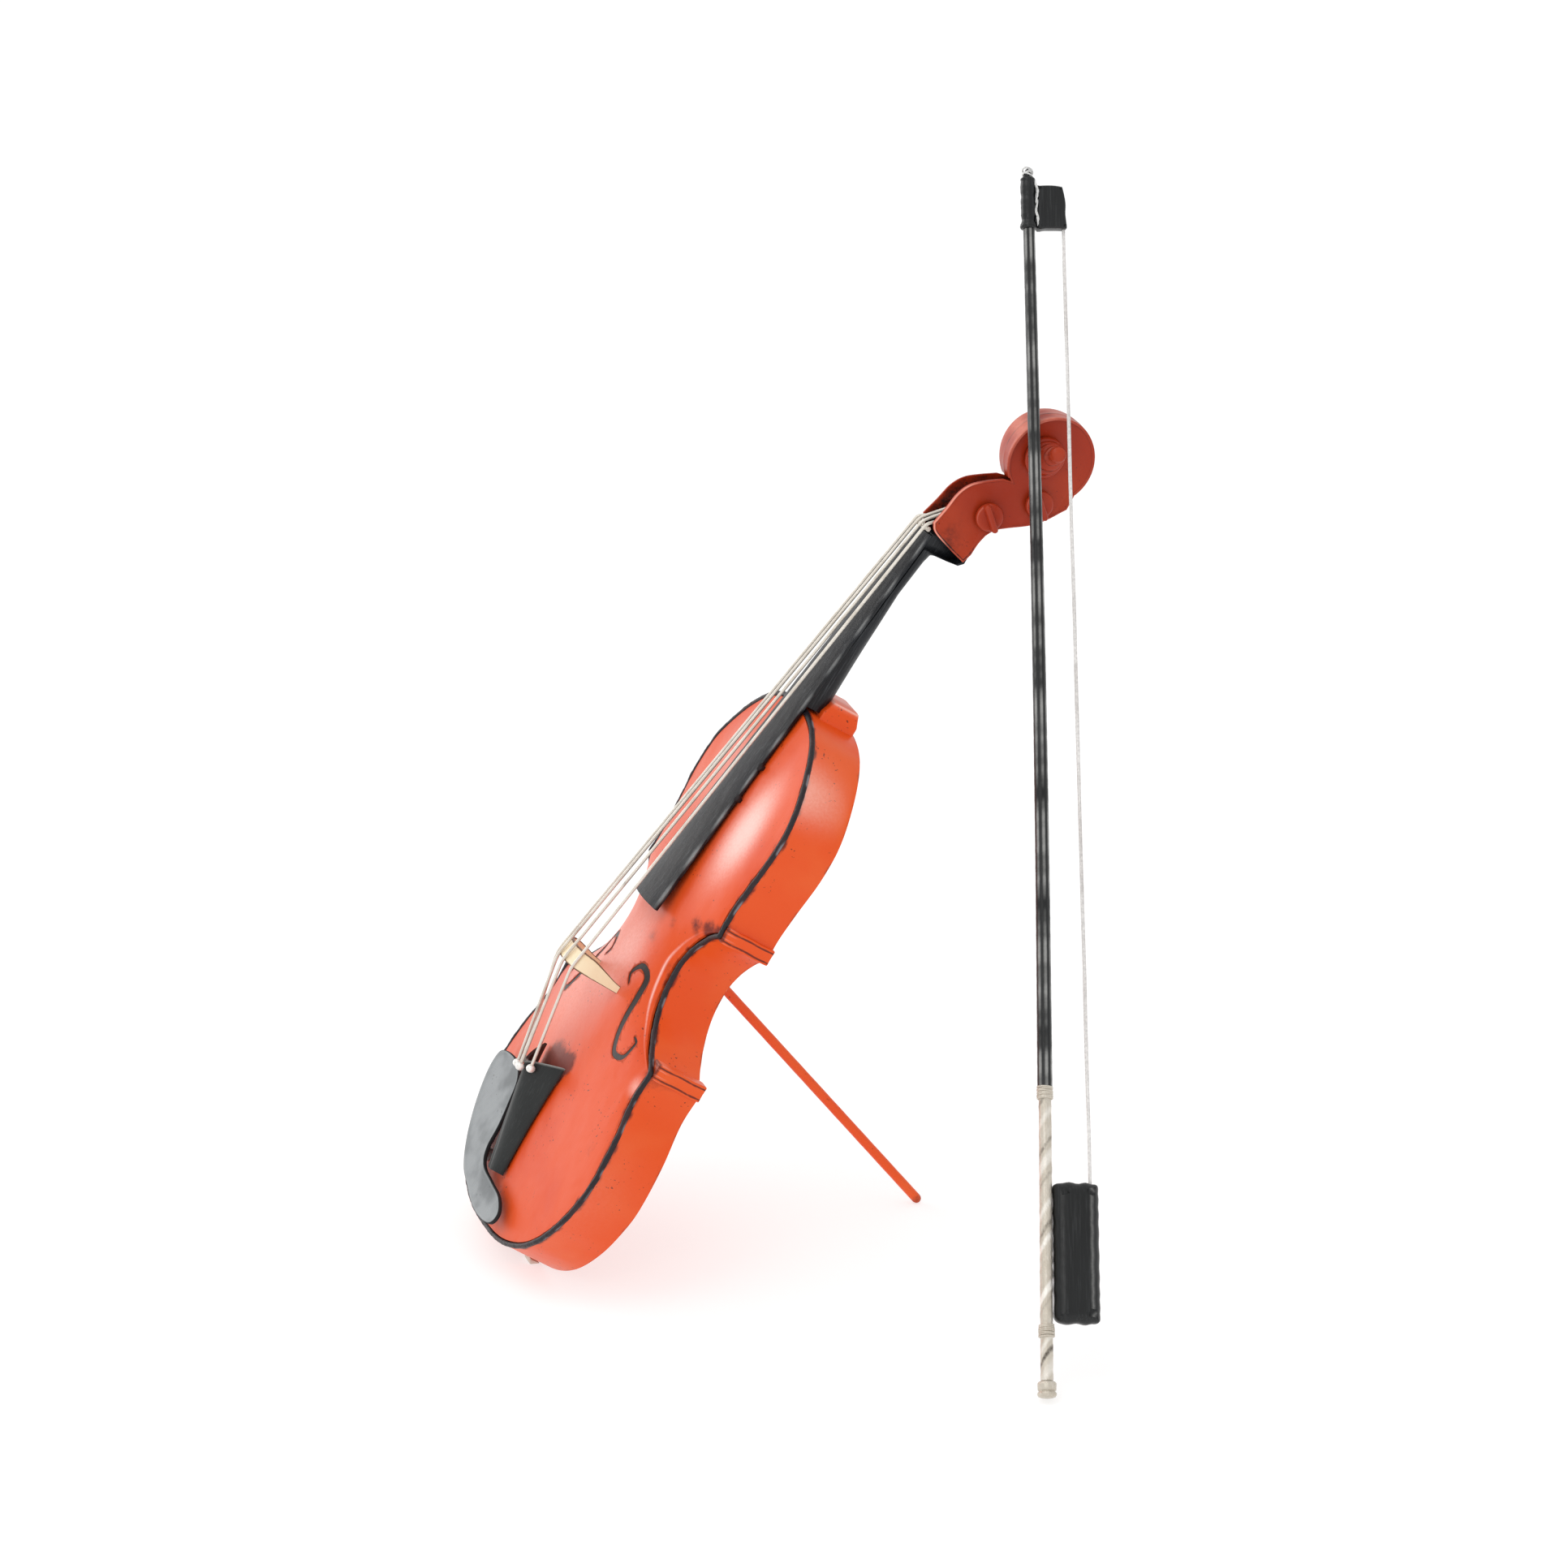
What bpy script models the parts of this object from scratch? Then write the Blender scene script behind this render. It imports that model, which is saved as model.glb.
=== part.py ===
"""Ornamental violin of painted sheet metal, standing on a prop leg, with its bow leaning on the scroll.

The violin is drawn in its own frame: x to the treble side, y from the lower end to the scroll,
z out of the front. Height 0 there is the plane of the front edge. An empty leans that frame back.
The bow has a frame of its own: z up the stick, x from the stick to the hair.
"""

import math

import bmesh
import bpy
import numpy as np
from mathutils import Matrix, Vector

MM = 0.001
GAP = 0.3 * MM  # clearance between pieces that touch

# Body
BODY_LENGTH = 250.0 * MM
LOWER_HALF_WIDTH = 73.8 * MM
WAIST_HALF_WIDTH = 34.2 * MM
UPPER_HALF_WIDTH = 57.4 * MM
RIB_DEPTH = 23.2 * MM
SHEET = 1.0 * MM
FRONT_ARCH = 9.0 * MM
BACK_ARCH = 4.0 * MM
BEAD_RADIUS = 1.15 * MM
BEAD_PROUD = 0.4 * MM
STRIP_PROUD = 1.2 * MM
LOWER_STRIP = (-2.2 * MM, 4.9 * MM)  # how far the strip over each corner reaches down and up from its tip
UPPER_STRIP = (-1.7 * MM, 5.2 * MM)
LEAN_BACK = math.radians(32.9)

# Neck, fingerboard and head
NECK_LENGTH = 87.0 * MM
BOARD_OVERHANG = 100.0 * MM
BOARD_LOWER_HALF_WIDTH = 14.8 * MM
NUT_HALF_WIDTH = 8.0 * MM
BOARD_LOWER_CROWN = 16.0 * MM
NUT_CROWN = -5.5 * MM
BOARD_EDGE = 1.5 * MM
HEEL_LENGTH = 8.0 * MM
HEEL_HALF_WIDTH = 9.6 * MM
HEEL_FOOT_HALF_WIDTH = 13.0 * MM
HEEL_FOOT_FRONT = -4.0 * MM
HEEL_TOP_FRONT = -8.8 * MM
HEEL_TOP_BACK = -20.6 * MM
NECK_UNDERSIDE_LOW = -9.9 * MM
NECK_UNDERSIDE_MIDDLE = -10.2 * MM
NECK_UNDERSIDE_HIGH = -12.4 * MM
NECK_BLOCK = 7.7 * MM  # the black block under the nut that closes the foot of the pegbox
NECK_BLOCK_LOW = -25.0 * MM
THROAT_HALF_WIDTH = 5.0 * MM
CHEEK = 1.2 * MM
SCROLL_RADIUS = 18.6 * MM
SCROLL_FRONT_HALF_WIDTH = 7.7 * MM
PEG_RADIUS = 1.5 * MM
PEG_HEAD_RADIUS = 5.8 * MM
PEG_HEAD_THICKNESS = 2.6 * MM
GRIP_BAR_TURN = math.radians(-40.0)

# Fittings
BRIDGE_PLACE = 112.0 * MM
BRIDGE_SHEET = 1.1 * MM
BRIDGE_WIDTH = 7.7 * MM
BRIDGE_FOOT_WIDTH = 3.1 * MM
BRIDGE_PITCH = 0.34  # how steeply the strip falls towards the neck
STRING_RADIUS = 0.6 * MM
STRING_OFFSET = -2.0 * MM  # the strings stand this far to the bass side at the bridge
STRING_SPACING_BRIDGE = 7.0 * MM
STRING_SPACING_NUT = 4.0 * MM
TAIL_UPPER = 67.5 * MM
TAIL_LOWER = 21.0 * MM
TAIL_SHEET = 1.2 * MM
CHIN_REST_THICKNESS = 1.8 * MM

# Prop leg
LEG_RADIUS = 2.0 * MM
LEG_PLACE = 135.0 * MM
LEG_TILT = 0.335  # sideways run along the body for each unit of run away from the back
LEG_PLUG = 9.0 * MM
SOCKET_RADIUS = 4.2 * MM
SOCKET_HEIGHT = 3.0 * MM
SOCKET_SHOULDER = 1.0 * MM
SOCKET_FLOOR = 2.0 * MM
PAD_SPREAD = 13.5 * MM
PAD_WIDTH = 9.0 * MM

# Bow
BOW_LENGTH = 500.0 * MM
BOW_FOOT = Vector((213.6 * MM, 172.8 * MM))
LEAN_ANGLE = math.radians(66.0)  # where on the scroll's rim the stick leans, turned from the body's length
STICK_RADIUS_LOWER = 3.0 * MM
STICK_RADIUS_UPPER = 2.35 * MM
STICK_CAMBER = 1.6 * MM
GRIP_LENGTH = 124.0 * MM
GRIP_RADIUS = 2.5 * MM
RING_RADIUS = 3.3 * MM
RING_LENGTH = 5.4 * MM
END_BUTTON_RADIUS = 3.8 * MM
END_BUTTON_LENGTH = 6.6 * MM
SLEEVE_RADIUS = 3.4 * MM
SLEEVE_LENGTH = 21.5 * MM
TIP_WINDING_LENGTH = 4.0 * MM
FROG_LENGTH = 56.0 * MM
FROG_DEPTH = 18.4 * MM
FROG_THICKNESS = 9.0 * MM
FROG_PLACE = 29.5 * MM
HEAD_BLOCK_LENGTH = 17.8 * MM
HEAD_BLOCK_DEPTH = 12.1 * MM
HEAD_BLOCK_THICKNESS = 6.0 * MM
HAIR_RADIUS = 1.0 * MM
HAIR_FROM_STICK_LOW = 19.0 * MM
HAIR_FROM_STICK_HIGH = 14.6 * MM

NUT_PLACE = BODY_LENGTH + NECK_LENGTH

# Half-width against height for each stretch of the outline, as shares of the bout and of the body.
LOWER_CORNER = (0.894, 0.3996)
UPPER_CORNER = (0.929, 0.636)
LOWER_BOUT = [
    (0.0, 0.0), (0.366, 0.0084), (0.674, 0.0424), (0.875, 0.0984), (0.982, 0.164),
    (1.0, 0.211), (0.962, 0.278), (0.885, 0.345), LOWER_CORNER,
]
WAIST = [(1.526, 0.432), (1.155, 0.48), (1.0, 0.539), (1.095, 0.582), (1.33, 0.618)]
UPPER_BOUT = [
    UPPER_CORNER, (0.909, 0.674), (0.94, 0.724), (1.0, 0.8), (0.95, 0.868),
    (0.702, 0.9436), (0.404, 0.986), (0.0, 1.0),
]


# ---------------------------------------------------------------------------------------------
# Small tools
# ---------------------------------------------------------------------------------------------


def clear_scene():
    for obj in list(bpy.data.objects):
        bpy.data.objects.remove(obj, do_unlink=True)


def material(name, colour, roughness, metallic=0.0):
    made = bpy.data.materials.new(name)
    made.use_nodes = True
    shader = made.node_tree.nodes["Principled BSDF"]
    shader.inputs["Base Color"].default_value = (*colour, 1.0)
    shader.inputs["Roughness"].default_value = roughness
    shader.inputs["Metallic"].default_value = metallic
    return made


def empty(name, matrix, parent=None):
    made = bpy.data.objects.new(name, None)
    bpy.context.scene.collection.objects.link(made)
    made.parent = parent
    made.matrix_basis = matrix
    return made


def add_object(name, data, finish, parent, place=None):
    obj = bpy.data.objects.new(name, data)
    bpy.context.scene.collection.objects.link(obj)
    obj.parent = parent
    obj.matrix_basis = place or Matrix.Identity(4)
    if finish:
        obj.data.materials.append(finish)
    return obj


def enclosed_volume(bm):
    """Signed volume of a closed bmesh, measured from its own first corner."""
    bm.verts.ensure_lookup_table()
    origin = np.array(bm.verts[0].co)
    total = 0.0
    for corners in bm.calc_loop_triangles():
        a, b, c = (np.array(loop.vert.co, dtype=float) - origin for loop in corners)
        total += float(np.dot(a, np.cross(b, c))) / 6
    return total


def mesh_object(name, bm, finish, parent, place=None, smooth_below=40.0):
    """Turns the faces of a closed bmesh outwards and gives it to a new object."""
    bmesh.ops.recalc_face_normals(bm, faces=bm.faces)
    if enclosed_volume(bm) < 0:
        bmesh.ops.reverse_faces(bm, faces=bm.faces)
    data = bpy.data.meshes.new(name)
    bm.to_mesh(data)
    bm.free()
    data.shade_smooth()
    data.set_sharp_from_angle(angle=math.radians(smooth_below))
    return add_object(name, data, finish, parent, place)


def cut(target, cutter):
    cutter.hide_render = True
    cutter.display_type = "WIRE"
    boolean = target.modifiers.new("cut_" + cutter.name, "BOOLEAN")
    boolean.operation = "DIFFERENCE"
    boolean.solver = "EXACT"
    boolean.object = cutter


def bevel(obj, width, segments=2, angle=40.0):
    made = obj.modifiers.new("soft_edges", "BEVEL")
    made.width = width
    made.segments = segments
    made.limit_method = "ANGLE"
    made.angle_limit = math.radians(angle)


def smooth_line(points, samples, closed=False):
    """Points along a Catmull-Rom curve through the given points."""
    knots = [Vector(p) for p in points]
    count = len(knots)
    line = []
    for i in range(count if closed else count - 1):
        if closed:
            before, after = knots[i - 1], knots[(i + 2) % count]
        else:
            before = knots[i - 1] if i else knots[0] * 2 - knots[1]
            after = knots[i + 2] if i + 2 < count else knots[-1] * 2 - knots[-2]
        start, end = knots[i], knots[(i + 1) % count]
        for k in range(samples):
            t = k / samples
            line.append(
                0.5 * (
                    2 * start + (end - before) * t
                    + (2 * before - 5 * start + 4 * end - after) * t * t
                    + (3 * start - before - 3 * end + after) * t * t * t
                )
            )
    if not closed:
        line.append(knots[-1])
    return line


def arc(centre, radius, start_deg, end_deg, steps):
    """Points of a circular arc, both ends included."""
    angles = np.radians(np.linspace(start_deg, end_deg, steps + 1))
    return [Vector((centre[0] + radius * math.cos(a), centre[1] + radius * math.sin(a))) for a in angles]


def inset(line, distance, closed=False):
    """A 2-D line moved to its left by a distance, with mitred corners."""
    moved = []
    last = len(line) - 1
    for i, point in enumerate(line):
        before = line[i - 1] if i or closed else None
        after = line[(i + 1) % (last + 1)] if i < last or closed else None
        back = (point - before).normalized() if before is not None else (after - point).normalized()
        ahead = (after - point).normalized() if after is not None else back
        tangent = (back + ahead).normalized()
        normal = Vector((-tangent.y, tangent.x))
        stretch = 1.0 / max(0.45, normal.dot(Vector((-ahead.y, ahead.x))))
        moved.append(point + normal * distance * stretch)
    return moved


def loft(name, rings, finish, parent, place=None, smooth_below=40.0):
    """A closed body through rings of the same number of points, with flat ends."""
    bm = bmesh.new()
    rows = [[bm.verts.new(p) for p in ring] for ring in rings]
    for low, high in zip(rows, rows[1:]):
        for i in range(len(low)):
            j = (i + 1) % len(low)
            bm.faces.new((low[i], low[j], high[j], high[i]))
    bm.faces.new(reversed(rows[0]))
    bm.faces.new(rows[-1])
    return mesh_object(name, bm, finish, parent, place, smooth_below)


def slab(name, outline, low, high, finish, parent, to_space, place=None):
    """A flat outline given a thickness: to_space turns (a, b, level) into a point."""
    rings = [[to_space(p[0], p[1], level) for p in outline] for level in (low, high)]
    return loft(name, rings, finish, parent, place)


def circle(centre, radius, across, up, sides, turn=0.0):
    angles = [turn + 2 * math.pi * k / sides for k in range(sides)]
    return [centre + radius * (across * math.cos(a) + up * math.sin(a)) for a in angles]


def turned(name, profile, axis_start, axis, finish, parent, sides=20, place=None):
    """A solid of revolution: profile is a list of (distance along the axis, radius)."""
    axis = axis.normalized()
    across = axis.orthogonal().normalized()
    up = axis.cross(across)
    rings = [circle(axis_start + axis * along, radius, across, up, sides) for along, radius in profile]
    return loft(name, rings, finish, parent, place, smooth_below=35.0)


def rod(name, path, radius, finish, parent, sides_quarter=2, cyclic=False, radii=None):
    """A round wire along a path, as a curve with a bevel and filled caps."""
    data = bpy.data.curves.new(name, "CURVE")
    data.dimensions = "3D"
    data.bevel_depth = radius
    data.bevel_resolution = sides_quarter
    data.use_fill_caps = not cyclic
    spline = data.splines.new("POLY")
    spline.points.add(len(path) - 1)
    for i, point in enumerate(path):
        spline.points[i].co = (*point, 1.0)
        spline.points[i].radius = radii[i] if radii else 1.0
    spline.use_cyclic_u = cyclic
    return add_object(name, data, finish, parent)


def flip(points, side):
    """The points on the treble side, or mirrored to the bass side."""
    return [Vector((side * p.x, p.y, *p[2:])) for p in points]


# ---------------------------------------------------------------------------------------------
# Shape of the body
# ---------------------------------------------------------------------------------------------


STEPS = 2  # straight runs between two points of the outline


def bout(shares, half_width):
    return [Vector((a * half_width, b * BODY_LENGTH)) for a, b in shares]


def half_outline():
    """The treble half of the body's outline, from the lower end to the neck, and its two corners."""
    lower = bout(LOWER_BOUT, LOWER_HALF_WIDTH)
    upper = bout(UPPER_BOUT, UPPER_HALF_WIDTH)
    waist = [lower[-1], *bout(WAIST, WAIST_HALF_WIDTH), upper[0]]
    low_line = smooth_line([Vector((-lower[1].x, lower[1].y)), *lower], STEPS)[STEPS:]
    mid_line = smooth_line(waist, STEPS)
    high_line = smooth_line([*upper, Vector((-upper[-2].x, upper[-2].y))], STEPS)[:-STEPS]
    line = low_line + mid_line[1:] + high_line[1:]
    return line, len(low_line) - 1, len(low_line) + len(mid_line) - 2


OUTLINE, LOWER_TIP, UPPER_TIP = half_outline()


def half_width(y):
    """Half the body's width at a height along it."""
    return float(np.interp(y, [p.y for p in OUTLINE], [p.x for p in OUTLINE]))


def outline_height(x):
    """How far up the body its upper end reaches at a distance from the middle line."""
    top = [p for p in OUTLINE if p.y > 0.9 * BODY_LENGTH]
    return float(np.interp(abs(x), [p.x for p in reversed(top)], [p.y for p in reversed(top)]))


def arch(x, y, crown):
    """Height of an arched plate above its edge."""
    along = 2 * y / BODY_LENGTH - 1
    fall = along**2 if along > 0 else abs(along) ** 3
    across = min(1.0, abs(x) / max(half_width(y), 1e-6))
    return crown * max(0.0, 1 - fall) * max(0.0, 1 - across**2.4)


def arched_plate(name, edge_inset, outer_height, inner_height, finish, parent):
    """A sheet inside the outline. outer_height and inner_height give its two faces."""
    line = inset(OUTLINE, edge_inset)
    line[0] = Vector((0.0, edge_inset))
    line[-1] = Vector((0.0, BODY_LENGTH - edge_inset))
    shares = (-1.0, -0.9, -0.7, -0.45, -0.15, 0.15, 0.45, 0.7, 0.9, 1.0)
    bm = bmesh.new()
    faces_of_sheet = []
    for height in (outer_height, inner_height):
        rows = [[bm.verts.new((0.0, line[0].y, height(0.0, line[0].y)))]]
        for point in line[1:-1]:
            places = [(s * point.x, point.y) for s in shares]
            rows.append([bm.verts.new((x, y, height(x, y))) for x, y in places])
        rows.append([bm.verts.new((0.0, line[-1].y, height(0.0, line[-1].y)))])
        for low, high in zip(rows, rows[1:]):
            for k in range(len(shares) - 1):
                corners = [low[min(k, len(low) - 1)], low[min(k + 1, len(low) - 1)]]
                corners += [high[min(k + 1, len(high) - 1)], high[min(k, len(high) - 1)]]
                unique = list(dict.fromkeys(corners))
                bm.faces.new(unique)
        rim = [row[-1] for row in rows] + [row[0] for row in rows[-2:0:-1]]
        faces_of_sheet.append(rim)
    outer, inner = faces_of_sheet
    for i in range(len(outer)):
        j = (i + 1) % len(outer)
        bm.faces.new((outer[i], outer[j], inner[j], inner[i]))
    return mesh_object(name, bm, finish, parent, smooth_below=60.0)


def front_height(x, y):
    """Outer face of the front."""
    return SHEET / 2 + arch(x, y, FRONT_ARCH)


def back_depth(x, y):
    """Outer face of the back."""
    return -RIB_DEPTH - arch(x, y, BACK_ARCH)


def sound_hole_cutter(side, parent):
    """An S-shaped slot, wide in the middle and narrow at its two hooks."""
    middle = BRIDGE_PLACE
    centre_line = smooth_line(
        [
            Vector((17.9 * MM, middle + 6.8 * MM)), Vector((14.9 * MM, middle + 11.0 * MM)),
            Vector((19.0 * MM, middle + 16.0 * MM)), Vector((25.2 * MM, middle + 13.8 * MM)),
            Vector((27.6 * MM, middle + 6.0 * MM)), Vector((30.0 * MM, middle - 3.0 * MM)),
            Vector((33.5 * MM, middle - 11.0 * MM)), Vector((38.5 * MM, middle - 17.0 * MM)),
            Vector((45.5 * MM, middle - 15.5 * MM)), Vector((46.5 * MM, middle - 8.5 * MM)),
            Vector((42.8 * MM, middle - 6.5 * MM)),
        ],
        3,
    )
    last = len(centre_line) - 1
    edges = [[], []]
    for i, point in enumerate(centre_line):
        run = (centre_line[min(i + 1, last)] - centre_line[max(i - 1, 0)]).normalized()
        normal = Vector((-run.y, run.x))
        half = (0.45 + 1.15 * math.sin(math.pi * i / last)) * MM
        edges[0].append(point + normal * half)
        edges[1].append(point - normal * half)
    outline = flip(edges[0] + edges[1][::-1], side)
    name = "sound_hole_cutter_" + ("treble" if side > 0 else "bass")
    return slab(name, outline, 0.0, FRONT_ARCH + 4 * MM, None, parent, lambda a, b, c: Vector((a, b, c)))


# ---------------------------------------------------------------------------------------------
# Body pieces
# ---------------------------------------------------------------------------------------------


def clip_line(line, low=None, high=None, start_x=None):
    """Keeps the part of a line between two heights, and past a least half-width at its end."""
    kept = []
    for before, after in zip(line, line[1:]):
        ends = [before, after]
        for limit, axis, above in ((low, 1, True), (high, 1, False), (start_x, 0, True)):
            if limit is None or not ends:
                continue
            inside = [(p[axis] >= limit) == above for p in ends]
            if not any(inside):
                ends = []
            elif not all(inside):
                share = (limit - ends[0][axis]) / (ends[1][axis] - ends[0][axis])
                crossing = ends[0].lerp(ends[1], share)
                ends = [ends[0], crossing] if inside[0] else [crossing, ends[1]]
        for p in ends:
            if not kept or (p - kept[-1]).length > 0.01 * MM:
                kept.append(p)
    return kept


def rib(name, side, low, high, finish, parent, start_x=None):
    """A strip of the side wall, between two heights along the body."""
    outer = clip_line(OUTLINE, low, high, start_x)
    inner = clip_line(inset(OUTLINE, SHEET), low, high, start_x)
    outline = flip(outer + inner[::-1], side)
    bottom = -RIB_DEPTH + SHEET + GAP
    top = -BEAD_RADIUS - GAP
    return slab(name, outline, bottom, top, finish, parent, lambda a, b, c: Vector((a, b, c)))


def corner_strip(name, side, reach, tip, finish, parent):
    """The flat strip that covers a corner of the side wall, filled in behind where the wall curves away."""
    low, high = tip.y + reach[0], tip.y + reach[1]
    wall = clip_line(inset(OUTLINE, -GAP), low, high)
    outer = tip.x + STRIP_PROUD
    outline = [Vector((outer, low)), Vector((outer, high)), *reversed(wall)]
    bottom = -RIB_DEPTH + SHEET + GAP
    top = -BEAD_RADIUS - GAP
    return slab(name, flip(outline, side), bottom, top, finish, parent, lambda a, b, c: Vector((a, b, c)))


def build_body(parent, paint, edge_paint):
    front = arched_plate(
        "front_plate",
        2 * BEAD_RADIUS - BEAD_PROUD + GAP,
        front_height,
        lambda x, y: front_height(x, y) - SHEET,
        paint,
        parent,
    )
    for side in (1, -1):
        cut(front, sound_hole_cutter(side, parent))
    back = arched_plate(
        "back_plate", 0.0, back_depth, lambda x, y: back_depth(x, y) + SHEET, paint, parent
    )
    bead_line = inset(OUTLINE, BEAD_RADIUS - BEAD_PROUD)
    bead_line[0] = Vector((0.0, BEAD_RADIUS - BEAD_PROUD))
    bead_line[-1] = Vector((0.0, BODY_LENGTH - BEAD_RADIUS + BEAD_PROUD))
    ring = flip(bead_line, 1) + flip(bead_line, -1)[-2:0:-1]
    rod("edge_bead", [Vector((p.x, p.y, 0.0)) for p in ring], BEAD_RADIUS, edge_paint, parent, 1, True)

    lower_tip, upper_tip = OUTLINE[LOWER_TIP], OUTLINE[UPPER_TIP]
    seam = GAP / 2
    for side, word in ((1, "treble"), (-1, "bass")):
        corner_strip("lower_corner_strip_" + word, side, LOWER_STRIP, lower_tip, paint, parent)
        corner_strip("upper_corner_strip_" + word, side, UPPER_STRIP, upper_tip, paint, parent)
        rib("lower_rib_" + word, side, None, lower_tip.y - seam, paint, parent, seam)
        rib("waist_rib_" + word, side, lower_tip.y + seam, upper_tip.y - seam, paint, parent)
        rib("upper_rib_" + word, side, upper_tip.y + seam, None, paint, parent, seam)

    # The heel is a block on the end of the side wall, drawn in towards the neck.
    heel_high = BODY_LENGTH + BEAD_PROUD + GAP + HEEL_LENGTH
    foot_xs = (HEEL_FOOT_HALF_WIDTH, 0.0, -HEEL_FOOT_HALF_WIDTH)
    foot_ys = [outline_height(x) + BEAD_PROUD + GAP for x in foot_xs]
    foot = [Vector((x, y, HEEL_FOOT_FRONT)) for x, y in zip(foot_xs, foot_ys)]
    foot += [Vector((p.x, p.y, -RIB_DEPTH)) for p in reversed(foot)]
    top = [Vector((x, heel_high, HEEL_TOP_FRONT)) for x in (HEEL_HALF_WIDTH, 0.0, -HEEL_HALF_WIDTH)]
    top += [Vector((p.x, p.y, HEEL_TOP_BACK)) for p in reversed(top)]
    heel = loft("neck_heel", [foot, top], paint, parent)
    bevel(heel, 0.6 * MM)
    return back, heel_high


# ---------------------------------------------------------------------------------------------
# Neck and fingerboard
# ---------------------------------------------------------------------------------------------


def board_share(y):
    lower = BODY_LENGTH - BOARD_OVERHANG
    return (y - lower) / (NUT_PLACE - lower)


def board_half_width(y):
    return BOARD_LOWER_HALF_WIDTH + (NUT_HALF_WIDTH - BOARD_LOWER_HALF_WIDTH) * board_share(y)


def board_crown(y):
    return BOARD_LOWER_CROWN + (NUT_CROWN - BOARD_LOWER_CROWN) * board_share(y)


def board_sagitta(y):
    """How far the board's edge lies below its crown."""
    return board_half_width(y) * 0.14


def board_underside(y):
    return board_crown(y) - board_sagitta(y) - BOARD_EDGE


def build_board(parent, black, wire):
    """Fingerboard with its arched playing face, the wire nut at its end and two round tacks."""
    rings = []
    end = NUT_PLACE - 1.6 * MM
    for y in np.linspace(BODY_LENGTH - BOARD_OVERHANG, end, 8):
        half, crown, sag = board_half_width(y), board_crown(y), board_sagitta(y)
        top = [Vector((half * s, y, crown - sag * s * s)) for s in np.linspace(1, -1, 11)]
        low = [Vector((-half, y, board_underside(y))), Vector((half, y, board_underside(y)))]
        rings.append(top + low)
    loft("fingerboard", rings, black, parent)

    bow_up = 0.7 * MM
    nut_path = []
    for s in np.linspace(-1, 1, 9):
        x = s * (NUT_HALF_WIDTH - CHEEK - 2 * GAP)
        nut_path.append(Vector((x, NUT_PLACE, NUT_CROWN + bow_up - board_sagitta(NUT_PLACE) * 0.6 * s * s)))
    rod("nut", nut_path, 1.1 * MM, wire, parent, 2)

    # The tacks stand on the treble edge of the board, over the upper bout.
    for index, back_from_neck in enumerate((29.0, 44.5)):
        y = BODY_LENGTH - back_from_neck * MM
        start = Vector((board_half_width(y) + GAP, y, board_underside(y) + BOARD_EDGE * 0.6))
        profile = [(0.0, 1.0 * MM), (0.5 * MM, 1.0 * MM), (0.9 * MM, 0.5 * MM)]
        turned(f"board_tack_{index + 1}", profile, start, Vector((1, 0, 0)), black, parent, sides=10)


def build_neck(parent, heel_high, black):
    """The rounded neck under the board, with the block that closes the foot of the pegbox."""
    start = BODY_LENGTH + 1.0 * MM
    block = NUT_PLACE - NECK_BLOCK
    over_heel = 2 * GAP
    profile = [
        (start, board_underside(start) - GAP),
        (start, HEEL_FOOT_FRONT + over_heel),
        (heel_high + GAP, HEEL_TOP_FRONT + over_heel),
        (heel_high + GAP, NECK_UNDERSIDE_LOW),
        (start + NECK_LENGTH * 0.35, NECK_UNDERSIDE_LOW),
        (start + NECK_LENGTH * 0.65, NECK_UNDERSIDE_MIDDLE),
        (block - 5.0 * MM, NECK_UNDERSIDE_HIGH),
        (block, NECK_UNDERSIDE_HIGH - 2.0 * MM),
        (block, NECK_BLOCK_LOW),
        (NUT_PLACE - 5.4 * MM, NECK_BLOCK_LOW - 1.6 * MM),
        (NUT_PLACE - 1.0 * MM, board_underside(NUT_PLACE) - GAP),
    ]
    neck = slab("neck", profile, -1.0, 1.0, black, parent, lambda a, b, c: Vector((c, a, b)))
    for vertex in neck.data.vertices:
        half = min(board_half_width(vertex.co.y), NUT_HALF_WIDTH + 1.6 * MM) * 0.97
        vertex.co.x = math.copysign(half, vertex.co.x)
    bevel(neck, 3.2 * MM, 2, 50.0)
    return neck


# ---------------------------------------------------------------------------------------------
# Head
# ---------------------------------------------------------------------------------------------

SCROLL_CENTRE = Vector((NUT_PLACE + 47.8 * MM, -36.2 * MM))
EYE_CENTRE = Vector((NUT_PLACE + 47.7 * MM, -32.6 * MM))
THROAT_PLACE = NUT_PLACE + 31.0 * MM
PEGS = {
    "peg_treble_near": (1, Vector((NUT_PLACE + 16.3 * MM, -24.4 * MM))),
    "peg_treble_far": (1, Vector((NUT_PLACE + 30.2 * MM, -40.9 * MM))),
    "peg_bass_near": (-1, Vector((NUT_PLACE + 9.0 * MM, -18.0 * MM))),
    "peg_bass_far": (-1, Vector((NUT_PLACE + 23.0 * MM, -33.6 * MM))),
}


def head_half_width(y):
    """The outside of a cheek: it tapers from the nut to the throat and then runs straight."""
    share = min(1.0, max(0.0, (y - NUT_PLACE) / (THROAT_PLACE - NUT_PLACE)))
    return NUT_HALF_WIDTH + (THROAT_HALF_WIDTH - NUT_HALF_WIDTH) * share


def from_nut(along, out):
    return Vector((NUT_PLACE + along * MM, out * MM))


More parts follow.
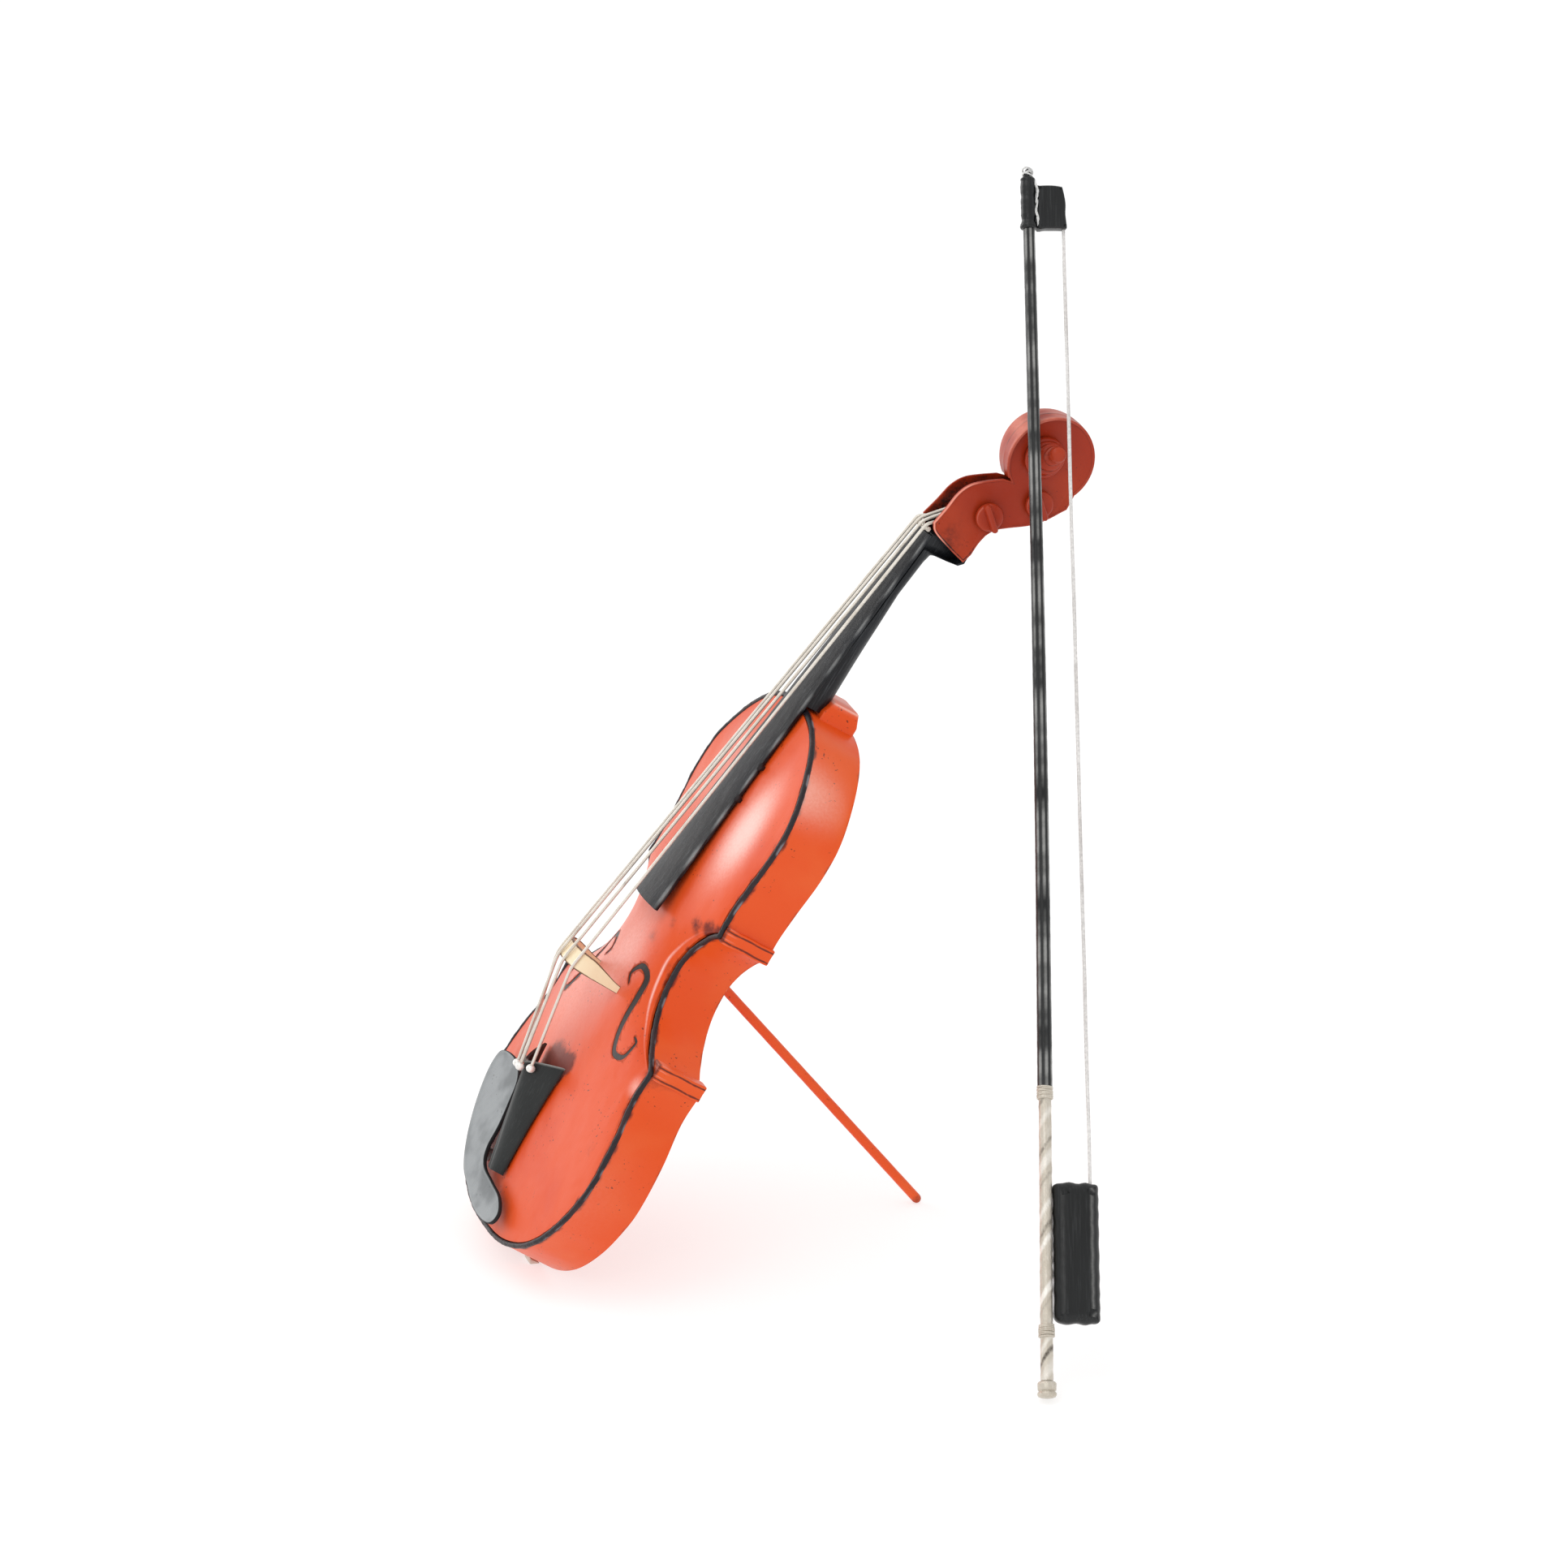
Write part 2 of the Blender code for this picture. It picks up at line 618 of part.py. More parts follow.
def cheek_outline():
    """Side plate of the pegbox and scroll, from the nut's corner round by the front."""
    front = [from_nut(3.4, -5.3), from_nut(11.0, -7.0), from_nut(18.5, -8.4), from_nut(24.0, -11.4)]
    front += [from_nut(28.3, -16.8), from_nut(32.0, -22.6)]
    disc = arc(SCROLL_CENTRE, SCROLL_RADIUS - CHEEK - GAP, 146, -112, 24)
    rear = [from_nut(33.5, -52.6), from_nut(26.2, -47.6), from_nut(21.0, -42.6), from_nut(15.5, -34.2)]
    rear += [from_nut(12.4, -30.0), from_nut(8.8, -27.8), from_nut(4.5, -26.7), from_nut(-0.8, -26.4)]
    rear += [from_nut(-5.0, -25.2), from_nut(-2.9, -17.4), from_nut(0.2, -8.2)]
    return smooth_line(front, 2) + disc + rear


def build_cheeks(parent, paint):
    outline = cheek_outline()
    holes = [
        turned(
            "hole_" + name,
            [(-30 * MM, PEG_RADIUS + GAP), (30 * MM, PEG_RADIUS + GAP)],
            Vector((0.0, place.x, place.y)), Vector((1, 0, 0)), None, parent, sides=16,
        )
        for name, (side, place) in PEGS.items()
    ]
    for side, word in ((1, "treble"), (-1, "bass")):
        bm = bmesh.new()
        rings = [[bm.verts.new((level, p.x, p.y)) for p in outline] for level in (-CHEEK, 0.0)]
        for i in range(len(outline)):
            j = (i + 1) % len(outline)
            bm.faces.new((rings[0][i], rings[0][j], rings[1][j], rings[1][i]))
        bm.faces.new(rings[0])
        bm.faces.new(rings[1])
        whole = bm.verts[:] + bm.edges[:] + bm.faces[:]
        bend = Vector((0.0, THROAT_PLACE, 0.0))
        bmesh.ops.bisect_plane(bm, geom=whole, plane_co=bend, plane_no=Vector((0, 1, 0)), dist=1e-7)
        for vertex in bm.verts:
            slope = (THROAT_HALF_WIDTH - NUT_HALF_WIDTH) / (THROAT_PLACE - NUT_PLACE)
            vertex.co.x += THROAT_HALF_WIDTH + slope * min(0.0, vertex.co.y - THROAT_PLACE)
            vertex.co.x *= side
        cheek = mesh_object("pegbox_cheek_" + word, bm, paint, parent, smooth_below=25.0)
        for hole in holes:
            cut(cheek, hole)


def build_head_band(parent, paint):
    """The back of the pegbox, and the band that goes on round the scroll to the throat."""
    floor_line = [from_nut(-4.6, -25.6), from_nut(-0.7, -26.2), from_nut(4.4, -26.5), from_nut(8.6, -27.5)]
    floor_line += [
        from_nut(12.1, -29.8), from_nut(15.2, -34.0), from_nut(20.7, -42.4), from_nut(25.6, -47.2),
    ]
    inner = inset(floor_line, CHEEK)
    rings = []
    for outer_point, inner_point in zip(floor_line, inner):
        half = head_half_width(outer_point.x) - CHEEK - GAP
        rings.append([
            Vector((half, outer_point.x, outer_point.y)), Vector((-half, outer_point.x, outer_point.y)),
            Vector((-half, inner_point.x, inner_point.y)), Vector((half, inner_point.x, inner_point.y)),
        ])
    loft("pegbox_back", rings, paint, parent)

    start, end, steps = -114.0, 140.0, 28
    rings = []
    for k in range(steps + 1):
        degrees = start + (end - start) * k / steps
        towards = Vector((math.cos(math.radians(degrees)), math.sin(math.radians(degrees))))
        widen = max(0.0, math.sin(math.radians(min(180.0, max(0.0, degrees + 30.0))))) ** 1.5
        half = THROAT_HALF_WIDTH + (SCROLL_FRONT_HALF_WIDTH - THROAT_HALF_WIDTH) * widen
        outer_point = SCROLL_CENTRE + towards * SCROLL_RADIUS
        inner_point = SCROLL_CENTRE + towards * (SCROLL_RADIUS - CHEEK)
        rings.append([
            Vector((half, outer_point.x, outer_point.y)), Vector((-half, outer_point.x, outer_point.y)),
            Vector((-half, inner_point.x, inner_point.y)), Vector((half, inner_point.x, inner_point.y)),
        ])
    loft("scroll_band", rings, paint, parent, smooth_below=30.0)


# Steps of the eye: height, radius, and how far it has wandered up the head, in mm.
EYE_STEPS = [
    (0.0, 8.2, 0.0), (2.2, 8.2, 0.0), (2.9, 7.3, 0.5), (4.4, 6.9, 0.9), (5.0, 5.8, 1.5), (6.6, 5.4, 2.1),
    (7.2, 4.2, 2.9), (8.2, 3.8, 3.4), (8.7, 2.7, 3.9), (9.6, 3.3, 4.2), (11.0, 3.3, 4.6), (12.2, 2.3, 4.8),
    (12.8, 0.9, 4.8),
]


def build_scroll_eyes(parent, paint):
    """The stepped eye of the scroll on each side: its steps wander towards the head, as a spiral does."""
    across, up = Vector((0, 1, 0)), Vector((0, 0, 1))
    for side, word in ((1, "treble"), (-1, "bass")):
        rings = []
        for height, radius, wander in EYE_STEPS:
            x = side * (THROAT_HALF_WIDTH + GAP + height * MM)
            centre = Vector((x, EYE_CENTRE.x + wander * MM, EYE_CENTRE.y))
            rings.append(circle(centre, radius * MM, across, up, 20))
        loft("scroll_eye_" + word, rings, paint, parent, smooth_below=35.0)


def build_pegs(parent, paint):
    """Each peg turns in both cheeks. Its origin is on its axis, where it leaves the outer cheek."""
    for name, (side, place) in PEGS.items():
        near = head_half_width(place.x)
        origin = Matrix.Translation(Vector((side * near, place.x, place.y)))
        reach = 2 * near - 0.2 * MM
        stand = 0.9 * MM
        bm = bmesh.new()
        profile = [
            (-reach, PEG_RADIUS), (stand, PEG_RADIUS), (stand, PEG_HEAD_RADIUS - 0.4 * MM),
            (stand + 0.4 * MM, PEG_HEAD_RADIUS), (stand + PEG_HEAD_THICKNESS - 0.5 * MM, PEG_HEAD_RADIUS),
            (stand + PEG_HEAD_THICKNESS, PEG_HEAD_RADIUS - 0.6 * MM),
        ]
        axis, across, up = Vector((side, 0, 0)), Vector((0, 1, 0)), Vector((0, 0, 1))
        rows = [
            [bm.verts.new(p) for p in circle(axis * along, radius, across, up, 16)]
            for along, radius in profile
        ]
        for low, high in zip(rows, rows[1:]):
            for i in range(16):
                bm.faces.new((low[i], low[(i + 1) % 16], high[(i + 1) % 16], high[i]))
        bm.faces.new(rows[0])
        # The grip bar is drawn up out of the head's end face.
        cap = bm.faces.new(rows[-1])
        lifted = bmesh.ops.inset_individual(bm, faces=[cap], thickness=1.0 * MM, depth=0.0)
        cap = lifted["faces"][0] if not cap.is_valid else cap
        turn = Matrix.Rotation(GRIP_BAR_TURN, 3, "X")
        for vertex in cap.verts:
            local = turn.inverted() @ Vector((0.0, vertex.co.y, vertex.co.z))
            local.y = max(-1.5 * MM, min(1.5 * MM, local.y))
            moved = turn @ local
            vertex.co.y, vertex.co.z = moved.y, moved.z
        bar = bmesh.ops.extrude_face_region(bm, geom=[cap])
        tops = [v for v in bar["geom"] if isinstance(v, bmesh.types.BMVert)]
        bmesh.ops.translate(bm, verts=tops, vec=axis * 2.6 * MM)
        if cap.is_valid:
            bmesh.ops.delete(bm, geom=[cap], context="FACES_ONLY")
        mesh_object(name, bm, paint, parent, origin)


# ---------------------------------------------------------------------------------------------
# Bridge, strings, tailpiece, chin rest
# ---------------------------------------------------------------------------------------------

STRING_NAMES = ("g", "d", "a", "e")
OVER_NEAR_PEG = Vector((18.0 * MM, -18.5 * MM))  # strings to the far pegs pass over the near ones here


def bridge_top(x):
    """Top edge of the bridge: a shallow arch about the strings."""
    across = x - STRING_OFFSET
    return 30.7 * MM - across * across * 21.0


def bridge_line():
    """The strip's outer side across the body: (x, height, width), from the bass foot to the treble foot."""
    treble = [(14.6 * MM, None, 1.0), (12.9 * MM, 17.0 * MM, 1.7), (11.2 * MM, 23.4 * MM, 2.3)]
    bass = [(-18.2 * MM, None, 1.0), (-17.2 * MM, 17.0 * MM, 1.7), (-15.6 * MM, 23.8 * MM, 2.3)]
    crown = [(x, bridge_top(x), BRIDGE_WIDTH / BRIDGE_FOOT_WIDTH) for x in np.linspace(-13.8, 9.6, 11) * MM]
    line = []
    for x, height, widths in bass + crown + treble[::-1]:
        if height is None:
            height = front_height(x, BRIDGE_PLACE) + BRIDGE_SHEET + 2 * GAP
        line.append((Vector((x, height)), widths * BRIDGE_FOOT_WIDTH))
    return line


def build_bridge(parent, bone):
    """A strip of sheet bent into an arch: wide under the strings, narrow at its two feet."""
    line = bridge_line()
    inner = inset([point for point, width in line], -BRIDGE_SHEET)
    low = BRIDGE_PLACE + 0.3 * MM
    rings = []
    for (point, width), under in zip(line, inner):
        fall = BRIDGE_PITCH * (width - BRIDGE_FOOT_WIDTH)
        rings.append([
            Vector((point.x, low, point.y)), Vector((point.x, low + width, point.y - fall)),
            Vector((under.x, low + width, under.y - fall)), Vector((under.x, low, under.y)),
        ])
    return loft("bridge", rings, bone, parent, smooth_below=50.0)


def tail_crest(share):
    """Ridge line of the tailpiece, from its lower to its upper end."""
    x = -3.0 * MM
    y = TAIL_LOWER + (TAIL_UPPER - TAIL_LOWER) * share
    z = 9.6 * MM + 11.4 * MM * share
    return Vector((x, y, z))


def tail_edge(share, side):
    """Lower edge of the tailpiece's slope on one side."""
    crest = tail_crest(share)
    half = (7.0 + 8.0 * share) * MM
    y = TAIL_LOWER + 1.2 * MM + (TAIL_UPPER - TAIL_LOWER + 6.0 * MM) * share
    x = crest.x + side * half
    return Vector((x, y, max(front_height(x, y) + GAP + TAIL_SHEET + 0.6 * MM, 0.0)))


def build_tailpiece(parent, black):
    rings = []
    for share in np.linspace(0, 1, 6):
        ring_top, ring_low = [], []
        crest = tail_crest(share)
        for side in (1, -1):
            edge = tail_edge(share, side)
            points = [edge, edge.lerp(crest, 0.5) + Vector((0, 0, 0.8 * MM)), edge.lerp(crest, 0.88)]
            ring_top += points if side > 0 else [crest, *points[::-1]]
        for point in ring_top[::-1]:
            ring_low.append(point - Vector((0, 0, TAIL_SHEET)))
        rings.append(ring_top + ring_low)
    return loft("tailpiece", rings, black, parent, smooth_below=60.0)


def build_strings(parent, wire):
    """Four wires from the tailpiece over the bridge and the nut to their pegs."""
    pegs = {"g": "peg_bass_near", "d": "peg_bass_far", "a": "peg_treble_far", "e": "peg_treble_near"}
    for index, letter in enumerate(STRING_NAMES):
        over_bridge_x = STRING_OFFSET + (index - 1.5) * STRING_SPACING_BRIDGE
        lift = STRING_RADIUS + GAP
        bridge_point = Vector((over_bridge_x, BRIDGE_PLACE, bridge_top(over_bridge_x) + lift + 0.2 * MM))
        nut_x = (index - 1.5) * STRING_SPACING_NUT
        nut_sag = 0.6 * board_sagitta(NUT_PLACE) * (nut_x / (NUT_HALF_WIDTH - CHEEK)) ** 2
        nut_point = Vector((nut_x, NUT_PLACE, NUT_CROWN + 0.7 * MM - nut_sag + 1.1 * MM + lift))
        tail_x = -3.0 * MM + (index - 1.5) * 4.2 * MM
        share = 0.955
        crest = tail_crest(share)
        edge = tail_edge(share, 1 if tail_x > crest.x else -1)
        slope = abs(tail_x - crest.x) / abs(edge.x - crest.x)
        tail_point = crest.lerp(edge, slope) + Vector((0, 0, 3.3 * MM))
        tail_point.x = tail_x
        side, peg = PEGS[pegs[letter]]
        wrap_x = side * head_half_width(peg.x) * 0.25 + (index - 1.5) * 0.6 * MM
        top_of_peg = Vector((wrap_x, peg.x - 0.8 * MM, peg.y + PEG_RADIUS + STRING_RADIUS + GAP))
        path = [tail_point, bridge_point, nut_point, nut_point + Vector((0.0, 1.8 * MM, -0.5 * MM))]
        if peg.x > NUT_PLACE + OVER_NEAR_PEG.x:
            path.append(Vector((nut_x * 0.6 + wrap_x * 0.4, NUT_PLACE + OVER_NEAR_PEG.x, OVER_NEAR_PEG.y)))
        path.append(top_of_peg)
        rod("string_" + letter, path, STRING_RADIUS, wire, parent, 2)
        ball = [
            (0.0, 0.7 * MM), (0.7 * MM, 1.6 * MM), (1.7 * MM, 2.0 * MM), (2.9 * MM, 1.5 * MM),
            (3.5 * MM, 0.6 * MM),
        ]
        away = (tail_point - bridge_point).normalized()
        start = tail_point + away * GAP
        turned("string_ball_" + letter, ball, start, away, wire, parent, sides=10)


CHIN_OUTLINE = [
    (-49.5, 57.5), (-41.0, 59.8), (-30.0, 59.2), (-22.5, 54.5), (-19.0, 46.0), (-16.0, 36.0), (-14.5, 25.5),
    (-8.5, 20.0), (4.0, 18.2), (17.0, 16.6), (24.5, 12.0), (22.5, 6.2), (12.0, 4.2), (0.0, 5.0),
    (-12.0, 8.4),
    (-24.0, 12.4), (-34.5, 20.5), (-43.5, 31.5), (-49.5, 43.0), (-51.5, 51.5),
]


def chin_height(x):
    """Underside of the chin rest, higher towards the bass side."""
    return 7.4 * MM - 0.06 * x


def build_chin_rest(parent, iron):
    outline = smooth_line([Vector((a * MM, b * MM)) for a, b in CHIN_OUTLINE], 2, closed=True)
    plate = slab(
        "chin_rest", outline, 0.0, CHIN_REST_THICKNESS, iron, parent,
        lambda a, b, c: Vector((a, b, chin_height(a) + c)),
    )
    # Two short posts carry the plate on the front.
    for index, (x, y) in enumerate(((-38.0 * MM, 42.0 * MM), (-22.0 * MM, 22.0 * MM))):
        low = front_height(x, y) + GAP
        profile = [(0.0, 2.6 * MM), (chin_height(x) - low - GAP - 0.3 * MM, 2.6 * MM)]
        name = f"chin_rest_post_{index + 1}"
        turned(name, profile, Vector((x, y, low)), Vector((0, 0, 1)), iron, parent, 12)
    return plate


# ---------------------------------------------------------------------------------------------
# Leg, pads and bow
# ---------------------------------------------------------------------------------------------


def build_leg(violin, back, paint, black):
    """The leg plugs into a bush that passes through the back. Its origin is where it leaves the back."""
    axis = Vector((0.0, -LEG_TILT, -1.0)).normalized()
    seat = Vector((0.0, LEG_PLACE, back_depth(0.0, LEG_PLACE)))
    world = violin.matrix_basis
    floor_run = -((world @ seat).z - LEG_RADIUS) / (world.to_3x3() @ axis).z
    neck_radius = SOCKET_RADIUS - SOCKET_SHOULDER
    collar = SOCKET_RADIUS * LEG_TILT + 2 * GAP
    hole = turned(
        "hole_leg_socket", [(-LEG_PLUG, neck_radius + GAP), (LEG_PLUG, neck_radius + GAP)],
        seat, axis, None, violin, sides=20,
    )
    cut(back, hole)
    socket_profile = [
        (-LEG_PLUG, neck_radius), (collar, neck_radius),
        (collar, SOCKET_RADIUS), (collar + SOCKET_HEIGHT, SOCKET_RADIUS),
    ]
    bush = turned("leg_socket", socket_profile, seat, axis, black, violin, sides=20)
    bore_floor = -LEG_PLUG + SOCKET_FLOOR
    bore_profile = [(bore_floor, LEG_RADIUS + GAP), (LEG_PLUG + SOCKET_HEIGHT, LEG_RADIUS + GAP)]
    cut(bush, turned("hole_leg_bore", bore_profile, seat, axis, None, violin, sides=16))
    profile = [(bore_floor + GAP, LEG_RADIUS), (floor_run, LEG_RADIUS)]
    profile += [
        (floor_run + LEG_RADIUS * math.sin(a), LEG_RADIUS * math.cos(a)) for a in np.radians((30, 60, 80))
    ]
    leg_frame = empty("leg_axis", Matrix.Translation(seat), violin)
    turned("prop_leg", profile, Vector((0, 0, 0)), axis, paint, leg_frame, sides=14)
    return seat, axis, floor_run


def build_pads(violin, rubber):
    """Wedge pads between the lower side wall and the floor, flat underneath."""
    world = violin.matrix_basis
    back_edge = world @ Vector((0.0, -GAP, -RIB_DEPTH + 0.8 * MM))
    front_edge = world @ Vector((0.0, -GAP, -RIB_DEPTH + 5.6 * MM))
    outline = [
        (front_edge.y, 0.0), (back_edge.y, 0.0), (back_edge.y, back_edge.z), (front_edge.y, front_edge.z)
    ]
    for side, word in ((1, "treble"), (-1, "bass")):
        low = side * PAD_SPREAD - PAD_WIDTH / 2
        slab(
            "rest_pad_" + word, outline, low, low + PAD_WIDTH, rubber, violin.parent,
            lambda a, b, c: Vector((c, a, b)),
        )


def bow_frame(violin):
    """Stands the bow on its foot and leans the stick on the treble rim of the scroll."""
    rim = Vector((math.cos(LEAN_ANGLE), math.sin(LEAN_ANGLE))) * SCROLL_RADIUS + SCROLL_CENTRE
    clear_of_rim = SCROLL_FRONT_HALF_WIDTH + STICK_RADIUS_UPPER * 1.25 + 2 * GAP
    contact = violin.matrix_basis @ Vector((clear_of_rim, rim.x, rim.y))
    foot = Vector((BOW_FOOT.x, BOW_FOOT.y, 0.0))
    for _ in range(4):
        up = (contact - foot).normalized()
        foot.z = END_BUTTON_RADIUS * math.sqrt(1 - up.z * up.z)
    away = Vector((up.z, 0.0, -up.x)).normalized()
    to_hair = up.cross(away)
    matrix = Matrix((to_hair, -away, up)).transposed().to_4x4()
    matrix.translation = foot
    return matrix


def hair_offset(z):
    """Distance from the stick to the hair at a height up the bow."""
    top, bottom = BOW_LENGTH - 28 * MM, FROG_PLACE + FROG_LENGTH
    share = (z - bottom) / (top - bottom)
    return HAIR_FROM_STICK_LOW + (HAIR_FROM_STICK_HIGH - HAIR_FROM_STICK_LOW) * share


def stick_centre(z):
    """The stick bends a little towards the hair."""
    share = min(1.0, max(0.0, z / BOW_LENGTH))
    return Vector((STICK_CAMBER * math.sin(math.pi * share), 0.0, z))


def straight(name, z_low, z_high, radius, finish, parent, sides=14, crown=0.0):
    """A short turned length on the stick's line, with an optional swelling in its middle."""
    start, end = stick_centre(z_low), stick_centre(z_high)
    length = (end - start).length
    profile = [(0.0, radius), (length, radius)]
    if crown:
        profile = [
            (0.0, radius - crown), (length * 0.25, radius), (length * 0.75, radius),
            (length, radius - crown),
        ]
    return turned(name, profile, start, end - start, finish, parent, sides)


def build_bow(parent, black, silver, hair, thread):
    grip_end = GRIP_LENGTH - RING_LENGTH
    lower_ring = FROG_PLACE - RING_LENGTH - GAP
    straight("bow_end_button", 0.0, END_BUTTON_LENGTH, END_BUTTON_RADIUS, silver, parent, crown=0.0)
    straight("bow_grip_lower", END_BUTTON_LENGTH + GAP, lower_ring - GAP, GRIP_RADIUS, silver, parent)
    ring_top = lower_ring + RING_LENGTH
    straight("bow_ring_lower", lower_ring, ring_top, RING_RADIUS, silver, parent, crown=0.7 * MM)
    straight("bow_grip", lower_ring + RING_LENGTH + GAP, grip_end - GAP, GRIP_RADIUS, silver, parent)
    straight("bow_ring_upper", grip_end, GRIP_LENGTH, RING_RADIUS, silver, parent, crown=0.7 * MM)

    sleeve_low = BOW_LENGTH - TIP_WINDING_LENGTH - SLEEVE_LENGTH
    sleeve_high = sleeve_low + SLEEVE_LENGTH
    heights = np.linspace(GRIP_LENGTH + GAP, sleeve_low - GAP, 14)
    radii = np.linspace(1.0, STICK_RADIUS_UPPER / STICK_RADIUS_LOWER, 14)
    path = [stick_centre(z) for z in heights]
    rod("bow_stick", path, STICK_RADIUS_LOWER, black, parent, 2, False, list(radii))
    straight("bow_tip_sleeve", sleeve_low, sleeve_high, SLEEVE_RADIUS, black, parent, crown=0.4 * MM)
    straight("bow_tip_winding", sleeve_high + GAP, BOW_LENGTH, 2.6 * MM, thread, parent, crown=1.0 * MM)

    frog_x = stick_centre(FROG_PLACE + FROG_LENGTH).x + GRIP_RADIUS + GAP
    frog = slab(
        "bow_frog",
        [
            (frog_x, FROG_PLACE), (frog_x + FROG_DEPTH, FROG_PLACE),
            (frog_x + FROG_DEPTH, FROG_PLACE + FROG_LENGTH), (frog_x, FROG_PLACE + FROG_LENGTH),
        ],
        -FROG_THICKNESS / 2, FROG_THICKNESS / 2, black, parent, lambda a, b, c: Vector((a, c, b)),
    )
    bevel(frog, 2.2 * MM, 3, 60.0)
    head_x = stick_centre(sleeve_low).x + SLEEVE_RADIUS + GAP
    head_low = sleeve_low + 0.4 * MM
    head = slab(
        "bow_head",
        [
            (head_x, head_low), (head_x + HEAD_BLOCK_DEPTH, head_low),
            (head_x + HEAD_BLOCK_DEPTH - 1.8 * MM, head_low + HEAD_BLOCK_LENGTH),
            (head_x, head_low + HEAD_BLOCK_LENGTH),
        ],
        -HEAD_BLOCK_THICKNESS / 2, HEAD_BLOCK_THICKNESS / 2, black, parent,
        lambda a, b, c: Vector((a, c, b)),
    )
    bevel(head, 1.2 * MM, 2, 60.0)
    low, high = FROG_PLACE + FROG_LENGTH + GAP, head_low - GAP
    path = [Vector((hair_offset(z), 0.0, z)) for z in np.linspace(low, high, 8)]
    rod("bow_hair", path, HAIR_RADIUS, hair, parent, 2)


def centre_on_floor(world):
    """Moves everything so that the middle of its box is at the origin, and its lowest point at height 0."""
    bpy.context.view_layer.update()
    graph = bpy.context.evaluated_depsgraph_get()
    low, high = Vector((1e9,) * 3), Vector((-1e9,) * 3)
    for obj in bpy.context.scene.objects:
        if obj.type == "EMPTY" or obj.hide_render:
            continue
        evaluated = obj.evaluated_get(graph)
        data = evaluated.to_mesh()
        for vertex in data.vertices:
            point = evaluated.matrix_world @ vertex.co
            low = Vector(map(min, low, point))
            high = Vector(map(max, high, point))
        evaluated.to_mesh_clear()
    world.location = Vector((-(low.x + high.x) / 2, -(low.y + high.y) / 2, -low.z))


def main():
    clear_scene()
    bpy.context.scene.unit_settings.scale_length = 1.0
    orange = material("orange_lacquer", (0.72, 0.14, 0.045), 0.3)
    russet = material("russet_lacquer", (0.36, 0.042, 0.016), 0.34)
    black = material("black_lacquer", (0.018, 0.017, 0.018), 0.42)
    edge_black = material("edge_black", (0.03, 0.025, 0.025), 0.4)
    iron = material("grey_iron", (0.33, 0.33, 0.33), 0.45, 0.6)
    wire = material("string_wire", (0.82, 0.8, 0.76), 0.3, 0.9)
    bone = material("bone_ivory", (0.78, 0.6, 0.38), 0.5)
    silver = material("champagne_silver", (0.62, 0.59, 0.54), 0.38, 0.8)
    hair = material("bow_hair", (0.85, 0.83, 0.8), 0.4)
    thread = material("clear_thread", (0.7, 0.7, 0.68), 0.3)
    rubber = material("clear_rubber", (0.75, 0.7, 0.66), 0.5)

    world = empty("ornament", Matrix.Identity(4))
    lean = Matrix.Rotation(math.pi / 2 - LEAN_BACK, 4, "X")
    lean.translation = Vector((0.0, 0.0, RIB_DEPTH * math.sin(LEAN_BACK)))
    violin = empty("violin_lean", lean, world)

    back, heel_high = build_body(violin, orange, edge_black)
    build_board(violin, black, wire)
    build_neck(violin, heel_high, black)
    build_cheeks(violin, russet)
    build_head_band(violin, russet)
    build_scroll_eyes(violin, russet)
    build_pegs(violin, russet)
    build_bridge(violin, bone)
    build_tailpiece(violin, black)
    build_strings(violin, wire)
    build_chin_rest(violin, iron)
    build_leg(violin, back, orange, black)
    build_pads(violin, rubber)
    bow = empty("bow_lean", bow_frame(violin), world)
    build_bow(bow, black, silver, hair, thread)
    centre_on_floor(world)


main()
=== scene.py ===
"""Finished surfaces of a painted sheet-metal violin ornament, with its bow leaning on the scroll.

The violin's pieces are drawn in its own frame in millimetres: x to the treble side, y from the
lower end to the scroll, z out of the front. The bow's pieces are drawn in the bow's frame: z up the
stick, x from the stick to the hair. Each piece is then placed in the world through its frame.
"""

import logging
import math
from dataclasses import dataclass, field
from enum import Enum
from typing import Any, Callable, Sequence

import bmesh
import bpy
import numpy as np
from mathutils import Matrix, Vector
from mathutils.geometry import tessellate_polygon


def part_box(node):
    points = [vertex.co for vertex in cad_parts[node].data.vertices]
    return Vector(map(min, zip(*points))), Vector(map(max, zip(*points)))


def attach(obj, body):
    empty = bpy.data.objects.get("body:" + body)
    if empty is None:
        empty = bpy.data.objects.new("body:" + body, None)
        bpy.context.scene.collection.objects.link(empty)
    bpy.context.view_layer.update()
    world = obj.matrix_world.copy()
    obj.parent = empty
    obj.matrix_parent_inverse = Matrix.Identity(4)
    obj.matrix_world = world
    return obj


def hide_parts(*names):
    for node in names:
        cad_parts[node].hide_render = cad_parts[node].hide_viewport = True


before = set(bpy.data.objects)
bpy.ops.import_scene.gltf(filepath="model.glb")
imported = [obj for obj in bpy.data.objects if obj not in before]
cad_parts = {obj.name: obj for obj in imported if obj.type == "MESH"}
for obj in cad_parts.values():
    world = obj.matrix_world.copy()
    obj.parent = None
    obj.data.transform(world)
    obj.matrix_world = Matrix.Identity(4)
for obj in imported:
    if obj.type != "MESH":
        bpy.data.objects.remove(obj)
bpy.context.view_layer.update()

LOG = logging.getLogger("violin")
MM = 0.001
Colour = tuple[float, float, float]


class Rider(Enum):
    """The bodies that pieces ride on."""

    VIOLIN = "violin"
    BOW = "bow"
    LEG = "leg"
    TREBLE_NEAR = "peg_treble_near_body"
    TREBLE_FAR = "peg_treble_far_body"
    BASS_NEAR = "peg_bass_near_body"
    BASS_FAR = "peg_bass_far_body"


# ---------------------------------------------------------------------------------------------
# Lines and waves
# ---------------------------------------------------------------------------------------------


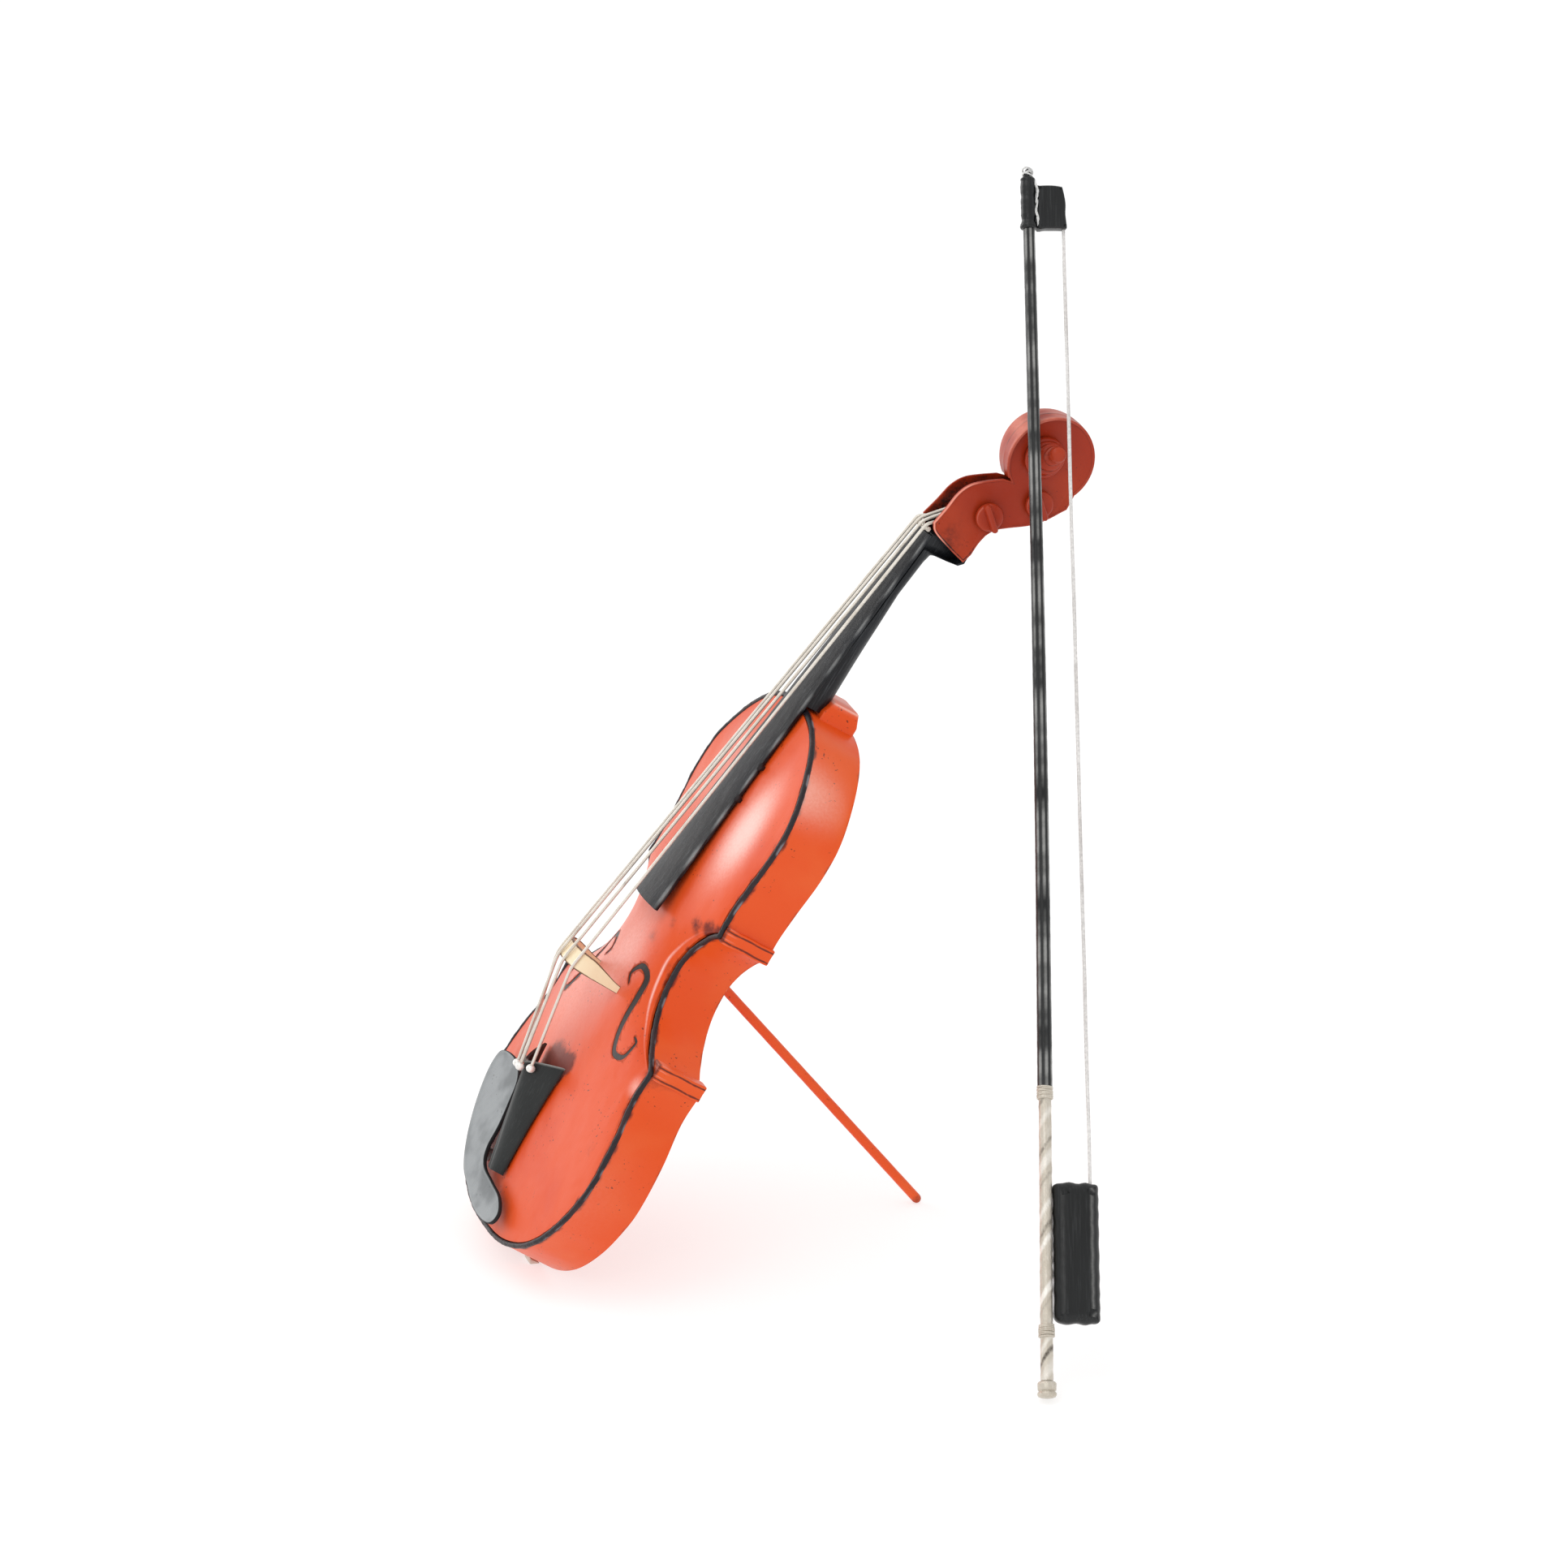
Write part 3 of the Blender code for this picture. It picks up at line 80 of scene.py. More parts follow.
def ripple(along: np.ndarray, wavelength: float, seed: int, octaves: int = 3) -> np.ndarray:
    """A smooth wave with no plain rhythm, for dents and lumps.

    Args:
        along: Where to read it, in the same unit as the wavelength.
        wavelength: Length of its longest wave.
        seed: Chooses the wave.
        octaves: How many shorter waves are added.

    Returns:
        Values between about -1 and 1.
    """
    chance = np.random.default_rng(seed)
    total = np.zeros_like(np.asarray(along, dtype=float))
    weight = 0.0
    for octave in range(octaves):
        turns = 2 * math.pi * 1.83**octave * chance.uniform(0.8, 1.2) / wavelength
        total += np.sin(along * turns + chance.uniform(0, 2 * math.pi)) / 1.5**octave
        weight += 0.8 / 1.5**octave
    return total / weight


def smooth(points: Sequence[Sequence[float]], steps: int, closed: bool = False) -> np.ndarray:
    """Points along a Catmull-Rom curve.

    Args:
        points: The points it passes through.
        steps: Runs between two of them.
        closed: Whether the last joins the first.

    Returns:
        The curve's points, one row each.
    """
    knots = np.asarray(points, dtype=float)
    count = len(knots)
    line = []
    for i in range(count if closed else count - 1):
        start, end = knots[i], knots[(i + 1) % count]
        before = knots[i - 1] if i or closed else 2 * start - end
        after = knots[(i + 2) % count] if i + 2 < count or closed else 2 * end - start
        for k in range(steps):
            t = k / steps
            line.append(
                0.5 * (
                    2 * start + (end - before) * t
                    + (2 * before - 5 * start + 4 * end - after) * t * t
                    + (3 * start - before - 3 * end + after) * t * t * t
                )
            )
    if not closed:
        line.append(knots[-1])
    return np.array(line)


def inset(line: np.ndarray, distance: float, closed: bool = False) -> np.ndarray:
    """A flat line moved to its left, with mitred corners.

    Args:
        line: Its points, one (x, y) row each.
        distance: How far it moves.
        closed: Whether it is a loop.

    Returns:
        The moved points.
    """
    ahead = np.roll(line, -1, axis=0) - line
    back = line - np.roll(line, 1, axis=0)
    if not closed:
        ahead[-1], back[0] = back[-1], ahead[0]
    ahead /= np.maximum(np.linalg.norm(ahead, axis=1), 1e-9)[:, None]
    back /= np.maximum(np.linalg.norm(back, axis=1), 1e-9)[:, None]
    run = ahead + back
    run /= np.maximum(np.linalg.norm(run, axis=1), 1e-9)[:, None]
    normal = np.stack([-run[:, 1], run[:, 0]], axis=1)
    square = np.stack([-ahead[:, 1], ahead[:, 0]], axis=1)
    stretch = 1.0 / np.maximum(0.5, (normal * square).sum(axis=1))
    return line + normal * (distance * stretch)[:, None]


def arc(centre: Sequence[float], radius: float, start: float, end: float, steps: int) -> np.ndarray:
    """Points of a circular arc between two angles in degrees, both ends included."""
    angles = np.radians(np.linspace(start, end, steps + 1))
    return np.stack([centre[0] + radius * np.cos(angles), centre[1] + radius * np.sin(angles)], axis=1)


def divided(loop: np.ndarray, gap: float) -> np.ndarray:
    """A closed line with more points, so that no two lie further apart than a gap."""
    parts = []
    for start, end in zip(loop, np.roll(loop, -1, axis=0)):
        runs = max(1, int(math.ceil(np.linalg.norm(end - start) / gap)))
        parts += [start + (end - start) * k / runs for k in range(runs)]
    return np.array(parts)


def rounded_box(width: float, height: float, radius: float, steps: int = 5) -> np.ndarray:
    """A rectangle round (0, 0) with rounded corners, as a loop of points."""
    corners = []
    for quarter, (a, b) in enumerate(((1, 1), (-1, 1), (-1, -1), (1, -1))):
        centre = (a * (width / 2 - radius), b * (height / 2 - radius))
        corners.append(arc(centre, radius, 90 * quarter, 90 * quarter + 90, steps))
    return np.concatenate(corners)


def loop_area(loop: np.ndarray) -> float:
    """Signed area of a loop: positive where it runs anticlockwise."""
    x, y = loop[:, 0], loop[:, 1]
    return float((x * np.roll(y, -1) - np.roll(x, -1) * y).sum() / 2)


# ---------------------------------------------------------------------------------------------
# Meshes
# ---------------------------------------------------------------------------------------------


class Axes:
    """A local frame in millimetres."""

    def __init__(self, matrix: Matrix) -> None:
        """Keeps the frame's turn and origin, both from a world matrix in metres."""
        self.turn = np.array(matrix.to_3x3())
        self.origin = np.array(matrix.translation)

    def world(self, points: np.ndarray) -> np.ndarray:
        """Local points in millimetres as world points in metres."""
        return np.asarray(points, dtype=float) * MM @ self.turn.T + self.origin


class Form:
    """Gathers surfaces in one local frame and makes one piece of them."""

    def __init__(self, axes: Axes) -> None:
        """Starts an empty form in a frame."""
        self.axes = axes
        self.points: list[np.ndarray] = []
        self.faces: list[tuple[int, ...]] = []
        # Two marks: a darkening one for dirt and painted shade, and a lightening one for wear and painted
        # highlights.
        self.marks: dict[str, list[np.ndarray]] = {"grime": [], "worn": []}
        self.count = 0

    def add(self, points: np.ndarray, faces: Sequence[Sequence[int]], **marks: Any) -> None:
        """Adds a surface.

        Args:
            points: Its corners in millimetres.
            faces: Its faces, numbered from its own first corner.
            **marks: A value for each corner, or one for all, of the darkening mark (dirt and painted shade)
                     or the lightening mark (wear and painted highlights).
        """
        flat = np.asarray(points, dtype=float).reshape(-1, 3)
        self.faces += [tuple(int(i) + self.count for i in face) for face in faces]
        self.points.append(flat)
        for name, kept in self.marks.items():
            value = np.asarray(marks.get(name, 0.0), dtype=float)
            kept.append(np.broadcast_to(value.ravel(), (len(flat),)))
        self.count += len(flat)

    def grid(
        self, points: np.ndarray, rings: bool = False, loop: bool = False, ends: bool = False, **marks: Any
    ) -> None:
        """Adds a sheet of rows and columns.

        Args:
            points: Array of rows by columns by 3.
            rings: Whether each row closes on itself.
            loop: Whether the last row joins the first.
            ends: Whether the first and the last row are filled in.
            **marks: Values of rows by columns.
        """
        rows, columns = points.shape[:2]
        faces: list[tuple[int, ...]] = []
        for r in range(rows if loop else rows - 1):
            for c in range(columns if rings else columns - 1):
                a, b = r * columns + c, r * columns + (c + 1) % columns
                d, e = ((r + 1) % rows) * columns + c, ((r + 1) % rows) * columns + (c + 1) % columns
                faces.append((a, b, e, d))
        if ends:
            for row in (0, rows - 1):
                loop_points = [Vector(p) for p in points[row]]
                for triangle in tessellate_polygon([loop_points]):
                    faces.append(tuple(row * columns + i for i in triangle))
        self.add(points, faces, **marks)

    def shell(self, top: np.ndarray, low: np.ndarray, **marks: Any) -> None:
        """Adds a sheet with two faces, closed round its edge.

        Args:
            top: Rows by columns by 3 points of one face.
            low: The same for the other.
            **marks: Values of rows by columns, used on both faces.
        """
        rows, columns = top.shape[:2]
        size = rows * columns
        faces: list[tuple[int, ...]] = []
        for r in range(rows - 1):
            for a in range(r * columns, (r + 1) * columns - 1):
                b, d, e = a + 1, a + columns, a + columns + 1
                faces.append((a, b, e, d))
                faces.append((d + size, e + size, b + size, a + size))
        for a in (*range(columns - 1), *range(size - columns, size - 1)):
            faces.append((a, a + 1, a + 1 + size, a + size))
        for r in range(rows - 1):
            for a in (r * columns, r * columns + columns - 1):
                faces.append((a, a + columns, a + columns + size, a + size))
        doubled = {
            name: np.tile(np.broadcast_to(value, (rows, columns)).ravel(), 2) for name, value in marks.items()
        }
        self.add(np.concatenate([top.reshape(-1, 3), low.reshape(-1, 3)]), faces, **doubled)

    def bent(
        self, rings: np.ndarray, cuts: Sequence[float], bend: Callable[[np.ndarray], np.ndarray], **marks: Any
    ) -> None:
        """Adds a flat plate that is bent after its faces have been cut along the bends.

        Args:
            rings: Rings by corners by 3 flat points, whose first and last rings are filled in.
            cuts: Where the bends lie on the second axis.
            bend: Turns flat points into bent ones.
            **marks: Values of rings by corners.
        """
        flat = Form(self.axes)
        flat.grid(rings, rings=True, ends=True, **marks)
        work = bmesh.new()
        layers = {name: work.verts.layers.float.new(name) for name in flat.marks}
        points = np.concatenate(flat.points)
        corners = [work.verts.new(point) for point in points]
        for name, layer in layers.items():
            for corner, value in zip(corners, np.concatenate(flat.marks[name])):
                corner[layer] = float(value)
        for face in flat.faces:
            work.faces.new([corners[i] for i in face])
        for cut in cuts:
            geometry = [*work.verts, *work.edges, *work.faces]
            bmesh.ops.bisect_plane(work, geom=geometry, plane_co=(0, cut, 0), plane_no=(0, 1, 0))
        work.verts.index_update()
        faces = [[corner.index for corner in face.verts] for face in work.faces]
        kept = {name: np.array([corner[layer] for corner in work.verts]) for name, layer in layers.items()}
        self.add(bend(np.array([tuple(corner.co) for corner in work.verts])), faces, **kept)
        work.free()

    def tube(self, path: np.ndarray, radii: Any, sides: int = 20, loop: bool = False, **marks: Any) -> None:
        """Adds a round bar along a path.

        Args:
            path: Its points, one row each.
            radii: One radius, or one for each point.
            sides: Corners of its cross-section.
            loop: Whether it closes on itself.
            **marks: Values of points by sides.
        """
        if loop:
            run = np.roll(path, -1, axis=0) - np.roll(path, 1, axis=0)
        else:
            run = np.gradient(path, axis=0)
        run /= np.maximum(np.linalg.norm(run, axis=1), 1e-9)[:, None]
        across = np.cross(run[0], (0.31, 0.47, 0.83))
        frames = []
        for direction in run:
            across = across - direction * across.dot(direction)
            across /= np.linalg.norm(across)
            frames.append((across.copy(), np.cross(direction, across)))
        if loop:
            # The twist gathered on the way round is shared out, so that the ends meet.
            first, last = frames[0], frames[-1]
            gap = math.atan2(last[0].dot(first[1]), last[0].dot(first[0]))
            for i, (u, v) in enumerate(frames):
                turn = -gap * i / (len(frames) - 1)
                frames[i] = (u * math.cos(turn) + v * math.sin(turn), v * math.cos(turn) - u * math.sin(turn))
        angles = np.linspace(0, 2 * math.pi, sides, endpoint=False)
        sizes = np.broadcast_to(np.asarray(radii, dtype=float).reshape(-1), (len(path),))
        rows = [
            p + r * (np.outer(np.cos(angles), u) + np.outer(np.sin(angles), v))
            for p, r, (u, v) in zip(path, sizes, frames)
        ]
        self.grid(np.array(rows), rings=True, loop=loop, ends=not loop, **marks)

    def pillow(
        self, outline: np.ndarray, low: float, high: float, radius: float,
        place: Callable[[np.ndarray, Any], np.ndarray], steps: int = 4, **marks: Any,
    ) -> None:
        """Adds a flat outline with a thickness and rounded edges.

        Args:
            outline: A loop of (a, b) points, anticlockwise.
            low: Level of one face.
            high: Level of the other.
            radius: Radius of its edges.
            place: Turns an array of (a, b) and a level into local points.
            steps: Runs round each edge.
            **marks: One value for all corners.
        """
        turns = np.linspace(0, math.pi / 2, steps + 1)
        edge = [(radius * (1 - math.sin(t)), radius * (1 - math.cos(t))) for t in turns]
        rings = [(low, radius * 1.35)] + [(low + up, back) for up, back in edge[::-1]]
        rings += [(high - up, back) for up, back in edge]
        rings += [(high, radius * 1.35)]
        rows = [place(inset(outline, back, closed=True), level) for level, back in rings]
        self.grid(np.array(rows), rings=True, ends=True, **marks)

    def piece(
        self, name: str, rider: Rider, finish: "Finish", *nodes: str, crease: float = 40.0
    ) -> bpy.types.Object:
        """Makes the piece, rides it on its body and hides the nodes that it stands for.

        Args:
            name: The piece's name.
            rider: The body that it rides on.
            finish: Its finish.
            *nodes: Nodes that it replaces.
            crease: Edges sharper than this many degrees stay sharp.

        Returns:
            The new object.
        """
        local = np.concatenate(self.points)
        mesh = bpy.data.meshes.new(name)
        mesh.from_pydata(self.axes.world(local).tolist(), [], self.faces)
        lie = mesh.attributes.new("lie", "FLOAT_VECTOR", "POINT")
        lie.data.foreach_set("vector", local.astype(np.float32).ravel())
        for mark, values in self.marks.items():
            layer = mesh.attributes.new(mark, "FLOAT", "POINT")
            layer.data.foreach_set("value", np.concatenate(values).astype(np.float32))
        return settle(mesh, name, rider, finish, *nodes, crease=crease)


def settle(
    mesh: bpy.types.Mesh, name: str, rider: Rider, finish: "Finish", *nodes: str, crease: float = 40.0
) -> bpy.types.Object:
    """Turns a mesh's faces outwards, dresses it and hands it to its body.

    Args:
        mesh: The mesh, with its place in its corners.
        name: The piece's name.
        rider: The body that it rides on.
        finish: Its finish.
        *nodes: Nodes that it replaces.
        crease: Edges sharper than this many degrees stay sharp.

    Returns:
        The new object.
    """
    work = bmesh.new()
    work.from_mesh(mesh)
    bmesh.ops.dissolve_degenerate(work, edges=work.edges, dist=1e-7)
    bmesh.ops.recalc_face_normals(work, faces=work.faces)
    work.to_mesh(mesh)
    work.free()
    mesh.shade_smooth()
    mesh.set_sharp_from_angle(angle=math.radians(crease))
    mesh.materials.clear()
    mesh.materials.append(finish.material())
    obj = bpy.data.objects.new(name, mesh)
    bpy.context.scene.collection.objects.link(obj)
    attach(obj, rider.value)
    if nodes:
        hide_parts(*nodes)
    LOG.info("%s: %d faces on %s", name, len(mesh.polygons), rider.value)
    return obj


# ---------------------------------------------------------------------------------------------
# Shaders
# ---------------------------------------------------------------------------------------------


class Value:
    """A number that varies over a surface, with arithmetic."""

    def __init__(self, graph: "Graph", socket: Any) -> None:
        """Wraps a node's output."""
        self.graph = graph
        self.socket = socket

    def with_other(self, operation: str, other: Any, turned: bool = False) -> "Value":
        """One Math node of this value and another, in either order."""
        first, second = (other, self) if turned else (self, other)
        made = self.graph.node("ShaderNodeMath", {"operation": operation}, {0: first, 1: second})
        return Value(self.graph, made.outputs[0])

    def __add__(self, other: Any) -> "Value":
        """This plus other."""
        return self.with_other("ADD", other)

    def __radd__(self, other: Any) -> "Value":
        """Other plus this."""
        return self.with_other("ADD", other)

    def __sub__(self, other: Any) -> "Value":
        """This less other."""
        return self.with_other("SUBTRACT", other)

    def __rsub__(self, other: Any) -> "Value":
        """Other less this."""
        return self.with_other("SUBTRACT", other, turned=True)

    def __mul__(self, other: Any) -> "Value":
        """This times other."""
        return self.with_other("MULTIPLY", other)

    def __rmul__(self, other: Any) -> "Value":
        """Other times this."""
        return self.with_other("MULTIPLY", other)

    def step(self, low: float, high: float) -> "Value":
        """Rises smoothly from 0 at low to 1 at high."""
        made = self.graph.node(
            "ShaderNodeMapRange", {"interpolation_type": "SMOOTHSTEP"},
            {0: self, 1: low, 2: high, 3: 0.0, 4: 1.0},
        )
        return Value(self.graph, made.outputs[0])


class Graph:
    """The node tree of one material."""

    def __init__(self, name: str) -> None:
        """Starts a material with an empty tree."""
        self.material = bpy.data.materials.new(name)
        self.material.use_nodes = True
        self.tree = self.material.node_tree
        self.tree.nodes.clear()

    def node(self, kind: str, settings: dict[str, Any], sockets: dict[Any, Any]) -> Any:
        """Adds a node.

        Args:
            kind: Its type.
            settings: Its settings, set first.
            sockets: Its inputs by name or number: a Value, an output or a plain value.

        Returns:
            The node.
        """
        made = self.tree.nodes.new(kind)
        for name, value in settings.items():
            setattr(made, name, value)
        for key, value in sockets.items():
            socket = made.inputs[key]
            if isinstance(value, Value):
                self.tree.links.new(value.socket, socket)
            elif isinstance(value, bpy.types.NodeSocket):
                self.tree.links.new(value, socket)
            elif socket.type == "RGBA":
                socket.default_value = (*value[:3], 1.0)
            else:
                socket.default_value = value
        return made

    def mark(self, name: str) -> Value:
        """A value painted on the mesh's corners."""
        return Value(self, self.node("ShaderNodeAttribute", {"attribute_name": name}, {}).outputs["Fac"])

    def lie(self, stretch: Sequence[float]) -> Any:
        """The piece's own place in millimetres, stretched along each axis."""
        place = self.node("ShaderNodeAttribute", {"attribute_name": "lie"}, {}).outputs["Vector"]
        sockets = {0: place, 1: tuple(stretch)}
        return self.node("ShaderNodeVectorMath", {"operation": "MULTIPLY"}, sockets).outputs[0]

    def noise(self, place: Any, scale: float, detail: float = 2.0, roughness: float = 0.5) -> Value:
        """Cloudy noise at a place."""
        made = self.node(
            "ShaderNodeTexNoise", {},
            {"Vector": place, "Scale": scale, "Detail": detail, "Roughness": roughness},
        )
        return Value(self, made.outputs[0])

    def mix(self, share: Any, first: Any, second: Any) -> Any:
        """A colour between two, by a share."""
        made = self.node(
            "ShaderNodeMix", {"data_type": "RGBA", "clamp_factor": True},
            {"Factor": share, 6: first, 7: second},
        )
        return made.outputs[2]


def paint(red: float, green: float, blue: float) -> Colour:
    """A linear colour from 0 to 255 display values."""
    shares = (red / 255, green / 255, blue / 255)
    linear = [s / 12.92 if s <= 0.04045 else ((s + 0.055) / 1.055) ** 2.4 for s in shares]
    return (linear[0], linear[1], linear[2])


@dataclass(frozen=True)
class Finish:
    """A painted, bare or translucent surface.

    Clouds vary its colour over centimetres, streaks run with the piece, specks are spots of dirt,
    and two marks on the mesh say where it is darkened by dirt and by painted shade, and where it is
    lightened by wear and by painted highlights.
    """

    name: str
    slot: str
    colour: Colour
    cloud: Colour
    cloud_share: float = 0.5
    cloud_size: float = 45.0
    streak: Colour = (1.0, 1.0, 1.0)
    streak_share: float = 0.0
    streak_stretch: tuple[float, float, float] = (1.6, 0.06, 1.6)
    # Colour of the darkening mark, which stands for dirt and for painted shade.
    grime: Colour = (0.01, 0.004, 0.003)
    grime_share: float = 1.0
    # Colour of the lightening mark, which stands for wear and for painted highlights.
    worn: Colour = (0.8, 0.6, 0.55)
    worn_share: float = 1.0
    speck: Colour = (0.02, 0.008, 0.006)
    speck_share: float = 0.0
    speck_size: float = 1.2
    roughness: float = 0.35
    roughness_play: float = 0.12
    metallic: float = 0.0
    specular: float = 0.5
    coat: float = 0.0
    coat_roughness: float = 0.1
    dent: float = 0.0
    grain: float = 0.0
    see_through: float = 0.0
    made: dict[str, Any] = field(default_factory=dict, compare=False)

    def material(self) -> bpy.types.Material:
        """The material, made once."""
        if "material" not in self.made:
            self.made["material"] = self.build()
        return self.made["material"]

    def build(self) -> bpy.types.Material:
        """Builds the node tree.

        Returns:
            The new material.
        """
        graph = Graph(self.name)
        place = graph.lie((1.0, 1.0, 1.0))
        clouds = graph.noise(place, 1.0 / self.cloud_size, 3.0, 0.55)
        fine = graph.noise(place, 0.9, 3.0, 0.6)
        colour = graph.mix(clouds.step(0.42, 0.66) * self.cloud_share, self.colour, self.cloud)
        if self.streak_share:
            lines = graph.noise(graph.lie(self.streak_stretch), 1.0, 4.0, 0.7)
            colour = graph.mix(lines.step(0.5, 0.72) * self.streak_share, colour, self.streak)
        if self.speck_share:
            spots = graph.noise(place, 1.0 / self.speck_size, 1.0, 0.4)
            patch = graph.noise(place, 0.06, 2.0, 0.5)
            colour = graph.mix(
                spots.step(0.69, 0.74) * patch.step(0.5, 0.62) * self.speck_share, colour, self.speck
            )
        ragged = fine * 0.7 + graph.noise(place, 0.3, 3.0, 0.6) * 1.5 - 0.1
        # The darkening mark: dirt and dark joints, and painted shade in crevices, under parts and on shaded
        # sides.
        dirt = (graph.mark("grime") * ragged).step(0.18, 0.8)
        colour = graph.mix(dirt * self.grime_share, colour, self.grime)
        # The lightening mark: worn paint, and painted highlights on rims, ridges and lit faces.
        rub_and_highlight = (graph.mark("worn") * (fine * 0.5 + clouds * 0.5 + 0.5)).step(0.04, 0.95)
        colour = graph.mix(rub_and_highlight * self.worn_share, colour, self.worn)
        rough = clouds * self.roughness_play + fine * (0.5 * self.roughness_play)
        rough = rough + dirt * 0.15 + (self.roughness - 0.75 * self.roughness_play)
        height = graph.noise(place, 0.055, 2.0, 0.5) * self.dent + fine * self.grain
        bump = graph.node("ShaderNodeBump", {}, {"Strength": 1.0, "Distance": 0.001, "Height": height})
        shader = graph.node(
            "ShaderNodeBsdfPrincipled", {},
            {
                "Base Color": colour, "Roughness": rough, "Metallic": self.metallic, "Coat Weight": self.coat,
                "Coat Roughness": self.coat_roughness, "Specular IOR Level": self.specular,
                "Normal": bump.outputs[0],
            },
        )
        surface = shader.outputs[0]
        if self.see_through:
            clear = graph.node("ShaderNodeBsdfTransparent", {}, {"Color": (1.0, 1.0, 1.0)})
            surface = graph.node(
                "ShaderNodeMixShader", {},
                {0: fine.step(0.3, 0.7) * self.see_through, 1: surface, 2: clear.outputs[0]},
            ).outputs[0]
        graph.node("ShaderNodeOutputMaterial", {}, {0: surface})
        return graph.material


ORANGE = Finish(
    "orange_lacquer_aged", "orange_lacquer", paint(226, 80, 22), paint(228, 94, 38), cloud_share=0.7,
    grime=paint(70, 24, 22), grime_share=0.85, worn=paint(250, 190, 175), speck_share=0.75, roughness=0.38,
    specular=0.22, coat=0.12, coat_roughness=0.25, dent=0.9, grain=0.03,
)
FRONT_ORANGE = Finish(
    "orange_lacquer_front", "orange_lacquer", paint(218, 78, 26), paint(208, 66, 22), cloud_share=0.6,
    grime=paint(84, 24, 20), grime_share=0.85, worn=paint(250, 196, 186), speck_share=0.8, roughness=0.38,
    specular=0.15, coat=0.1, coat_roughness=0.3, dent=0.9, grain=0.03,
    streak=paint(236, 120, 80), streak_share=0.1,
)
RUSSET = Finish(
    "russet_lacquer_aged", "russet_lacquer", paint(158, 44, 16), paint(172, 58, 26), cloud_share=0.8,
    grime=paint(24, 12, 12), worn=paint(238, 150, 130), speck_share=0.7,
    roughness=0.36, specular=0.2, coat=0.12,
    coat_roughness=0.2, dent=0.8, grain=0.05,
)
BLACK = Finish(
    "black_lacquer_brushed", "black_lacquer", paint(16, 18, 22), paint(28, 31, 36), cloud_share=0.8,
    streak=paint(92, 96, 100), streak_share=0.4, grime=paint(6, 6, 8), worn=paint(150, 152, 152),
    worn_share=0.7, roughness=0.45, specular=0.25, coat=0.08, coat_roughness=0.25, dent=0.6, grain=0.1,
)
STICK_BLACK = Finish(
    "black_lacquer_stick", "black_lacquer", paint(12, 14, 15), paint(24, 27, 28), cloud_share=0.6,
    streak=paint(80, 82, 84), streak_share=0.25, streak_stretch=(1.6, 1.6, 0.05), worn=paint(150, 150, 148),
    roughness=0.36, specular=0.3, coat=0.15, coat_roughness=0.18, dent=0.6, grain=0.08,
)
EDGE_BLACK = Finish(
    "edge_black_rubbed", "edge_black", paint(26, 20, 26), paint(52, 30, 32), cloud_share=0.8, cloud_size=14.0,
    worn=paint(150, 148, 156), worn_share=0.6, grime=paint(14, 10, 12), roughness=0.42, specular=0.35,
    dent=0.5, grain=0.3,
)
TAIL_BLACK = Finish(
    "charcoal_tailpiece", "black_lacquer", paint(26, 28, 28), paint(40, 43, 43), cloud_share=0.8,
    streak=paint(70, 74, 74), streak_share=0.25, worn=paint(170, 170, 166), worn_share=0.6, roughness=0.46,
    specular=0.3, dent=0.5, grain=0.08,
)
IRON = Finish(
    "grey_iron_satin", "grey_iron", paint(140, 144, 146), paint(104, 108, 110),
    cloud_share=0.9, cloud_size=22.0,
    speck=paint(52, 54, 56), speck_share=0.6, worn=paint(190, 194, 192), worn_share=0.5,
    grime=paint(30, 32, 34),
    roughness=0.5, specular=0.3, metallic=0.1, dent=0.6, grain=0.12,
)
WIRE = Finish(
    "string_wire_bright", "string_wire", paint(222, 216, 206), paint(196, 186, 172), cloud_size=9.0,
    grime=paint(70, 60, 52), worn=paint(250, 250, 248), roughness=0.32, metallic=0.4, grain=0.06,
)
BONE = Finish(
    "bone_painted", "bone_ivory", paint(244, 222, 186), paint(236, 208, 166), cloud_size=14.0,
    grime=paint(110, 70, 36), worn=paint(252, 240, 220), roughness=0.45, coat=0.2, dent=0.4, grain=0.1,
)
CHAMPAGNE = Finish(
    "champagne_silver_worn", "champagne_silver", paint(204, 196, 182), paint(184, 174, 158), cloud_size=11.0,
    streak=paint(236, 232, 224), streak_share=0.5, streak_stretch=(1.6, 1.6, 0.08),
    grime=paint(92, 84, 74), worn=paint(246, 242, 234), roughness=0.36, metallic=0.5, dent=1.2, grain=0.35,
)
HAIR = Finish(
    "bow_hair_clear", "bow_hair", paint(236, 234, 232), paint(206, 200, 196), cloud_size=26.0,
    grime=paint(136, 96, 86), roughness=0.3, see_through=0.25, grain=0.1,
)
THREAD = Finish(
    "clear_thread_wound", "clear_thread", paint(222, 222, 220), paint(150, 150, 150), cloud_size=3.0,
    grime=paint(40, 40, 42), roughness=0.22, coat=0.6, see_through=0.15, grain=0.2,
)
RUBBER = Finish(
    "clear_rubber_pad", "clear_rubber", paint(214, 202, 190), paint(196, 184, 172), roughness=0.5, grain=0.1,
)


# ---------------------------------------------------------------------------------------------
# Body
# ---------------------------------------------------------------------------------------------


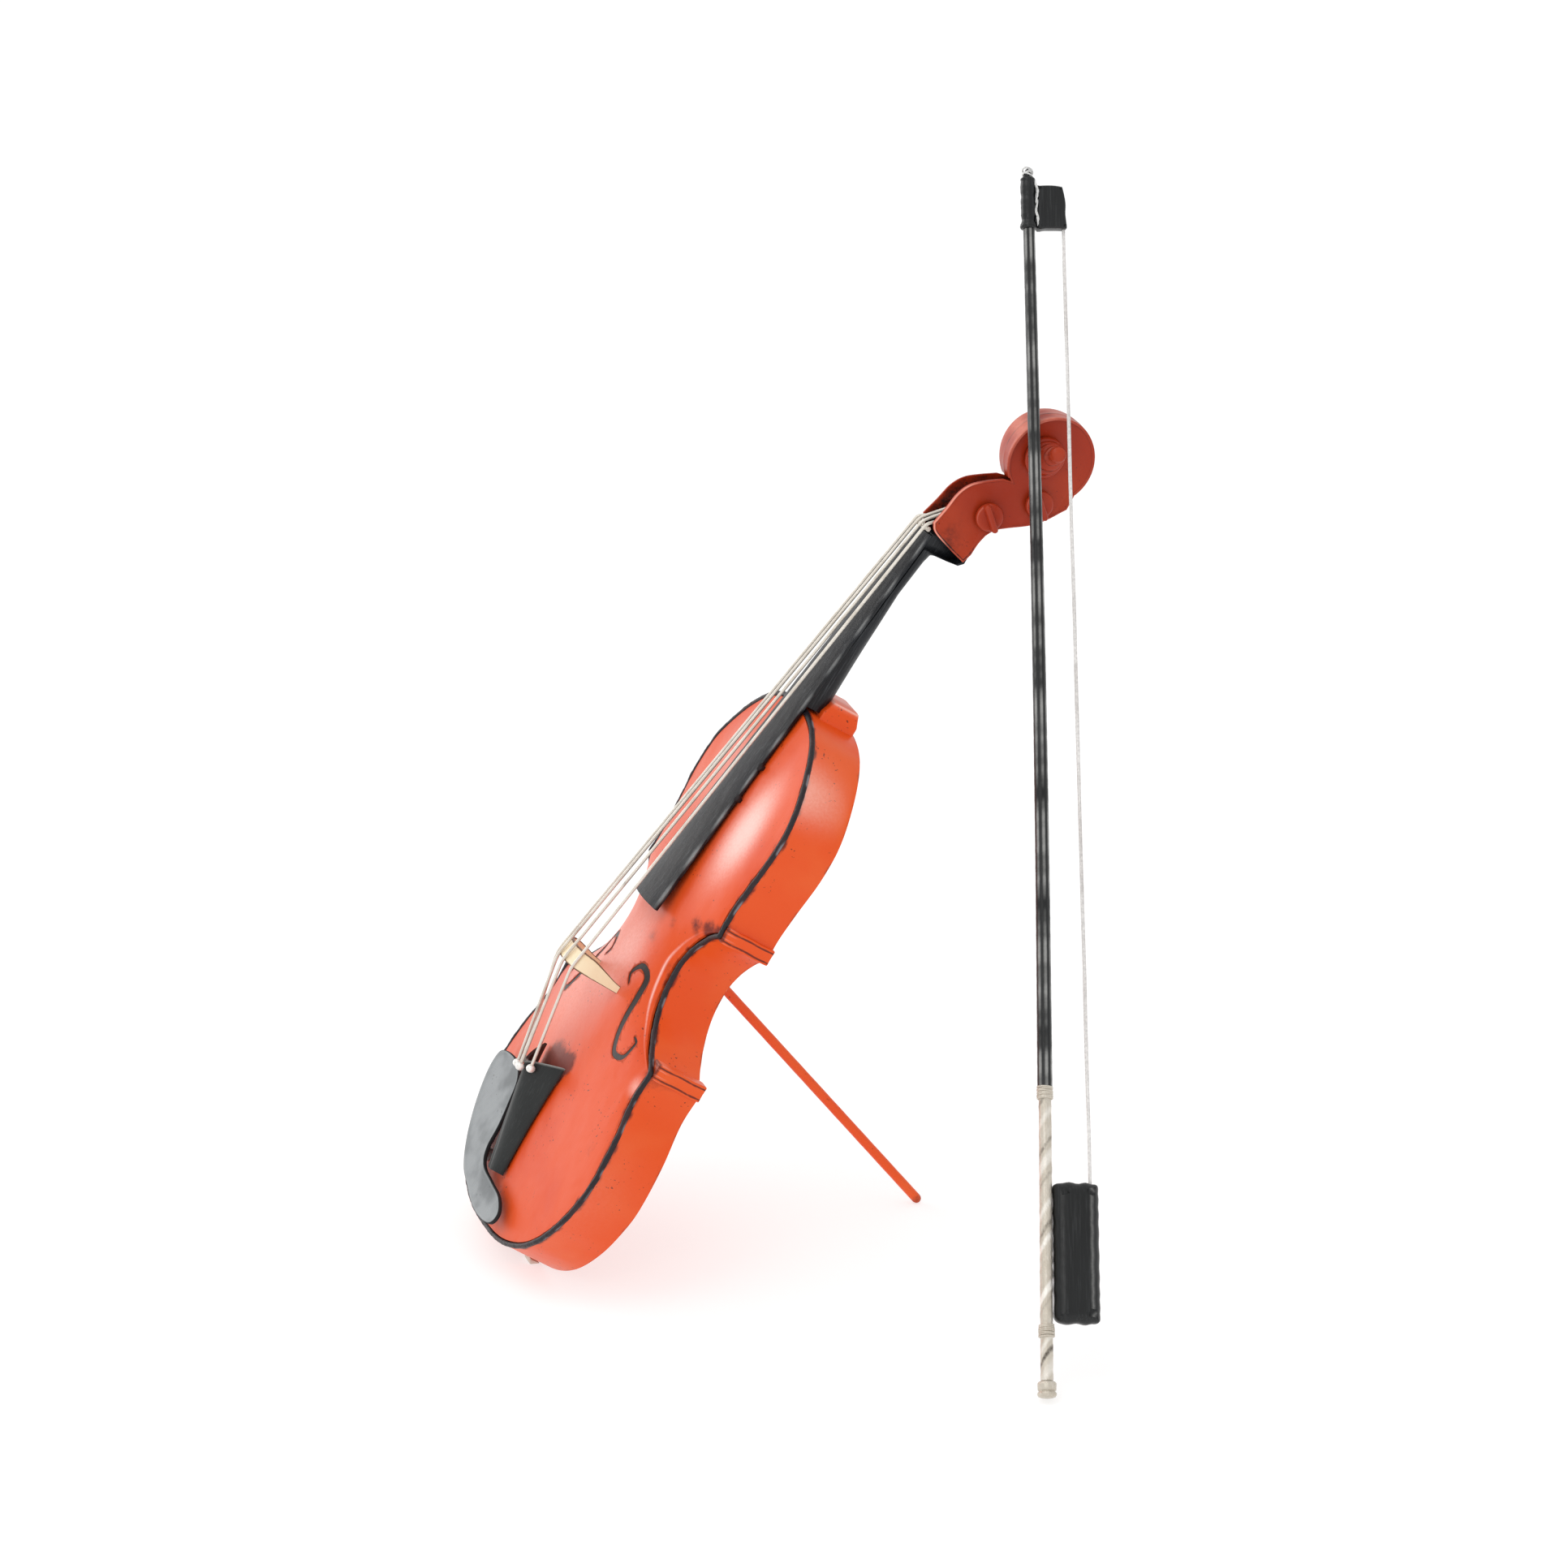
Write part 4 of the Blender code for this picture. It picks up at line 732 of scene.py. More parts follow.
@dataclass
class Body:
    """The sheet-metal body: front, back, side walls, corner strips, edge bead and heel."""

    axes: Axes
    length: float = 250.0
    lower_half: float = 73.8
    waist_half: float = 34.2
    upper_half: float = 57.4
    depth: float = 23.2
    sheet: float = 1.0
    front_arch: float = 9.0
    back_arch: float = 4.0
    bead: float = 1.15
    bead_proud: float = 0.4
    lower_strip: tuple[float, float] = (-2.2, 4.9)
    upper_strip: tuple[float, float] = (-1.7, 5.2)
    strip_proud: float = 1.2
    bridge_place: float = 112.0
    steps: int = 14

    def __post_init__(self) -> None:
        """Works out the outline and its two corners."""
        lower = [
            (0.0, 0.0), (0.366, 0.0084), (0.674, 0.0424), (0.875, 0.0984), (0.982, 0.164), (1.0, 0.211),
            (0.962, 0.278), (0.885, 0.345), (0.894, 0.3996),
        ]
        waist = [(1.526, 0.432), (1.155, 0.48), (1.0, 0.539), (1.095, 0.582), (1.33, 0.618)]
        upper = [
            (0.929, 0.636), (0.909, 0.674), (0.94, 0.724), (1.0, 0.8), (0.95, 0.868), (0.702, 0.9436),
            (0.404, 0.986), (0.0, 1.0),
        ]
        low = np.array(lower) * (self.lower_half, self.length)
        mid = np.array(waist) * (self.waist_half, self.length)
        top = np.array(upper) * (self.upper_half, self.length)
        low_line = smooth(np.vstack([low[1] * (-1, 1), low]), self.steps)[self.steps:]
        mid_line = smooth(np.vstack([low[-1], mid, top[0]]), self.steps)
        top_line = smooth(np.vstack([top, top[-2] * (-1, 1)]), self.steps)[:-self.steps]
        self.line = np.vstack([low_line, mid_line[1:], top_line[1:]])
        self.line[0, 0] = self.line[-1, 0] = 0.0
        self.low_tip, self.high_tip = low_line[-1], mid_line[-1]
        dense = np.linspace(0, self.length, 1200)
        half = np.interp(dense, self.line[:, 1], self.line[:, 0])
        kernel = np.exp(-0.5 * (np.linspace(-3, 3, 121)) ** 2)
        padded = np.concatenate([half[60:0:-1] * -1 + 2 * half[0], half, 2 * half[-1] - half[-2:-62:-1]])
        self.dense, self.soft_half = dense, np.convolve(padded, kernel / kernel.sum(), "valid")

    def loop(self, back: float) -> np.ndarray:
        """The whole outline as a loop, moved in by a distance."""
        right = inset(self.line, back)
        right[0, 0] = right[-1, 0] = 0.0
        left = right[-2:0:-1] * (-1, 1)
        return np.vstack([right, left])

    def arch(self, x: np.ndarray, y: np.ndarray, crown: float) -> np.ndarray:
        """Height of an arched plate above its edge."""
        along = 2 * y / self.length - 1
        fall = np.where(along > 0, along**2, np.abs(along) ** 3)
        half = np.interp(y, self.line[:, 1], self.line[:, 0])
        soft = np.maximum(np.interp(y, self.dense, self.soft_half), half * 0.9)
        rise = np.maximum(0.0, 1 - (np.abs(x) / np.maximum(soft, 1e-3)) ** 2.4)
        edge = np.clip((half - np.abs(x)) / 5.0, 0.0, 1.0)
        return crown * np.maximum(0.0, 1 - fall) * rise * (0.55 + 0.45 * np.sin(edge * math.pi / 2))

    def front(self, x: np.ndarray, y: np.ndarray) -> np.ndarray:
        """Outer face of the front."""
        return self.sheet / 2 + self.arch(x, y, self.front_arch)

    def sheet_rows(self, back: float) -> tuple[np.ndarray, np.ndarray]:
        """Rows of x and y places that cover a plate inside the outline.

        Args:
            back: How far the plate's edge lies inside the outline.

        Returns:
            The x and the y of each place, rows by columns.
        """
        line = inset(self.line, back)
        line[0], line[-1] = (0.01, back), (0.01, self.length - back)
        # Rows that would cross at the corners are left out.
        ahead = np.concatenate([[True], line[1:, 1] > np.maximum.accumulate(line[:, 1])[:-1] + 0.05])
        line = line[ahead]
        shares = np.sin(np.linspace(-math.pi / 2, math.pi / 2, 71))
        x = line[:, :1] * shares[None, :]
        return x, np.broadcast_to(line[:, 1:2], x.shape)

    def smudge_and_shadow(self, x: np.ndarray, y: np.ndarray) -> np.ndarray:
        """Where the front is darkened: patches of old dark lacquer, a painted shadow under the tailpiece's
        upper edge, and a band along the edge; (place, spread, depth) for each patch.
        """
        # The three deepest patches, at y 72 to 77, are a painted shadow under the tailpiece's upper edge; the
        # others are old dark lacquer.
        patches = [
            (64, 99, 4, 0.5), (-64, 99, 5, 0.9), (52, 159, 5, 1.2), (-52, 159, 6, 1.2), (45, 158, 5, 0.9),
            (37, 156, 5, 0.7), (4, 73, 7, 2.6), (-6, 72, 8, 2.4), (10, 77, 5, 2.0), (14, 140, 6, 0.4),
            (-30, 118, 9, 0.5), (60, 60, 7, 0.3), (22, 150, 6, 0.35), (-58, 40, 8, 0.5),
            (31, 134, 5, 0.35), (70, 82, 5, 0.5),
        ]
        total = np.zeros_like(x)
        for px, py, spread, depth in patches:
            far = (x - px) ** 2 + (y - py) ** 2
            total = np.maximum(total, depth * np.exp(-far / (2 * (spread * 0.6) ** 2)))
        half = np.interp(y, self.line[:, 1], self.line[:, 0])
        rim = np.clip(1 - (half - np.abs(x) - 2.0) / 2.4, 0, 1)
        return np.maximum(total, rim * (0.35 + 0.3 * ripple(y + 3 * x, 21.0, 5)))

    def build_front(self) -> None:
        """The arched front with its two sound holes, and a dark sheet just behind them that paints the shade
        inside the body.
        """
        x, y = self.sheet_rows(2 * self.bead - self.bead_proud + 0.15)
        z = self.front(x, y) + 0.07 * ripple(x + 0.6 * y, 34.0, 11) * (np.abs(x) < 60)
        half = np.interp(y, self.line[:, 1], self.line[:, 0])
        # A painted highlight along the channel about 5 mm inside the edge at the waist.
        crease = 0.8 * np.exp(-(((half - np.abs(x)) - 5.2) / 0.7) ** 2) * np.exp(-((y - 128) / 22.0) ** 2)
        # Painted highlights: place, spread across and along, and strength.
        rub_and_highlight = (
            (-26, 112, 34.0, 50.0, 0.5), (6, 128, 16.0, 22.0, 0.3), (31, 198, 12.0, 25.0, 0.85),
            (-22, 212, 25.0, 32.0, 0.4), (62, 91, 4.0, 5.0, 0.5),
        )
        pale = sum(
            strength * np.exp(-((x - px) / wide) ** 2) * np.exp(-((y - py) / tall) ** 2)
            for px, py, wide, tall, strength in rub_and_highlight
        )
        # The painted highlights go into the lightening mark.
        crease = np.maximum(crease, pale)
        top, low = np.stack([x, y, z], axis=2), np.stack([x, y, z - self.sheet], axis=2)
        form = Form(self.axes)
        form.shell(top, low, grime=self.smudge_and_shadow(x, y), worn=crease)
        shell = form.piece("front_shell", Rider.VIOLIN, FRONT_ORANGE, "front_plate", crease=50.0)
        cutters = [self.sound_hole(side) for side in (1, -1)]
        for cutter in cutters:
            cut = shell.modifiers.new("sound_hole", "BOOLEAN")
            cut.operation, cut.solver, cut.object = "DIFFERENCE", "EXACT", cutter
        bpy.context.view_layer.update()
        evaluated = shell.evaluated_get(bpy.context.evaluated_depsgraph_get())
        opened = bpy.data.meshes.new_from_object(evaluated)
        shell.modifiers.clear()
        shell.data = opened
        opened.set_sharp_from_angle(angle=math.radians(50.0))
        LOG.info("front with its sound holes: %d faces", len(opened.polygons))
        for cutter in cutters:
            bpy.data.objects.remove(cutter, do_unlink=True)
        # A dark sheet just under each sound hole stands in for the shade inside the hollow body.
        shade_sheet = Form(self.axes)
        for side in (1, -1):
            rims = [edge * (side, 1) for edge in self.sound_hole_rims(0.03)]
            flat = np.stack(rims, axis=1)
            height = self.front(flat[..., 0], flat[..., 1])
            levels = [np.concatenate([flat, (height - deep)[..., None]], axis=2) for deep in (0.2, 1.4)]
            shade_sheet.shell(levels[0], levels[1], grime=1.0)
        shade_sheet.piece("sound_hole_painted_shade", Rider.VIOLIN, STICK_BLACK)

    def sound_hole_rims(self, back: float) -> tuple[np.ndarray, np.ndarray]:
        """The two long rims of the treble sound hole, moved in by a distance."""
        middle = self.bridge_place
        centre = smooth(
            [
                (17.9, middle + 6.8), (14.9, middle + 11.0), (19.0, middle + 16.0), (25.2, middle + 13.8),
                (27.6, middle + 6.0), (30.0, middle - 3.0), (33.5, middle - 11.0), (38.5, middle - 17.0),
                (45.5, middle - 15.5), (46.5, middle - 8.5), (42.8, middle - 6.5),
            ], 10,
        )
        share = np.linspace(0, 1, len(centre))
        half = 0.4 + 1.25 * np.sin(math.pi * share**0.85) ** 0.9 - back
        run = np.gradient(centre, axis=0)
        run /= np.linalg.norm(run, axis=1)[:, None]
        normal = np.stack([-run[:, 1], run[:, 0]], axis=1)
        return centre + normal * half[:, None], centre - normal * half[:, None]

    def sound_hole(self, side: int) -> bpy.types.Object:
        """A solid in the shape of one sound hole: an S with thin, curled ends."""
        first, second = self.sound_hole_rims(0.0)
        edges = np.vstack([first, second[::-1]]) * (side, 1)
        rows = [np.column_stack([edges, np.full(len(edges), z)]) for z in (-1.0, 14.0)]
        form = Form(self.axes)
        form.grid(np.array(rows), rings=True, ends=True)
        mesh = bpy.data.meshes.new("sound_hole")
        mesh.from_pydata(self.axes.world(np.concatenate(form.points)).tolist(), [], form.faces)
        work = bmesh.new()
        work.from_mesh(mesh)
        bmesh.ops.recalc_face_normals(work, faces=work.faces)
        work.to_mesh(mesh)
        work.free()
        cutter = bpy.data.objects.new("sound_hole", mesh)
        bpy.context.scene.collection.objects.link(cutter)
        return cutter

    def build_back(self) -> None:
        """The shallow arched back, with its edge rolled over."""
        x, y = self.sheet_rows(0.15)
        half = np.interp(y, self.line[:, 1], self.line[:, 0])
        edge = np.clip((half - np.abs(x)) / 1.2, 0.0, 1.0)
        z = -self.depth - self.arch(x, y, self.back_arch) + 0.35 * (1 - edge) ** 2
        z = z + 0.08 * ripple(x - 0.7 * y, 31.0, 17)
        grime = 0.7 * np.clip(1 - (half - np.abs(x)) / 2.5, 0, 1) * (0.6 + 0.4 * ripple(y + 2 * x, 19.0, 3))
        form = Form(self.axes)
        form.shell(np.stack([x, y, z], axis=2), np.stack([x, y, z + self.sheet], axis=2), grime=grime)
        form.piece("back_shell", Rider.VIOLIN, ORANGE, "back_plate", crease=60.0)

    def build_bead(self) -> None:
        """The black edge bead, ragged where its lacquer was wiped, with a painted highlight along one side of
        the wiped stretches.
        """
        line = self.loop(self.bead - self.bead_proud)
        gaps = np.linalg.norm(np.roll(line, -1, axis=0) - line, axis=1)
        along = np.concatenate([[0.0], np.cumsum(gaps)[:-1]])
        total = float(gaps.sum())
        places = np.linspace(0, total, 1500, endpoint=False)
        closed = np.vstack([line, line[:1]])
        ends = np.append(along, total)
        x, y = np.interp(places, ends, closed[:, 0]), np.interp(places, ends, closed[:, 1])
        path = np.column_stack([x, y, 0.12 * ripple(places, 23.0, 4)])
        radii = self.bead * (1.0 + 0.07 * ripple(places, 9.0, 2, 4))
        around = np.linspace(0, 2 * math.pi, 14, endpoint=False)
        wiped = np.clip(1.4 * ripple(places, 31.0, 7, 4) - 0.2, 0, 1)
        # The wiped stretches are lightened on one side only: worn lacquer, with a painted highlight.
        worn = wiped[:, None] * np.clip(np.cos(around - 1.0), 0, 1)[None, :] ** 6
        form = Form(self.axes)
        form.tube(path, radii, 14, loop=True, worn=worn * 1.1)
        form.piece("edge_bead_rope", Rider.VIOLIN, EDGE_BLACK, "edge_bead", crease=180.0)

    def build_ribs(self) -> None:
        """The six side walls, a little uneven as hand-bent sheet is."""
        stretches = {
            "lower": (0.0, self.low_tip[1]), "waist": (self.low_tip[1], self.high_tip[1]),
            "upper": (self.high_tip[1], self.length),
        }
        for side, word in ((1, "treble"), (-1, "bass")):
            for place, (low, high) in stretches.items():
                keep = (self.line[:, 1] >= low - 1e-6) & (self.line[:, 1] <= high + 1e-6)
                line = self.line[keep]
                levels = np.linspace(-0.9, -self.depth + 0.25, 15)
                share = np.linspace(0, 1, 15)
                along = np.concatenate([[0.0], np.cumsum(np.linalg.norm(np.diff(line, axis=0), axis=1))])
                dent = 0.16 * ripple(along, 37.0, 21, 3)[:, None] * np.sin(math.pi * share)[None, :]
                run = np.gradient(line, axis=0)
                run /= np.linalg.norm(run, axis=1)[:, None]
                out = np.stack([run[:, 1], -run[:, 0]], axis=1)
                outer = line[:, None, :] + out[:, None, :] * (dent - 0.02)[:, :, None]
                inner = line[:, None, :] - out[:, None, :] * self.sheet
                inner = np.broadcast_to(inner, outer.shape)
                depth = np.broadcast_to(levels[None, :, None], outer.shape[:2] + (1,))
                turn = np.array((side, 1.0, 1.0))
                edge = np.exp(-share / 0.05)[None, :] + 0.6 * np.exp(-(1 - share) / 0.04)[None, :]
                ends = np.minimum(along, along[-1] - along)[:, None] if place == "waist" else np.abs(
                    line[:, 1] - (high if place == "lower" else low)
                )[:, None]
                near_top = 0.25 + 0.75 * np.exp(-share / 0.3)[None, :]
                corner = np.exp(-np.maximum(ends - 3.0, 0) / 5.0) * near_top
                grime = np.maximum(edge * (0.5 + 0.4 * ripple(along, 26.0, 9)[:, None]), corner * 0.62)
                # Painted highlights: a pale patch near the heel, and lighter paint towards the lower end.
                pale = 0.55 * np.exp(-((line[:, 1] - 226) / 13.0) ** 2)[:, None] * (1 - share)[None, :] ** 0.5
                lower_painted_light = 0.22 * np.exp(-((line[:, 1] - 40) / 40.0) ** 2)[:, None]
                pale = pale + lower_painted_light * (1 - 0.5 * share)[None, :]
                form = Form(self.axes)
                form.shell(
                    np.concatenate([outer, depth], axis=2) * turn,
                    np.concatenate([inner, depth], axis=2) * turn, grime=grime, worn=pale,
                )
                name = f"{place}_rib_{word}"
                form.piece(name + "_wall", Rider.VIOLIN, ORANGE, name, crease=50.0)

    def build_strips(self) -> None:
        """The folded strips over the four corners."""
        for side, word in ((1, "treble"), (-1, "bass")):
            for place, tip, reach in (
                ("lower", self.low_tip, self.lower_strip), ("upper", self.high_tip, self.upper_strip)
            ):
                low, high = tip[1] + reach[0], tip[1] + reach[1]
                outer = tip[0] + self.strip_proud
                middle, wide = (low + high) / 2, high - low
                back = 7.5
                outline = divided(rounded_box(wide, back, 0.7, 4), 0.35)
                # The strip's face is a shallow channel between its two folded edges.
                face = outline[:, 1] > back / 2 - 0.8
                outline[face, 1] -= 0.28 * np.cos(outline[face, 0] / wide * math.pi) ** 2
                turned = np.column_stack([outer - back / 2 + outline[:, 1], middle - outline[:, 0]])
                walls = np.linspace(-2.2, -self.depth + 0.8, 9)
                levels = np.concatenate([[-0.7, -0.9, -1.3], walls, [-self.depth - 0.1, -self.depth - 0.35]])
                draw = np.array([0.8, 0.25, 0.0] + [0.0] * 9 + [0.1, 0.6])
                rows, grime, worn = [], [], []
                for level, back_by in zip(levels, draw):
                    ring = inset(turned, back_by, closed=True)
                    ring = ring + (0.12 * math.sin(level * 0.7), 0.1 * math.sin(level * 0.5 + 1))
                    rows.append(np.column_stack([ring, np.full(len(ring), level)]) * (side, 1, 1))
                    near = np.abs(np.abs(turned[:, 1] - middle) - (wide / 2 - 1.2))
                    seam = 1.3 * np.exp(-((near / 0.45) ** 2)) * (turned[:, 0] > outer - 1.0)
                    top = math.exp(-abs(level + 1.0) / 0.9)
                    grime.append(np.maximum(seam * 0.75, top * 0.8))
                    # A painted highlight along each ridge beside the seams, fading down the wall.
                    fade = math.exp(-abs(level + 3.2) / 2.5)
                    worn.append(0.55 * np.exp(-((near - 1.1) / 0.35) ** 2) * fade)
                form = Form(self.axes)
                form.grid(np.array(rows), rings=True, ends=True, grime=np.array(grime), worn=np.array(worn))
                name = f"{place}_corner_strip_{word}"
                form.piece(name + "_folded", Rider.VIOLIN, ORANGE, name, crease=45.0)

    def build_heel(self) -> None:
        """The tapered heel block behind the neck, with a painted highlight near its upper end."""
        start, end = self.length - 0.4, self.length + 8.0
        rows, worn, grime = [], [], []
        for share in (0.0, 0.03, 0.1, 0.35, 0.6, 0.85, 0.95, 1.0):
            y = start + (end - start) * share
            half = 13.0 + (9.6 - 13.0) * share
            front = -4.0 + (-8.8 + 4.0) * share
            back = -23.0 + (-20.6 + 23.0) * share
            draw = 0.5 if share == 1.0 else 0.0
            ring = rounded_box(2 * (half - draw), front - back - 2 * draw, 1.1, 4)
            body_end = np.interp(np.abs(ring[:, 0]), self.line[::-1, 0], self.line[::-1, 1])
            lift = np.where(share < 0.3, np.minimum(0.0, body_end - self.length) * (1 - share / 0.3), 0.0)
            rows.append(np.column_stack([ring[:, 0], y + lift, (front + back) / 2 + ring[:, 1]]))
            # A painted highlight near the upper end.
            worn.append(np.full(len(ring), 0.9 * math.exp(-((share - 0.93) / 0.07) ** 2)))
            grime.append(np.full(len(ring), 0.9 * math.exp(-((share - 0.04) / 0.05) ** 2)))
        form = Form(self.axes)
        form.grid(np.array(rows), rings=True, ends=True, worn=np.array(worn), grime=np.array(grime))
        form.piece("neck_heel_block", Rider.VIOLIN, ORANGE, "neck_heel", crease=50.0)

    def build(self) -> None:
        """Builds the whole body."""
        self.build_front()
        self.build_back()
        self.build_bead()
        self.build_ribs()
        self.build_strips()
        self.build_heel()


# ---------------------------------------------------------------------------------------------
# Neck and board
# ---------------------------------------------------------------------------------------------


@dataclass
class Neck:
    """The neck, the fingerboard with its tacks, and the wire nut."""

    axes: Axes
    body: Body
    neck_length: float = 87.0
    overhang: float = 100.0
    lower_half: float = 14.8
    nut_half: float = 8.0
    lower_crown: float = 16.0
    nut_crown: float = -5.5
    board_edge: float = 1.5

    def nut_place(self) -> float:
        """Where the board ends at the nut."""
        return self.body.length + self.neck_length

    def share(self, y: Any) -> Any:
        """How far along the board a place is."""
        low = self.body.length - self.overhang
        return (y - low) / (self.nut_place() - low)

    def half(self, y: Any) -> Any:
        """Half the board's width."""
        return self.lower_half + (self.nut_half - self.lower_half) * self.share(y)

    def crown(self, y: Any) -> Any:
        """Height of the board's middle."""
        return self.lower_crown + (self.nut_crown - self.lower_crown) * self.share(y)

    def sagitta(self, y: Any) -> Any:
        """How far the board's edge lies below its middle."""
        return self.half(y) * 0.14

    def underside(self, y: Any) -> Any:
        """Height of the board's underside."""
        return self.crown(y) - self.sagitta(y) - self.board_edge

    def build_board(self) -> None:
        """The fingerboard, with painted highlights along its treble edge and on its top near its lower end.
        """
        places = np.linspace(self.body.length - self.overhang, self.nut_place() - 1.6, 90)
        rows, worn = [], []
        across = np.linspace(1, -1, 25)
        for y in places:
            half, crown, sag, under = self.half(y), self.crown(y), self.sagitta(y), self.underside(y)
            top = np.column_stack([half * across, crown - sag * across**2])
            corner = np.array([
                (-half, under + 0.4), (-half + 0.4, under), (half - 0.4, under), (half, under + 0.4),
            ])
            ring = np.vstack([top, corner])
            wave = 0.06 * ripple(np.full(len(ring), y) + ring[:, 0] * 3, 17.0, 31)
            rows.append(np.column_stack([ring[:, 0], np.full(len(ring), y), ring[:, 1] + wave]))
            # Painted highlights: along the treble edge, and on the top near the lower end.
            board_highlight = np.zeros(len(ring))
            board_highlight[:2] = 0.3 + 0.3 * math.sin(y * 0.33)
            board_highlight[:25] += 0.16 * math.exp(-((y - 175) / 24.0) ** 2)
            worn.append(np.clip(board_highlight, 0, 1))
        form = Form(self.axes)
        form.grid(np.array(rows), rings=True, ends=True, worn=np.array(worn))
        form.piece("fingerboard_plate", Rider.VIOLIN, BLACK, "fingerboard", crease=45.0)

    def build_neck(self) -> None:
        """The rounded neck, and the block that closes the foot of the pegbox."""
        start, nut = self.body.length + 1.0, self.nut_place()
        block = nut - 7.7
        upper = [(start, self.underside(start) - 0.2), (nut - 1.0, self.underside(nut) - 0.3)]
        lower = [
            (start, -9.7), (start + 7.6, -9.9), (start + 30.0, -9.9), (start + 57.0, -10.2),
            (block - 5.0, -12.4), (block - 1.2, -13.6), (block - 0.4, -17.0), (block, -24.2),
            (block + 1.4, -25.6),
            (nut - 5.4, -26.6), (nut - 1.0, -26.4),
        ]
        shaft, foot = np.linspace(start, block - 5.0, 60), np.linspace(block - 4.6, nut - 1.0, 26)
        places = np.concatenate([shaft, foot])
        rows = []
        for y in places:
            top = np.interp(y, [p[0] for p in upper], [p[1] for p in upper])
            low = np.interp(y, [p[0] for p in lower], [p[1] for p in lower])
            half = min(self.half(y), self.nut_half + 1.6) * 0.97
            angles = np.linspace(0, math.pi, 19)
            # Below the board the section is a U: straight at the top and round underneath.
            round_low = np.column_stack([half * np.cos(angles), -np.sin(angles) ** 0.8])
            depth = top - low
            bend = min(depth, half * 0.9) if y < block else min(depth, 1.6)
            wall = np.where(np.sin(angles) > 0.0, 1.0, 0.0)[:, None]
            ring = np.column_stack([round_low[:, 0], (low + bend) + round_low[:, 1] * bend])
            if y >= block:
                square = np.sign(np.cos(angles)) * np.minimum(1.0, np.abs(np.cos(angles)) * 3.5)
                half = self.nut_half - 1.35
                ring[:, 0] = half * square * wall[:, 0]
            ring = np.vstack([[half, top], ring, [-half, top]])
            rows.append(np.column_stack([ring[:, 0], np.full(len(ring), y), ring[:, 1]]))
        form = Form(self.axes)
        form.grid(np.array(rows), rings=True, ends=True)
        form.piece("neck_shaft", Rider.VIOLIN, BLACK, "neck", crease=50.0)

    def build_tacks(self) -> None:
        """Two rough blobs on the board's treble edge."""
        for index, back in enumerate((29.0, 44.5)):
            y = self.body.length - back
            centre = np.array((self.half(y) + 0.25, y, self.underside(y) + 0.9))
            rows = []
            for along, radius in ((-0.6, 0.5), (-0.3, 1.5), (0.2, 1.75), (0.7, 1.45), (1.0, 0.8), (1.1, 0.2)):
                angles = np.linspace(0, 2 * math.pi, 20, endpoint=False)
                uneven = radius * (1 + 0.16 * np.sin(3 * angles + index))
                rows.append(np.column_stack([
                    np.full(20, centre[0] + along), centre[1] + uneven * np.cos(angles),
                    centre[2] + uneven * np.sin(angles),
                ]))
            form = Form(self.axes)
            form.grid(np.array(rows), rings=True, ends=True, grime=0.6)
            form.piece(f"board_tack_{index + 1}_blob", Rider.VIOLIN, EDGE_BLACK, f"board_tack_{index + 1}")

    def build_nut(self) -> None:
        """The wire nut at the head of the board, with the wire's tail turned back over it."""
        nut = self.nut_place()
        s = np.linspace(-1, 1, 30)
        x = s * (self.nut_half - 1.8)
        z = self.nut_crown + 0.7 - self.sagitta(nut) * 0.6 * s * s
        form = Form(self.axes)
        form.tube(np.column_stack([x, nut + 0.15 * np.sin(x), z]), 1.0 + 0.08 * ripple(x, 3.0, 8), 16)
        second = np.column_stack([x * 0.95, nut - 0.9 + 0.5 * s, z + 0.9 + 0.2 * np.cos(3 * s)])
        form.tube(second, 0.42, 12)
        form.piece("nut_wire", Rider.VIOLIN, WIRE, "nut", crease=60.0)

    def build(self) -> None:
        """Builds the neck and what is on it."""
        self.build_board()
        self.build_neck()
        self.build_tacks()
        self.build_nut()


# ---------------------------------------------------------------------------------------------
# Head
# ---------------------------------------------------------------------------------------------


